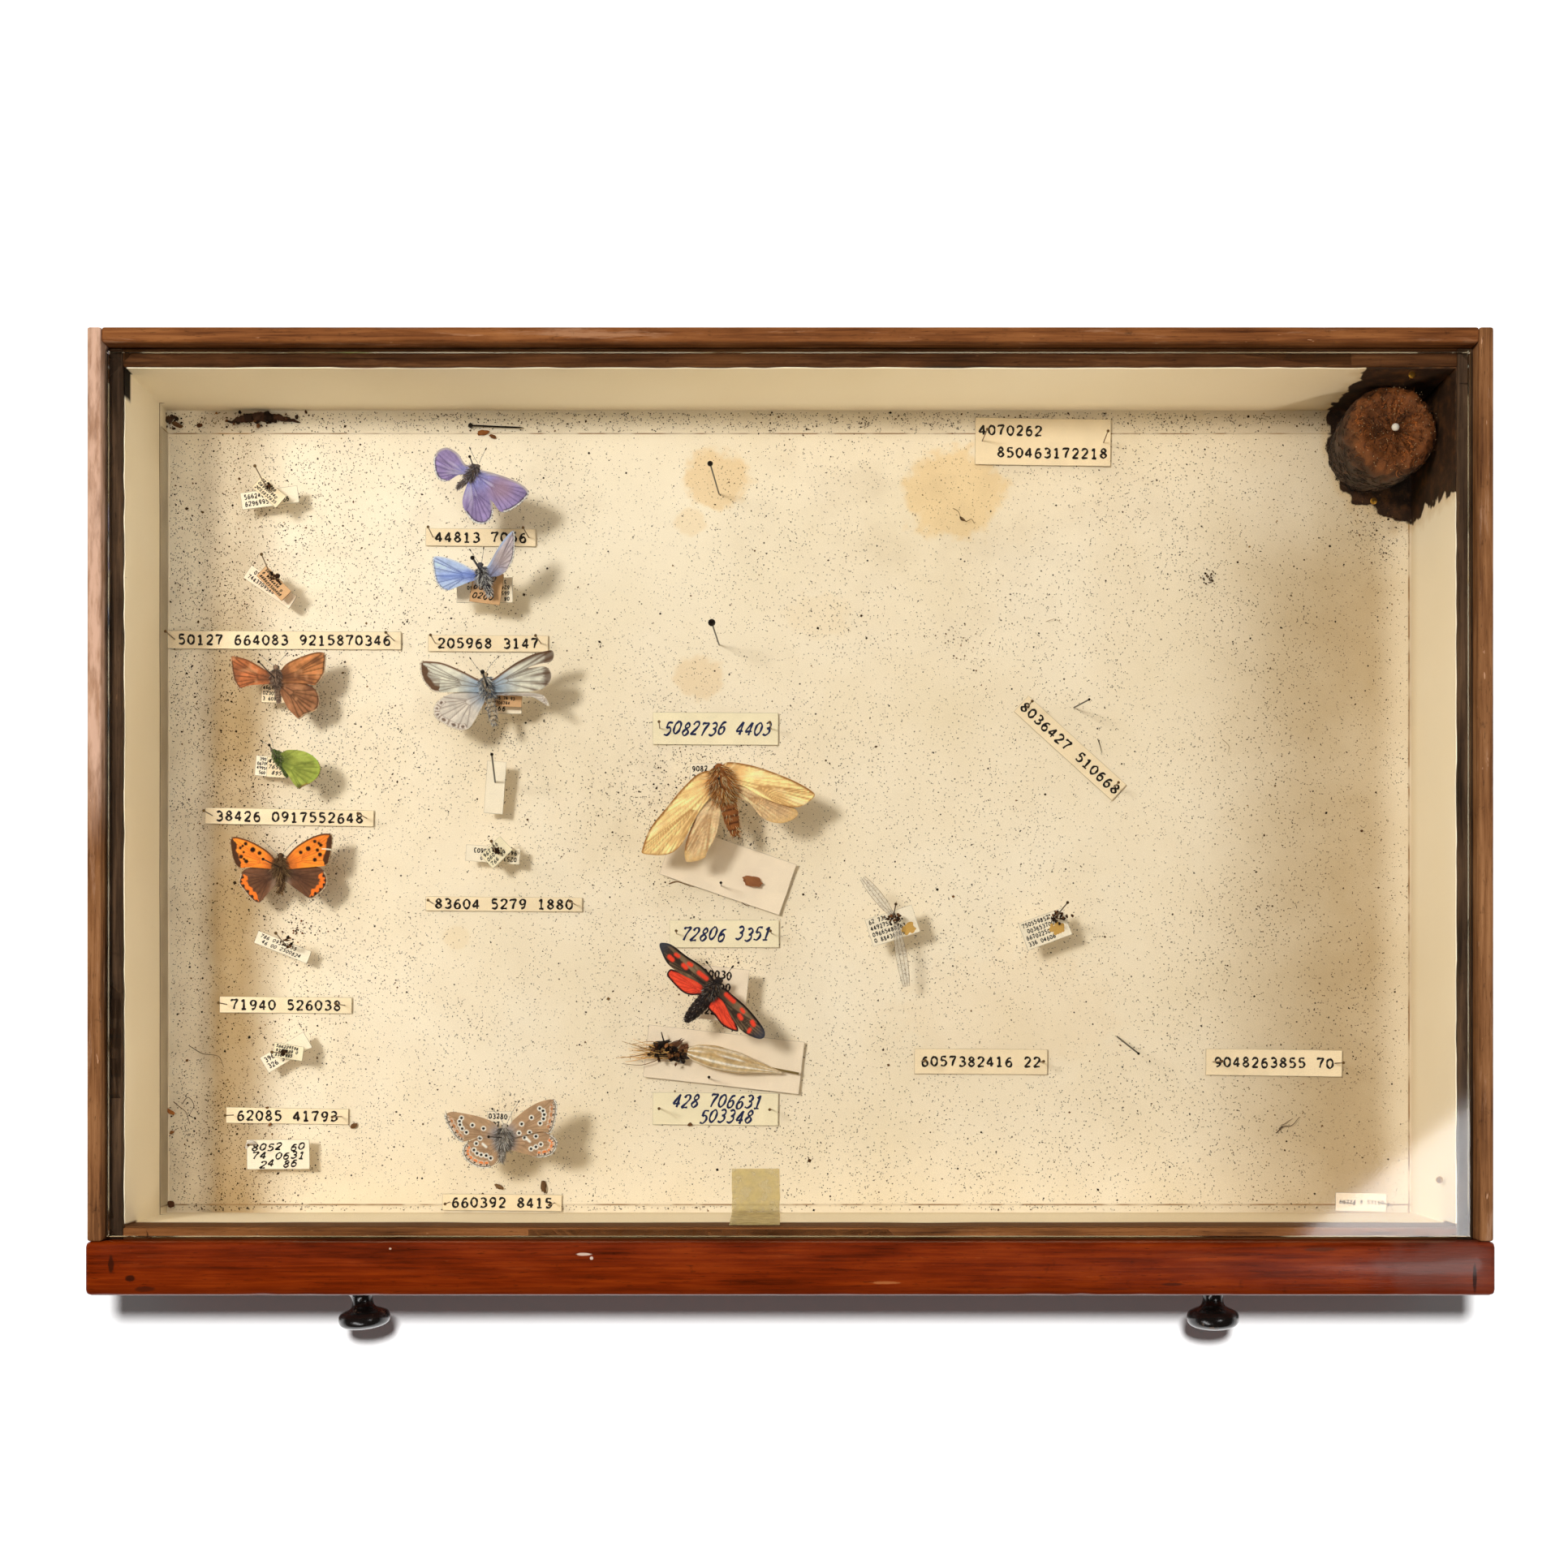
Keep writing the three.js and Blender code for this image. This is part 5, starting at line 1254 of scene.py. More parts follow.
class Wing:
    """One wing: its outline from the root round to the root, and how it lies and is painted."""

    STEPS = 9  # from one point of the outline to the next

    def __init__(self, outline, lift, slope_x, slope_y, hem, paint, skin="scales", camber=0.25, fringe=None):
        self.outline = np.asarray(outline, float)
        self.lift, self.slope_x, self.slope_y = lift, slope_x, slope_y
        self.hem, self.paint, self.skin, self.camber, self.fringe = hem, paint, skin, camber, fringe

    def veins(self, count=7):
        """Lines from the root and the end of the cell out to the hind edge."""
        cell = 0.42  # the cell's share of the way to the edge
        first, last = self.hem
        steps = 8
        fine = smooth_line(self.outline, steps, closed=True)
        marks = np.arange(len(fine)) / steps
        root = (self.outline[0] + self.outline[-1]) / 2
        ends = [fine[int(np.argmin(np.abs(marks - (first - 0.6 + (last - first + 0.9) * (k + 0.5) / count))))]
                for k in range(count)]
        middle = ends[count // 2]
        lines = []
        starts = []
        for end in ends:
            start = root + cell * (0.4 * end + 0.6 * middle - root)
            starts.append(start)
            lines.append((start, end))
        lines.append((root, starts[0]))
        lines.append((root, starts[-1]))
        lines += list(zip(starts, starts[1:]))
        return lines

    def build(self, shape, at, spacing):
        outline = smooth_line(self.outline, self.STEPS, closed=True)
        outline = outline[: (len(self.outline) - 1) * self.STEPS + 1]
        marks = np.arange(len(outline)) / self.STEPS
        low, high = outline.min(0), outline.max(0)
        columns = np.arange(low[0], high[0], spacing)
        rows = np.arange(low[1], high[1], spacing * 0.866)
        gx, gy = np.meshgrid(columns, rows)
        gx = gx + (np.arange(len(rows)) % 2)[:, None] * spacing / 2
        inner = np.stack([gx.ravel(), gy.ravel()], axis=1)
        inside = np.zeros(len(inner), bool)
        for a, b in zip(outline, np.roll(outline, -1, axis=0)):
            if a[1] == b[1]:
                continue
            crosses = (inner[:, 1] < a[1]) != (inner[:, 1] < b[1])
            at_x = a[0] + (inner[:, 1] - a[1]) * (b[0] - a[0]) / (b[1] - a[1])
            inside ^= crosses & (inner[:, 0] < at_x)
        inner = inner[inside]
        gap = Patch(inner, outline, marks, self.hem).edge
        inner = inner[gap > spacing * 0.45]
        places = [Vector(p) for p in np.vstack([outline, inner])]
        count = len(outline)
        edges = [(i, (i + 1) % count) for i in range(count)]
        flat, _, triangles, *_ = geometry.delaunay_2d_cdt(places, edges, [], 1, 1e-5)
        plane = np.array([tuple(p) for p in flat])
        patch = Patch(plane, outline, marks, self.hem)
        tint = np.clip(self.paint(patch, self) * SCALE_GLOW, 0.002, 1)
        bend = self.camber * np.sin(np.clip(patch.out, 0, 1) * math.pi)
        pleats = 0.05 * np.sin(patch.angle * 26)
        pleats = pleats * np.clip(patch.out, 0, 1)
        bend = bend + pleats + 0.25 * (mottle(plane[:, 0], plane[:, 1], 3.5, count) - 0.5)
        z = at[2] + self.lift + self.slope_x * plane[:, 0] + self.slope_y * plane[:, 1] + bend
        top = np.column_stack([plane[:, 0] + at[0], plane[:, 1] + at[1], z + 0.05])
        under = top - np.array((0, 0, 0.1))
        size = len(plane)
        upright = []
        for a, b, c in (t for t in triangles if len(t) == 3):
            area = np.cross(plane[b] - plane[a], plane[c] - plane[a])
            upright.append((a, b, c) if area > 0 else (a, c, b))
        faces = list(upright) + [(size + a, size + c, size + b) for a, b, c in upright]
        sides = dict.fromkeys(pair for a, b, c in upright for pair in ((a, b), (b, c), (c, a)))
        for a, b in sides:
            if (b, a) not in sides:
                faces.append((b, a, size + a, size + b))
        shape.put(np.vstack([top, under]), faces, np.vstack([tint, tint * 0.8]), self.skin, is_linear=True)
        if self.fringe is not None:
            self.add_fringe(shape, at, outline, marks)

    def add_fringe(self, shape, at, outline, marks):
        """Fine scales that stand out from the hind edge."""
        light, dark, ticks, length = self.fringe
        rng = np.random.default_rng(len(outline))
        first, last = self.hem
        chosen = np.flatnonzero((marks >= first - 0.3) & (marks <= last + 0.6))
        ways = np.gradient(outline, axis=0)
        ways /= np.linalg.norm(ways, axis=1)[:, None] + 1e-9
        centre = outline.mean(0)
        roots, out, tints = [], [], []
        for i in chosen[:-1]:
            for _ in range(5):
                t = rng.uniform()
                place = outline[i] * (1 - t) + outline[i + 1] * t
                normal = np.array((ways[i][1], -ways[i][0]))
                if normal.dot(place - centre) < 0:
                    normal = -normal
                heading = normal + rng.normal(0, 0.16, 2)
                place = place - normal * 0.12
                height = at[2] + self.lift + self.slope_x * place[0] + self.slope_y * place[1]
                roots.append((place[0] + at[0], place[1] + at[1], height))
                size = length * rng.uniform(0.7, 1.15)
                out.append((heading[0] * size, heading[1] * size, rng.normal(0, 0.05)))
                share = (marks[i] + t / self.STEPS - first) / (last - first)
                dark_here = ticks > 0 and (share * ticks) % 1 > 0.62
                tints.append(np.asarray(dark if dark_here else light) * rng.uniform(0.85, 1.05))
        hairs(shape, roots, out, 0.045, np.clip(tints, 0, 255), "scales", 0.0, rng)


def line_mask(patch, lines, radius, soft=0.1):
    mask = np.zeros(len(patch.x))
    for a, b in lines:
        mask = np.maximum(mask, patch.bar(a, b, radius, soft))
    return mask


def base_paint(patch, wing, base, root=None, root_reach=0.4, veins=None, vein_width=0.1, vein_strength=0.6,
               margin=None, margin_width=0.0, costa=None, costa_width=0.3, fringe=None, fringe_width=0.0,
               mottled=0.14, count=7):
    """The common order of a wing's colours: ground, root, veins, margin, front edge, fringe."""
    seed = int(abs(wing.outline.sum()) * 7) % 50
    color = np.tile(linear(base), (len(patch.x), 1))
    if root is not None:
        color = over(color, root, slope_step(patch.out, root_reach, root_reach * 0.25) * 0.85)
    streaks = (0.6 * mottle(patch.angle * 16, patch.root * 0.2, 1, seed)
               + 0.4 * mottle(patch.angle * 34, patch.root * 0.3, 1, seed + 2))
    worn = mottle(patch.x, patch.y, 0.7, seed) - 0.5 + 0.8 * (mottle(patch.x, patch.y, 2.4, seed + 5) - 0.5)
    color = color * (1 + mottled * 3 * (streaks - 0.5) + mottled * 1.4 * worn)[:, None]
    lines = wing.veins(count)
    if veins is not None:
        color = over(color, veins, line_mask(patch, lines, vein_width) * vein_strength)
    if margin is not None:
        ragged = margin_width * (0.8 + 0.4 * mottle(patch.x, patch.y, 0.9, seed + 1))
        color = over(color, margin, slope_step(patch.edge, ragged + 0.2, ragged - 0.15) * patch.on_rim)
    if costa is not None:
        front = (patch.mark < wing.hem[0]) & (patch.mark > 0.3)
        color = over(color, costa, slope_step(patch.edge, costa_width + 0.15, costa_width - 0.1) * front)
    if fringe is not None:
        tips = slope_step(patch.edge, fringe_width + 0.06, fringe_width - 0.06)
        color = over(color, fringe, tips * patch.on_rim)
    return color


def paint_holly(patch, wing):
    color = base_paint(patch, wing, (142, 126, 172), (128, 130, 186), 0.5, (78, 64, 112), 0.12, 0.75,
                       (58, 48, 62), 0.5, (168, 158, 160), 0.5, (236, 232, 232), 0.22, 0.2)
    centre = patch.near(6.6, -4.2, 2.8, 2.2) * 0.7 if wing.outline[:, 0].max() > 8 else 0 * patch.x
    color = over(color, (156, 128, 146), centre)
    pale = slope_step(mottle(patch.angle * 9, patch.root * 0.2, 1, 11), 0.55, 0.9)
    pale = pale * slope_step(patch.out, 0.9, 0.2)
    return over(color, (196, 190, 212), pale * 0.55)


def paint_adonis_left(patch, wing):
    color = base_paint(patch, wing, (172, 192, 232), (122, 136, 194), 0.5, (66, 78, 142), 0.12, 0.85,
                       (34, 34, 50), 0.34, (198, 206, 222), 0.34, (240, 240, 242), 0.18, 0.18)
    return over(color, (102, 128, 208), patch.bar((-2, 0), (-10.5, -1.0), 0.9, 1.2) * 0.6)


def paint_adonis_right(patch, wing):
    color = base_paint(patch, wing, (180, 170, 176), (126, 136, 174), 0.5, (100, 88, 102), 0.13, 0.85,
                       (48, 40, 48), 0.4, (156, 172, 204), 0.6, (228, 228, 230), 0.18, 0.2)
    return over(color, (160, 146, 146), patch.near(5.0, 3.4, 2.2, 1.6) * 0.6)


def paint_chalk_fore(patch, wing):
    torn = wing.outline[:, 0].max() > 5
    color = base_paint(patch, wing, (202, 200, 186), (126, 148, 172), 0.5, (104, 92, 80), 0.13, 0.8,
                       (98, 72, 54), 0.0 if torn else 1.7, (112, 84, 64), 0.5, mottled=0.16)
    lines = wing.veins(8)
    reach = slope_step(patch.x, 8.5, 14.0) if torn else slope_step(patch.edge, 5.0, 1.2) * patch.on_rim
    streak = line_mask(patch, lines, 0.34, 0.34) * reach
    color = over(color, (90, 66, 50), streak * 0.85)
    if torn:
        tips = slope_step(patch.x + 0.9 * mottle(patch.x, patch.y * 3, 0.8, 3), 14.6, 16.4)
        front = slope_step(patch.y - patch.x * 0.42, 1.5, 2.6)
        color = over(color, (84, 60, 44), np.maximum(tips, front) * 0.85)
    hem = slope_step(patch.edge, 0.26, 0.08) * patch.on_rim
    return over(color, (222, 210, 190), hem * (0.3 if torn else 1))


def paint_chalk_hind(patch, wing):
    color = base_paint(patch, wing, (196, 188, 178), (134, 148, 166), 0.45, (116, 100, 90), 0.12, 0.75,
                       mottled=0.16)
    beads = patch.beads(6)
    ring = slope_step(np.abs(patch.edge - 0.85), 0.7, 0.5) * slope_step(beads, 0.46, 0.38) * patch.on_rim
    color = over(color, (112, 86, 68), slope_step(patch.edge, 1.75, 1.4) * patch.on_rim * 0.8)
    color = over(color, (226, 218, 208), ring * 0.75)
    dot = slope_step(np.hypot((patch.edge - 0.85) / 0.42, beads / 0.22), 1.15, 0.85) * patch.on_rim
    color = over(color, (92, 68, 54), dot * 0.9)
    return over(color, (222, 214, 200), slope_step(patch.edge, 0.22, 0.06) * patch.on_rim)


def paint_hairstreak(base):
    def paint(patch, wing):
        color = base_paint(patch, wing, base, (108, 70, 46), 0.42, [c * 0.5 for c in base], 0.16, 0.85,
                           (70, 44, 30), 0.5, [c * 0.66 for c in base], 0.45, (196, 168, 132), 0.16, 0.28)
        smoke = mottle(patch.x, patch.y, 2.2, 6)
        color = over(color, (88, 54, 38), slope_step(smoke, 0.5, 0.85) * 0.6)
        return over(color, (198, 142, 98), slope_step(mottle(patch.x, patch.y, 1.5, 8), 0.7, 0.95) * 0.45)
    return paint


def paint_green(patch, wing):
    color = base_paint(patch, wing, (140, 150, 66), (92, 104, 42), 0.45, (98, 112, 44), 0.15, 0.75,
                       (134, 100, 50), 0.28, mottled=0.26)
    color = over(color, (168, 180, 84), patch.near(6.0, 0.6, 1.0, 1.4) * 0.7)
    color = over(color, (150, 176, 70), slope_step(patch.edge, 1.1, 0.2) * (patch.x > 7.5) * 0.6)
    return over(color, (58, 56, 30), patch.near(5.4, -7.5, 0.6, 0.5) * 0.8)


COPPER_LEFT = [(-10.6, 5.3, .34), (-9.2, 6.4, .42), (-10.0, 5.8, .3), (-7.3, 4.8, .58), (-5.5, 3.9, .46),
               (-9.7, 4.1, .28), (-10.4, 2.9, .46), (-9.0, 1.7, .46), (-9.6, 2.3, .3)]
COPPER_RIGHT = [(9.3, 7.0, .4), (10.4, 6.5, .34), (10.9, 6.0, .4), (7.5, 5.1, .56), (5.5, 4.1, .42),
                (10.0, 4.7, .4), (10.7, 3.5, .46), (9.3, 2.1, .46)]


def paint_copper_fore(patch, wing):
    color = base_paint(patch, wing, (242, 130, 40), (150, 78, 36), 0.42, (158, 74, 26), 0.1, 0.65,
                       (70, 42, 26), 1.55, (96, 58, 34), 0.42, (176, 146, 108), 0.14, 0.18)
    for x, y, radius in COPPER_LEFT + COPPER_RIGHT:
        color = over(color, (34, 20, 15), patch.near(x, y, radius * 1.2, 0.1))
    return over(color, (240, 228, 204), patch.bar((11.3, 5.0), (14.1, 4.8), 0.12, 0.06))


def paint_copper_hind(patch, wing):
    color = base_paint(patch, wing, (98, 64, 44), (84, 62, 50), 0.5, (60, 38, 28), 0.12, 0.65,
                       mottled=0.24)
    hand = np.sign(patch.x.mean())
    bald = slope_step(patch.bar((1.2 * hand, -2), (2.6 * hand, -7), 0.7, 0.9), 0, 1)
    color = over(color, (150, 126, 104), bald * 0.5)
    beads = patch.beads(6)
    band = slope_step(np.abs(patch.edge - 1.25 - 0.9 * (0.3 - beads)), 0.72, 0.5) * patch.on_rim
    color = over(color, (234, 112, 34), band)
    dot = slope_step(np.hypot((patch.edge - 0.62) / 0.42, beads / 0.24), 1.1, 0.8) * patch.on_rim
    color = over(color, (40, 26, 20), dot)
    return over(color, (206, 188, 156), slope_step(patch.edge, 0.18, 0.05) * patch.on_rim)


COMMON_RINGS = [  # x, y of ringed spots on all four wings
    (-10.8, 5.3), (-11.3, 4.4), (-11.2, 3.5), (-10.6, 2.5), (-9.5, 1.5), (-5.0, 2.5), (-7.9, 3.4),
    (-6.0, -0.1), (-7.0, -1.5), (-7.6, -3.2), (-6.8, -4.1), (-5.7, -4.5), (-4.4, -4.7), (-3.2, -5.4),
    (9.9, 7.8), (10.8, 7.2), (11.1, 6.2), (10.9, 5.1), (10.0, 3.9), (7.7, 5.4), (5.1, 3.7),
    (4.4, 1.3), (7.2, 1.5), (8.8, 0.4), (10.1, -1.7), (8.8, -2.4), (7.5, -2.9), (5.8, 0.0),
]
COMMON_CHEVRONS = [(-4.8, -2.1), (6.8, -0.7)]


def paint_common(patch, wing):
    color = base_paint(patch, wing, (172, 140, 108), (136, 140, 148), 0.35, (120, 92, 68), 0.1, 0.6,
                       mottled=0.14)
    beads = patch.beads(7)
    white = slope_step(np.abs(patch.edge - 1.0), 0.95, 0.7) * slope_step(beads, 0.5, 0.4) * patch.on_rim
    color = over(color, (226, 214, 196), white * 0.7)
    hind = wing.lift < 0
    arc = slope_step(np.abs(patch.edge - 1.35 + beads * 0.5), 0.42, 0.2)
    arc = arc * slope_step(beads, 0.44, 0.3) * patch.on_rim
    color = over(color, (222, 122, 48) if hind else (176, 110, 60), arc * 0.95)
    dot = slope_step(np.hypot((patch.edge - 0.72) / 0.26, beads / 0.2), 1.1, 0.8) * patch.on_rim
    color = over(color, (48, 38, 34), dot)
    line = slope_step(np.abs(patch.edge - 0.3), 0.16, 0.06) * patch.on_rim
    color = over(color, (62, 48, 38), line)
    color = over(color, (240, 232, 218), slope_step(patch.edge, 0.22, 0.1) * patch.on_rim)
    for x, y in COMMON_RINGS:
        color = over(color, (242, 234, 220), patch.near(x, y, 0.68, 0.1))
        color = over(color, (26, 20, 18), patch.near(x, y, 0.4, 0.09))
    for x, y in COMMON_CHEVRONS:
        color = over(color, (238, 232, 220), patch.bar((x - 0.5, y + 0.5), (x + 0.4, y - 0.3), 0.3, 0.2))
    return color


def paint_moth(rubbed):
    def paint(patch, wing):
        base = (232, 200, 154) if rubbed else (255, 218, 152)
        color = base_paint(patch, wing, base, (186, 134, 76), 0.34, (156, 108, 56), 0.14, 0.75,
                           (166, 120, 66), 0.26, (146, 98, 50), 0.5, mottled=0.18, count=9)
        ribs = slope_step(np.sin(patch.angle * 90), 0.3, 0.95) * slope_step(patch.out, 0.15, 0.5)
        color = over(color, (168, 122, 66), ribs * 0.45)
        shine = slope_step(mottle(patch.angle * 12, patch.root * 0.16, 1, 9), 0.62, 0.95)
        color = over(color, (255, 232, 180), shine * 0.6)
        if rubbed:
            golden = slope_step(patch.edge, 2.6, 0.4) * patch.on_rim
            color = over(color, (214, 178, 116), golden * 0.7)
        else:
            smoke = mottle(patch.x, patch.y, 3.2, 4)
            color = over(color, (176, 132, 78), slope_step(smoke, 0.55, 0.9) * 0.4)
        return color
    return paint


BURNET_SPOTS = [(-11.4, 9.0, -10.6, 8.2, .5704), (-9.7, 9.6, -9.0, 9.1, .46), (-7.7, 6.8, -7.0, 6.1, .552),
                (-6.3, 7.2, -5.6, 6.8, .506), (-3.6, 4.8, -1.6, 3.2, .5704),
                (10.5, -8.2, 10.9, -9.0, .5704), (9.9, -10.2, 9.6, -10.8, .46), (7.1, -6.5, 7.6, -7.3, .552),
                (7.7, -4.9, 8.2, -5.6, .46), (3.6, -1.0, 5.6, -2.8, .5704)]


def paint_burnet_fore(patch, wing):
    color = base_paint(patch, wing, (110, 90, 68), (56, 46, 40), 0.45, (34, 28, 26), 0.2, 0.9,
                       (26, 22, 22), 0.5, (24, 20, 20), 0.55, mottled=0.3)
    color = over(color, (58, 60, 72), slope_step(patch.out, 0.78, 0.98) * 0.8)
    for ax, ay, bx, by, radius in BURNET_SPOTS:
        color = over(color, (216, 62, 40), patch.bar((ax, ay), (bx, by), radius, 0.22))
    return color


def paint_burnet_hind(patch, wing):
    color = base_paint(patch, wing, (232, 74, 48), (176, 40, 30), 0.36, (160, 36, 28), 0.11, 0.7, mottled=0.2)
    edge = slope_step(patch.edge, 0.6, 0.36) * (patch.mark > 0.6) * (patch.mark < len(wing.outline) - 1.4)
    return over(color, (30, 24, 24), edge)


HOLLY_FRINGE = ((232, 230, 228), (90, 80, 90), 7, 0.42)
PALE_FRINGE = ((236, 234, 230), (60, 54, 56), 8, 0.42)
BUFF_FRINGE = ((206, 190, 160), (120, 92, 66), 7, 0.38)


# ---- bodies ----
def fur(shape, a, b, radius, tints, count, length, rng, back=0.6, width=0.06):
    """Hairs on an egg whose long axis runs from a to b, swept towards b."""
    a, b = np.asarray(a, float), np.asarray(b, float)
    axis = b - a
    reach = np.linalg.norm(axis) + 1e-9
    axis = axis / reach
    side = np.cross(axis, (0, 0, 1))
    side /= np.linalg.norm(side) + 1e-9
    up = np.cross(side, axis)
    t = rng.uniform(-0.96, 0.96, count)
    turn = rng.uniform(-0.35, 1.35, count) * math.pi
    swell = np.sqrt(1 - t ** 2)
    out = np.cos(turn)[:, None] * side + np.sin(turn)[:, None] * up
    roots = (a + b) / 2 + axis * (t * reach / 2)[:, None] + out * (radius * swell * 0.92)[:, None]
    ways = out * rng.uniform(0.5, 1.0, (count, 1)) + axis * back + axis * (t[:, None] * 0.4)
    ways = ways / np.linalg.norm(ways, axis=1)[:, None] * length * rng.uniform(0.6, 1.25, (count, 1))
    picks = np.asarray(tints, float)[rng.integers(0, len(tints), count)] * rng.uniform(0.75, 1.2, (count, 1))
    hairs(shape, roots, ways, width, np.clip(picks, 0, 255), "fur", 0.12, rng)


def segment(shape, a, b, radius, tint, rough=0.1, skin="fur", seed=0):
    a, b = np.asarray(a, float), np.asarray(b, float)
    length = np.linalg.norm(b - a)
    ball(shape, (a + b) / 2, (radius, radius, length / 2), tint, skin, 10, 12, rough, b - a, seed)


def abdomen(shape, a, b, radius, tint, band):
    """A tapering abdomen with ringed segments."""
    rings, per = 7, 4
    a, b = np.asarray(a, float), np.asarray(b, float)
    steps = rings * per + 1
    path, radii, tints = [], [], []
    for i in range(steps):
        t = i / (steps - 1)
        path.append(a + (b - a) * t + np.array((0, 0, -0.3 * math.sin(t * math.pi))))
        groove = 1 - 0.09 * (i % per == 0)
        swell = math.sin(math.pi * min(1, 0.14 + 0.86 * t) ** 0.85)
        radii.append(max(0.04, radius * max(0, swell) ** 0.42 * groove))
        tints.append(band if i % per == 0 else tint)
    tube(shape, path, radii, 12, tints, "fur", 0.9)


def feeler(shape, path, club, rings):
    """An antenna that ends in a club, dark or ringed dark and pale."""
    dark, pale, radius = (34, 28, 26), (226, 220, 210), 0.075
    line = smooth_line(path, 8)
    tints = [pale if rings and i % 2 else dark for i in range(len(line))]
    tube(shape, line, radius, 6, tints, "fur")
    way = line[-1] - line[-3]
    way = way / (np.linalg.norm(way) + 1e-9)
    segment(shape, line[-1] - way * 0.4, line[-1] + way * club * 2.6, club, dark, 0.05)


def leg(shape, path, tint=(44, 34, 28), radius=0.1):
    line = smooth_line(path, 4)
    tube(shape, line, np.linspace(radius, radius * 0.5, len(line)), 5, tint, "fur")


def eyes(shape, head, size, gap):
    for side in (-1, 1):
        place = np.asarray(head, float) + np.array((gap * side, 0.15, 0.1))
        ball(shape, place, size, EYE_COLOR, "husk", 6, 8)


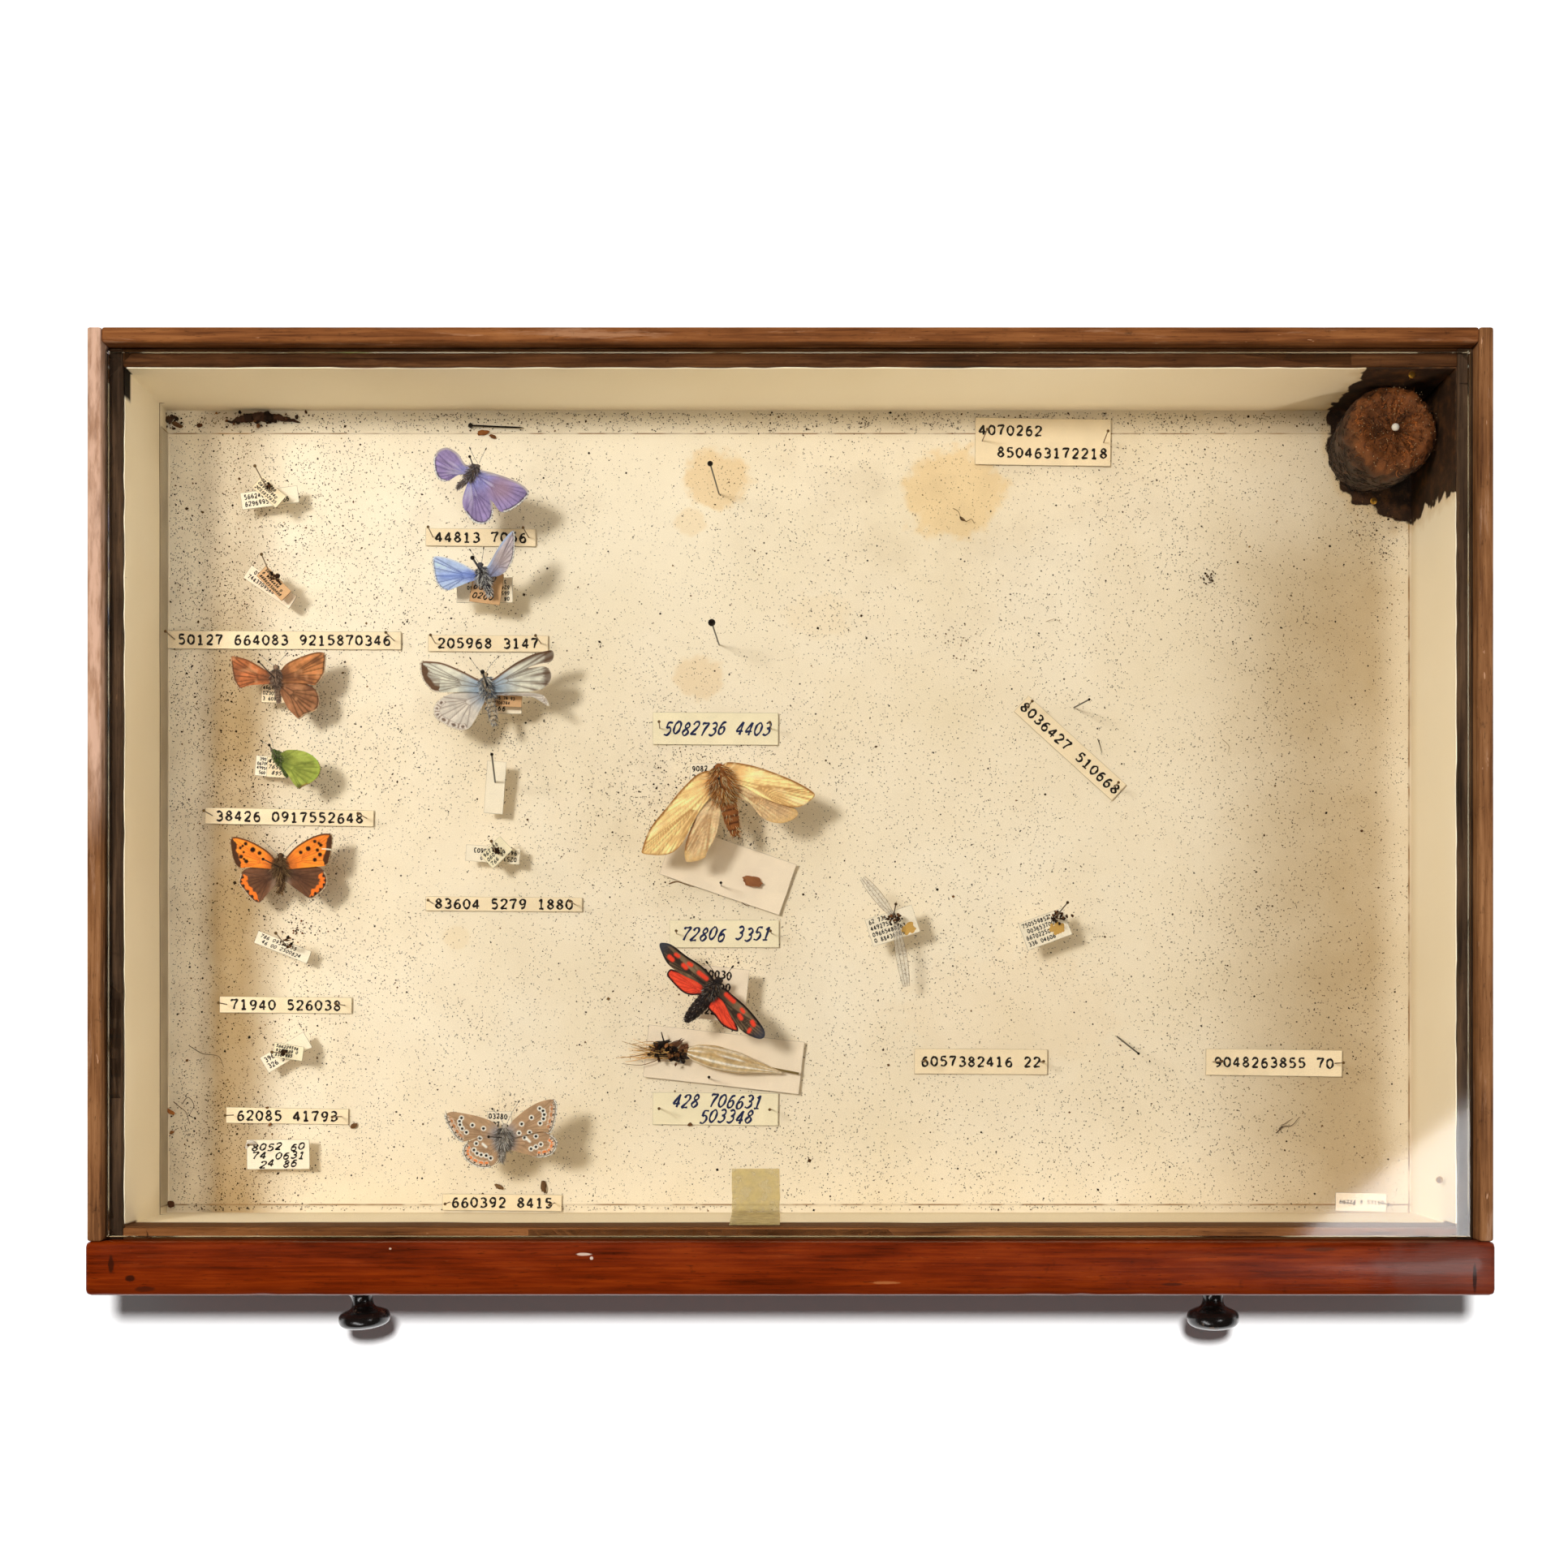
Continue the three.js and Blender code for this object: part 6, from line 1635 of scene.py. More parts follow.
SPECIMENS = {
    "holly_blue": {
        "at": (-82.8, 98.0, 29), "pin": ((-83.3, 97.4), (-82.6, 98.8)), "spacing": 0.27,
        "wings": [
            Wing([(0, 0), (-1.1, 1.9), (-3, 2.5), (-4.9, 5.2), (-7.7, 6.7), (-10.1, 5.8), (-11.1, 3.3),
                  (-10.7, 0), (-9.3, -1.9), (-7.1, -1.9), (-4.4, -0.4)], 0.3, -0.08, 0, (5.6, 8.6),
                 paint_holly, fringe=HOLLY_FRINGE),
            Wing([(-0.8, 0.4), (1.1, -2.2), (3.3, -4.9), (4.2, -8.2), (3.8, -11.5), (1.6, -13.1),
                  (-1.1, -12.3), (-3.3, -9.3), (-3.7, -6.6), (-2.4, -2.3)], -0.3, 0, 0, (3.4, 6.8),
                 paint_holly, fringe=HOLLY_FRINGE),
            Wing([(-0.3, 1), (5.5, -0.3), (11, -2.5), (13.7, -4.7), (13.1, -6.6), (11, -8.5), (8.5, -9.9),
                  (6.3, -10.1), (4.4, -7.7), (2.2, -5.5), (-0.6, -1.4)], 0.3, 0.07, 0, (3.2, 6.6),
                 paint_holly, fringe=HOLLY_FRINGE),
        ],
        "thorax": ((0.3, 2.3, 0), (-2.4, -1.3, 0), 1.25),
        "abdomen": ((-1.6, -0.6, 0), (-5.4, -3.8, -0.6), 0.8),
        "head": ((0.2, 1.8, 0.3), 0.75), "body": (120, 108, 104), "band": (74, 66, 66),
        "fur": [(132, 124, 128), (186, 180, 188), (88, 80, 82), (150, 128, 108)], "fur_length": 1.4,
        "feelers": [[(0.3, 2.8, 0.3), (-0.8, 4.6, 0.8), (-1.6, 6.4, 1.2)],
                    [(0.7, 2.8, 0.3), (1.5, 4.4, 0.8), (2.6, 6.2, 1.4)]],
        "legs": [[(-0.6, 0.8, -0.2), (1.4, 1.2, -2), (2.4, 0.4, -5)],
                 [(-1.4, 0, -0.2), (-3, 1, -2), (-3.4, 1.2, -4.6)]],
        "cards": [],
    },
    "adonis_blue": {
        "at": (-81.3, 71.8, 27), "pin": ((-80.9, 71.1), (-81.9, 72.7)), "spacing": 0.27,
        "wings": [
            Wing([(-0.2, 0), (-2.5, 0.9), (-5.2, 2.5), (-8.5, 3.8), (-11.2, 4.4), (-12.9, 4.2), (-13.1, 2.5),
                  (-12.6, -0.8), (-11.8, -3), (-9.8, -4.5), (-6.8, -3.6), (-3.6, -2.2), (-0.4, -1)],
                 0.3, -0.12, 0, (5.2, 9.2), paint_adonis_left, fringe=PALE_FRINGE),
            Wing([(0, -0.6), (0.6, 1.2), (1.9, 2.6), (4.1, 5.7), (6.3, 8.2), (8.5, 9.8), (9.1, 8.8),
                  (9.1, 5.7), (8.5, 2.5), (6.3, -0.3), (3.6, -1.1)], 0, 0.75, 0.1, (5.4, 8.6),
                 paint_adonis_right, fringe=PALE_FRINGE),
        ],
        "thorax": ((-0.6, 2, 0), (0.4, -2, 0), 1.45), "abdomen": ((0, -1, -0.2), (1.8, -5.6, -0.8), 1.0),
        "head": ((-0.8, 2.4, 0.2), 0.8), "body": (86, 84, 90), "band": (52, 48, 50),
        "fur": [(104, 106, 120), (222, 220, 216), (244, 240, 232), (70, 66, 70)], "fur_length": 2.2,
        "feelers": [[(-0.9, 2.6, 0.3), (-2, 4.2, 1.2), (-3.2, 6, 2)],
                    [(-0.5, 2.6, 0.3), (0, 4.6, 1.4), (0.4, 6.4, 2.6)]],
        "legs": [[(0.4, 0, -0.8), (2.2, 0.6, -2.6), (3, 0, -5)],
                 [(-0.6, -0.4, -0.8), (-2, -1, -3), (-2.6, -2.2, -5)]],
        "cards": [(-0.5, -2.9, 15, 6.8, 0, 20, WHITE_CARD), (0.4, -2.9, 8.2, 8.4, -8, 23, ORANGE_CARD)],
    },
    "chalk_hill_blue": {
        "at": (-80.5, 42.0, 26), "pin": ((-81.2, 41.2), (-79.3, 43.3)), "spacing": 0.27,
        "wings": [
            Wing([(0, -0.4), (-7.5, -1.4), (-10.3, -2.1), (-12.6, -3.5), (-14, -5.6), (-13.6, -8),
                  (-11.2, -9.8), (-8, -11.2), (-5.1, -11.1), (-3.3, -8.9), (0, -2.4)], -0.3, -0.03, 0,
                 (2.6, 8.0), paint_chalk_hind, fringe=BUFF_FRINGE),
            Wing([(0, -0.4), (8, -0.8), (11.7, -1.5), (15, -2.3), (16.4, -4.2), (16.4, -5.1), (14, -3.7),
                  (11.5, -2.6), (4.7, -2.2), (0.4, -1.8)], -0.3, 0.06, 0, (3.0, 5.4), paint_chalk_hind),
            Wing([(0, 1), (-2.8, 2.3), (-6.6, 4.2), (-11.2, 6.1), (-14.5, 6.6), (-17.1, 6.5), (-17.4, 4.7),
                  (-16.9, 2.3), (-15.4, 0), (-13.1, -1.4), (-5.6, -1.4), (0, -1.2)], 0.3, -0.06, 0,
                 (4.9, 9.1), paint_chalk_fore, fringe=BUFF_FRINGE),
            Wing([(0, 1), (2.3, 2.5), (4.7, 4.2), (8.4, 6.6), (12.2, 8.4), (15.9, 9.3), (17.6, 9.4), (18, 8),
                  (17.1, 6.5), (14, 5.9), (11.2, 4.9), (15.9, 5.1), (17.3, 2.6), (15.9, 0), (13.1, -1.2),
                  (8, -1.4), (0.4, -1.2)], 0.3, 0.08, 0, (5.8, 14.2), paint_chalk_fore),
        ],
        "thorax": ((-0.5, 2.8, 0), (0.5, -2.6, 0), 1.55),
        "abdomen": ((0.3, -1.6, -0.1), (2, -10.1, -0.6), 1.25),
        "head": ((-0.6, 3.2, 0.2), 0.9), "body": (200, 180, 150), "band": (118, 102, 86),
        "fur": [(116, 126, 142), (176, 182, 188), (226, 222, 212), (84, 84, 90)], "fur_length": 2.0,
        "feelers": [[(-0.8, 3.4, 0.3), (-2.6, 5.2, 0.9), (-4.2, 7.4, 1.4)],
                    [(-0.4, 3.4, 0.3), (1.2, 5.8, 1), (3.2, 7.8, 1.4)]],
        "legs": [[(0.5, 0, -0.8), (2.6, -1, -3), (3.4, -3.4, -5)],
                 [(-0.6, -0.8, -0.8), (-2, -2, -3), (-2.4, -4.4, -5)]],
        "cards": [(4, -1.8, 10, 5.6, -4, 22, ORANGE_CARD), (3.2, -2.9, 10.6, 6.6, 0, 19, WHITE_CARD)],
    },
    "green_hairstreak": {
        "at": (-137.4, 44.9, 22), "pin": ((-137.9, 44.2), (-137.0, 45.9)), "spacing": 0.27,
        "wings": [
            Wing([(0, -0.2), (5.2, -0.7), (8.5, -1.6), (10.8, -3.3), (11.5, -5.2), (11.3, -7.5), (10.4, -8.5),
                  (9, -9.2), (7.5, -9.7), (6.1, -10.7), (4.7, -9.7), (2.8, -7.5), (0.2, -2)], -0.3, 0.03, 0,
                 (3.0, 9.2), paint_hairstreak((146, 98, 66)), fringe=BUFF_FRINGE),
            Wing([(0, 0.6), (-1.8, 1.6), (-4.2, 3.1), (-7.5, 4.9), (-10.4, 5.7), (-11.9, 5.6), (-11.8, 2.8),
                  (-11.1, -0.5), (-10.1, -2.4), (-9.2, -2.6), (-6.6, -1.9), (0, -1.2)], 0.2, -0.05, 0,
                 (5.0, 8.6), paint_hairstreak((178, 104, 62)), fringe=BUFF_FRINGE),
            Wing([(0, 0.6), (0.9, 1.6), (2.8, 3.8), (6.1, 5.4), (9.9, 6.7), (12.3, 6.9), (13.3, 6.1),
                  (13.3, 4.2), (13, 1.4), (11.8, -0.7), (10.4, -1.9), (6.6, -1.3), (0, -1)], 0.2, 0.05, 0,
                 (5.6, 9.8), paint_hairstreak((176, 114, 68)), fringe=BUFF_FRINGE),
        ],
        "thorax": ((0, 2.6, 0), (0.1, -2.2, 0), 1.35), "abdomen": ((0.1, -1.4, 0), (0.6, -6.6, -0.4), 0.85),
        "head": ((0, 2.9, 0.2), 0.8), "body": (150, 122, 102), "band": (92, 72, 60),
        "fur": [(134, 116, 106), (178, 152, 130), (98, 80, 70)], "fur_length": 1.3,
        "feelers": [[(-0.3, 3.2, 0.2), (-2, 4.4, 0.7), (-4.2, 6.2, 1)],
                    [(0.3, 3.2, 0.2), (1.4, 4.9, 0.7), (3.1, 6.5, 1)]],
        "legs": [[(0.4, 0, -0.6), (2, 1.4, -2.4), (2.6, 2.6, -4.4)],
                 [(-0.6, -0.8, -0.6), (-2.4, -2, -2), (-3.2, -3.2, -4.6)],
                 [(-0.8, -1, -0.5), (-3.6, -1.4, -1.2), (-5, -2.8, -2.4)]],
        "cards": [(-1.9, -2.5, 6.4, 6.6, -2, 16.5, PEACH)],
    },
    "green_hairstreak_closed": {
        "at": (-136.2, 23.3, 24), "pin": ((-138.5, 22.3), (-134.3, 24.4)), "spacing": 0.27,
        "wings": [
            Wing([(-0.6, 0), (1.1, 1.6), (2.9, 2.2), (6.7, 1.8), (9.5, 0.2), (10.9, -2.1), (10.5, -4.5),
                  (8.6, -6.4), (6.2, -7.5), (5.3, -8), (3.9, -6.8), (2.5, -4.5), (0.4, -1.6)],
                 0.4, -0.04, 0.02, (4.6, 9.0), paint_green, fringe=((150, 122, 72), (96, 76, 44), 9, 0.3)),
        ],
        "thorax": ((-1.3, 2, -0.2), (0.8, -1.8, -0.4), 1.1), "abdomen": ((0.4, -1, -0.4), (2, -5, -0.8), 0.8),
        "head": ((-1.4, 1.8, 0), 0.75), "body": (96, 112, 66), "band": (62, 66, 40),
        "fur": [(104, 132, 66), (70, 84, 50), (140, 140, 104)], "fur_length": 1.0,
        "feelers": [[(-1.7, 2.2, 0.1), (-3, 3.6, 0.4), (-4.6, 4.6, 0.6)],
                    [(-1.5, 2.4, 0.1), (-1.8, 4.4, 0.5), (-2.4, 6, 0.8)]],
        "legs": [[(-1, 0, -0.6), (-3, -0.2, -1.6), (-4.2, -1.2, -3.6)]],
        "cards": [(-4.4, -1.3, 7.6, 5.4, -5, 15.6, WHITE_CARD), (-1.7, -1.9, 5.4, 5.4, -3, 18.6, PEACH)],
    },
    "small_copper": {
        "at": (-136.2, -5.8, 22), "pin": ((-136.4, -6.2), (-135.9, -5.0)), "spacing": 0.24,
        "wings": [
            Wing([(0, 0.2), (-6.8, 0.2), (-9.7, -0.5), (-10.8, -2.4), (-11.1, -4.2), (-9.7, -6.1), (-8.2, -8),
                  (-6.1, -9.4), (-4, -7.5), (0, -2.4)], -0.3, -0.03, 0, (2.6, 7.2), paint_copper_hind,
                 fringe=BUFF_FRINGE),
            Wing([(0, 0.2), (7.8, 0.3), (10.6, 0), (12, -1.9), (12.4, -3.8), (11.5, -5.7), (9.7, -7.3),
                  (8, -8.2), (5.4, -6.6), (0, -2.4)], -0.3, 0.03, 0, (2.6, 7.2), paint_copper_hind,
                 fringe=BUFF_FRINGE),
            Wing([(0, 0.8), (-1.4, 2.3), (-3.5, 4.5), (-7.3, 6.8), (-10.6, 8), (-12.5, 8.2), (-13.3, 7.4),
                  (-13.2, 5.7), (-12.7, 2.8), (-11.8, 0.7), (-10.6, -0.1), (-7.8, 0.1), (0, -0.4)],
                 0.3, -0.05, 0, (5.4, 10.0), paint_copper_fore, fringe=BUFF_FRINGE),
            Wing([(0, 0.8), (1.2, 2.4), (4, 5.4), (7.8, 7.8), (11.1, 9), (13.4, 9), (14, 8), (13.9, 5.7),
                  (13.4, 2.8), (12.5, 0.7), (9.2, 0.2), (0, -0.4)], 0.3, 0.05, 0, (5.0, 9.2),
                 paint_copper_fore, fringe=BUFF_FRINGE),
        ],
        "thorax": ((0, 3, 0), (0, -2.4, 0), 1.6), "abdomen": ((0, -1.4, 0), (-0.2, -7, -0.6), 1.2),
        "head": ((0, 3.2, 0.2), 0.85), "body": (92, 68, 50), "band": (58, 44, 34),
        "fur": [(124, 96, 68), (82, 62, 46), (164, 132, 94)], "fur_length": 2.1,
        "feelers": [[(-0.4, 3.4, 0.3), (-2.4, 5.2, 0.8), (-4.4, 7, 1.2)],
                    [(0.3, 3.4, 0.3), (2.2, 5.4, 0.8), (4.2, 7.2, 1.2)]],
        "legs": [[(0.6, 0, -0.8), (2, -1, -2.8), (2.6, -3, -4.6)],
                 [(-0.6, 0, -0.8), (-2, -1, -2.8), (-2.6, -2.6, -4.6)]],
        "cards": [],
    },
    "common_blue": {
        "at": (-75.9, -77.7, 29), "pin": ((-73.9, -78.9), (-77.7, -76.6)), "spacing": 0.22,
        "wings": [
            Wing([(0, 0.8), (-2.3, 4), (-6.1, 5.6), (-10.2, 6.5), (-13.5, 6.9), (-14.9, 6), (-14.8, 4.7),
                  (-13.7, 2.3), (-12.1, 0), (-10.2, -0.9), (-6.1, 0), (0, -0.6)], 0.3, -0.05, 0, (4.8, 9.0),
                 paint_common, fringe=PALE_FRINGE),
            Wing([(0, 0.8), (0.9, 2.3), (3.3, 5.1), (6.5, 7.7), (9.8, 9.5), (13, 10.2), (14.2, 9.3),
                  (14.3, 7), (13.7, 3.7), (12.6, 1.4), (9.8, 1.6), (0, -0.6)], 0.3, 0.08, 0, (5.4, 9.2),
                 paint_common, fringe=PALE_FRINGE),
            Wing([(0, 0.4), (-4.2, 0.5), (-7.9, -0.5), (-10, -1.9), (-10.5, -4.2), (-9.3, -6.1), (-7, -7.5),
                  (-4.2, -7.9), (-1.9, -6.5), (0, -2.4)], -0.3, -0.03, 0, (2.6, 7.4), paint_common,
                 fringe=PALE_FRINGE),
            Wing([(0, 0.4), (5.1, 2.1), (9.8, 1.9), (12.6, 0.7), (14, -0.5), (14.3, -1.9), (13, -4.2),
                  (10.2, -5.1), (7.5, -4.7), (0.2, -2.4)], -0.3, 0.05, 0, (3.0, 7.6), paint_common,
                 fringe=PALE_FRINGE),
        ],
        "thorax": ((0.5, 2.8, 0), (0.1, -2.4, 0), 1.6), "abdomen": ((0.1, -1.4, 0), (-0.6, -6.4, -0.6), 1.1),
        "head": ((0.6, 3.0, 0.2), 0.85), "body": (190, 180, 168), "band": (130, 118, 106),
        "fur": [(226, 220, 210), (188, 184, 180), (132, 124, 118), (92, 78, 66)], "fur_length": 2.3,
        "feelers": [[(0.9, 3.2, 0.3), (2.4, 6.4, 1), (4.4, 9.6, 1.6)],
                    [(0.5, 3.2, 0.3), (-0.8, 5.6, 0.9), (-2.6, 7.6, 1.4)]],
        "legs": [[(0.6, 0, -0.8), (2.2, -1, -2.8), (2.8, -2.6, -5)],
                 [(-0.6, -0.6, -0.8), (-2.4, -1.6, -3), (-3, -3, -5)],
                 [(-0.8, 0.4, -0.8), (-3, 2.2, -2), (-4.6, 3.2, -4)]],
        "cards": [(-1.7, 2.1, 6.5, 9.2, 0, 22, WHITE_CARD)],
    },
    "swift_moth": {
        "at": (-17.7, 14.7, 27), "pin": ((-17.8, 13.6), (-18.4, 15.8)), "spacing": 0.34,
        "wings": [
            Wing([(-0.4, 3), (-4.7, 0.5), (-7.5, -7.5), (-9.8, -14), (-10.2, -17.3), (-9.3, -19.2),
                  (-5.1, -18.2), (-4.2, -16.4), (-1.9, -12.1), (-0.9, -7.5), (0.2, 0.6)], -0.4, -0.02, 0.06,
                 (3.6, 7.0), paint_moth(True), "thin_scales", 0.6),
            Wing([(-0.2, 3.6), (2.3, 2.9), (7, 0.6), (11.7, -1.6), (16.4, -3.6), (19.2, -5.2), (19.9, -6.8),
                  (18.2, -8.2), (15.4, -9), (12.6, -8.6), (9.8, -7), (7, -3.7), (0.8, 0.4)], -0.4, 0.04, 0.03,
                 (4.6, 9.4), paint_moth(True), "thin_scales", 0.6),
            Wing([(-0.6, 4.4), (-5.6, 4.4), (-10.3, 0.5), (-15, -5.1), (-19.2, -10.3), (-21.3, -15.4),
                  (-21, -17.1), (-15, -17.3), (-11.7, -15.4), (-9.3, -11.7), (-6.1, -5.6), (-0.6, 1.2)],
                 0.5, -0.04, 0.1, (5.2, 8.4), paint_moth(False), camber=0.8),
            Wing([(-0.4, 4.4), (0.9, 7), (7, 6.3), (13.1, 4.4), (19.2, 1.9), (23.4, -0.5), (24.3, -1.9),
                  (22.4, -3.7), (19.6, -4.9), (15.4, -4.2), (9.8, -1.9), (5.1, 0.9), (0, 2.2)],
                 0.5, 0.05, 0.04, (5.4, 9.0), paint_moth(False), camber=0.8),
        ],
        "thorax": ((-1.2, 6.3, 0), (0.8, -3.4, 0), 3.5), "abdomen": ((0.4, 0, 0), (3.4, -12.6, -0.8), 2.3),
        "head": ((-1.0, 5.6, 0.3), 1.4), "body": (150, 92, 52), "band": (86, 50, 30),
        "fur": [(232, 172, 102), (176, 116, 64), (255, 230, 180), (124, 78, 46), (206, 142, 80)],
        "fur_length": 2.5,
        "feelers": [],
        "legs": [[(0.6, 1, -1.4), (2.8, -1, -3), (3.6, -3, -6)], [(-1, 1, -1.4), (-3, 0, -3), (-4, -2, -6)]],
        "cards": [(-3.8, 2.8, 10.4, 9.6, 0, 20, WHITE_CARD)],
    },
    "burnet_moth": {
        "at": (-20.4, -38.8, 28), "pin": ((-20.1, -39.6), (-20.6, -38.1)), "spacing": 0.27,
        "wings": [
            Wing([(0, 0.4), (-1.9, 2.3), (-7.5, 4.6), (-10.3, 5.6), (-11.4, 5.6), (-12.1, 4.2), (-10.7, 2.3),
                  (-8.4, 0), (-6.5, -1), (-4.2, -1.1), (-0.8, -0.8)], -0.4, -0.04, 0, (4.0, 9.0),
                 paint_burnet_hind),
            Wing([(0, 0), (2.4, -1.6), (4.4, -5), (6.6, -9.6), (6.3, -10.8), (2.8, -9.3), (0.5, -6.5),
                  (-1.4, -4.2), (-0.8, -1)], -0.4, 0, -0.04, (3.0, 7.0), paint_burnet_hind),
            Wing([(0.4, 0.6), (0.4, 3), (-2.8, 6.5), (-7, 9.3), (-10.7, 12.1), (-13.1, 12.7), (-14, 12.2),
                  (-13.5, 10.3), (-11.7, 7), (-7.9, 4.2), (-4.2, 2.4), (-0.6, -0.2)], 0.5, -0.05, 0.03,
                 (5.4, 8.0), paint_burnet_fore),
            Wing([(0, 0.4), (2.8, 0.9), (5.1, -0.9), (8.9, -4.2), (12.1, -7.9), (13.8, -10.7), (13.5, -12.4),
                  (11.7, -12.6), (7.9, -10.7), (5.1, -7), (2.8, -2.9), (-0.4, -0.4)], 0.5, 0.05, -0.02,
                 (5.0, 8.0), paint_burnet_fore),
        ],
        "thorax": ((1.2, 2.4, 0), (-1.6, -2, 0), 2.1), "abdomen": ((-0.8, -1, 0), (-7.4, -8.3, -0.6), 2.0),
        "head": ((1.6, 2.6, 0.3), 1.1), "body": (46, 40, 40), "band": (26, 22, 24),
        "fur": [(66, 60, 60), (38, 34, 36), (124, 100, 78), (150, 146, 140)], "fur_length": 1.3,
        "feelers": [[(1.6, 2.8, 0.3), (3.6, 4.2, 0.9), (5.2, 6.2, 1.2)],
                    [(1.2, 3, 0.3), (0.2, 5.2, 0.9), (-1.4, 7.4, 1.2)]],
        "legs": [[(0.8, -0.6, -1), (1.4, -3, -3), (1.6, -5.6, -6)],
                 [(-0.8, -0.8, -1), (-3, 0, -3), (-4.2, 0.8, -5.6)]],
        "cards": [(2.4, -0.8, 13.2, 14.4, -6, 20, PINKISH)],
    },
}


def build_specimen(index, node, look):
    shape = Shape()
    rng = np.random.default_rng(100 + index)
    x, y, z = look["at"]
    for wing in look["wings"]:
        wing.build(shape, look["at"], look["spacing"])

    def here(point):
        return (point[0] + x, point[1] + y, point[2] + z)

    a, b, radius = look["thorax"]
    segment(shape, here(a), here(b), radius, look["body"], 0.12, seed=index)
    dense = 1400 if node == "swift_moth" else 620
    fur(shape, here(a), here(b), radius, look["fur"], dense, look["fur_length"], rng, 0.6, 0.075)
    tail_a, tail_b, tail_radius = look["abdomen"]
    abdomen(shape, here(tail_a), here(tail_b), tail_radius, look["body"], look["band"])
    fur(shape, here(tail_a), here(tail_b), tail_radius * 0.85, look["fur"], 260, look["fur_length"] * 0.5,
        rng, 1.0)
    head, size = look["head"]
    ball(shape, here(head), size, look["body"], "fur", 8, 10, 0.08)
    eyes(shape, here(head), size * 0.45, size * 0.7)
    thick_club = node == "burnet_moth"
    for path in look["feelers"]:
        feeler(shape, [here(p) for p in path], 0.26 if thick_club else 0.17, rings=not thick_club)
    for path in look["legs"]:
        leg(shape, [here(p) for p in path])
    for level, (dx, dy, length, width, turn, height, tint) in enumerate(look["cards"]):
        seed = 300 + index * 5 + level
        spot = card(shape, x + dx, y + dy, length, width, turn, height, tint, 0.2, 0.1, seed=seed)
        small_print(shape, spot, length, width, 4 if level == 0 else 3, seed, INK, level == 1,
                    flip=node == "adonis_blue" and level == 0)
    foot, top = look["pin"]
    stout = node in ("adonis_blue", "chalk_hill_blue")
    pin(shape, foot, top, head_radius=0.6 if stout else 0.4, tint=(30, 26, 25) if stout else PIN_COLOR,
        radius=0.3 if stout else 0.17)
    shape.piece(f"{node}.specimen", "insect", [node])


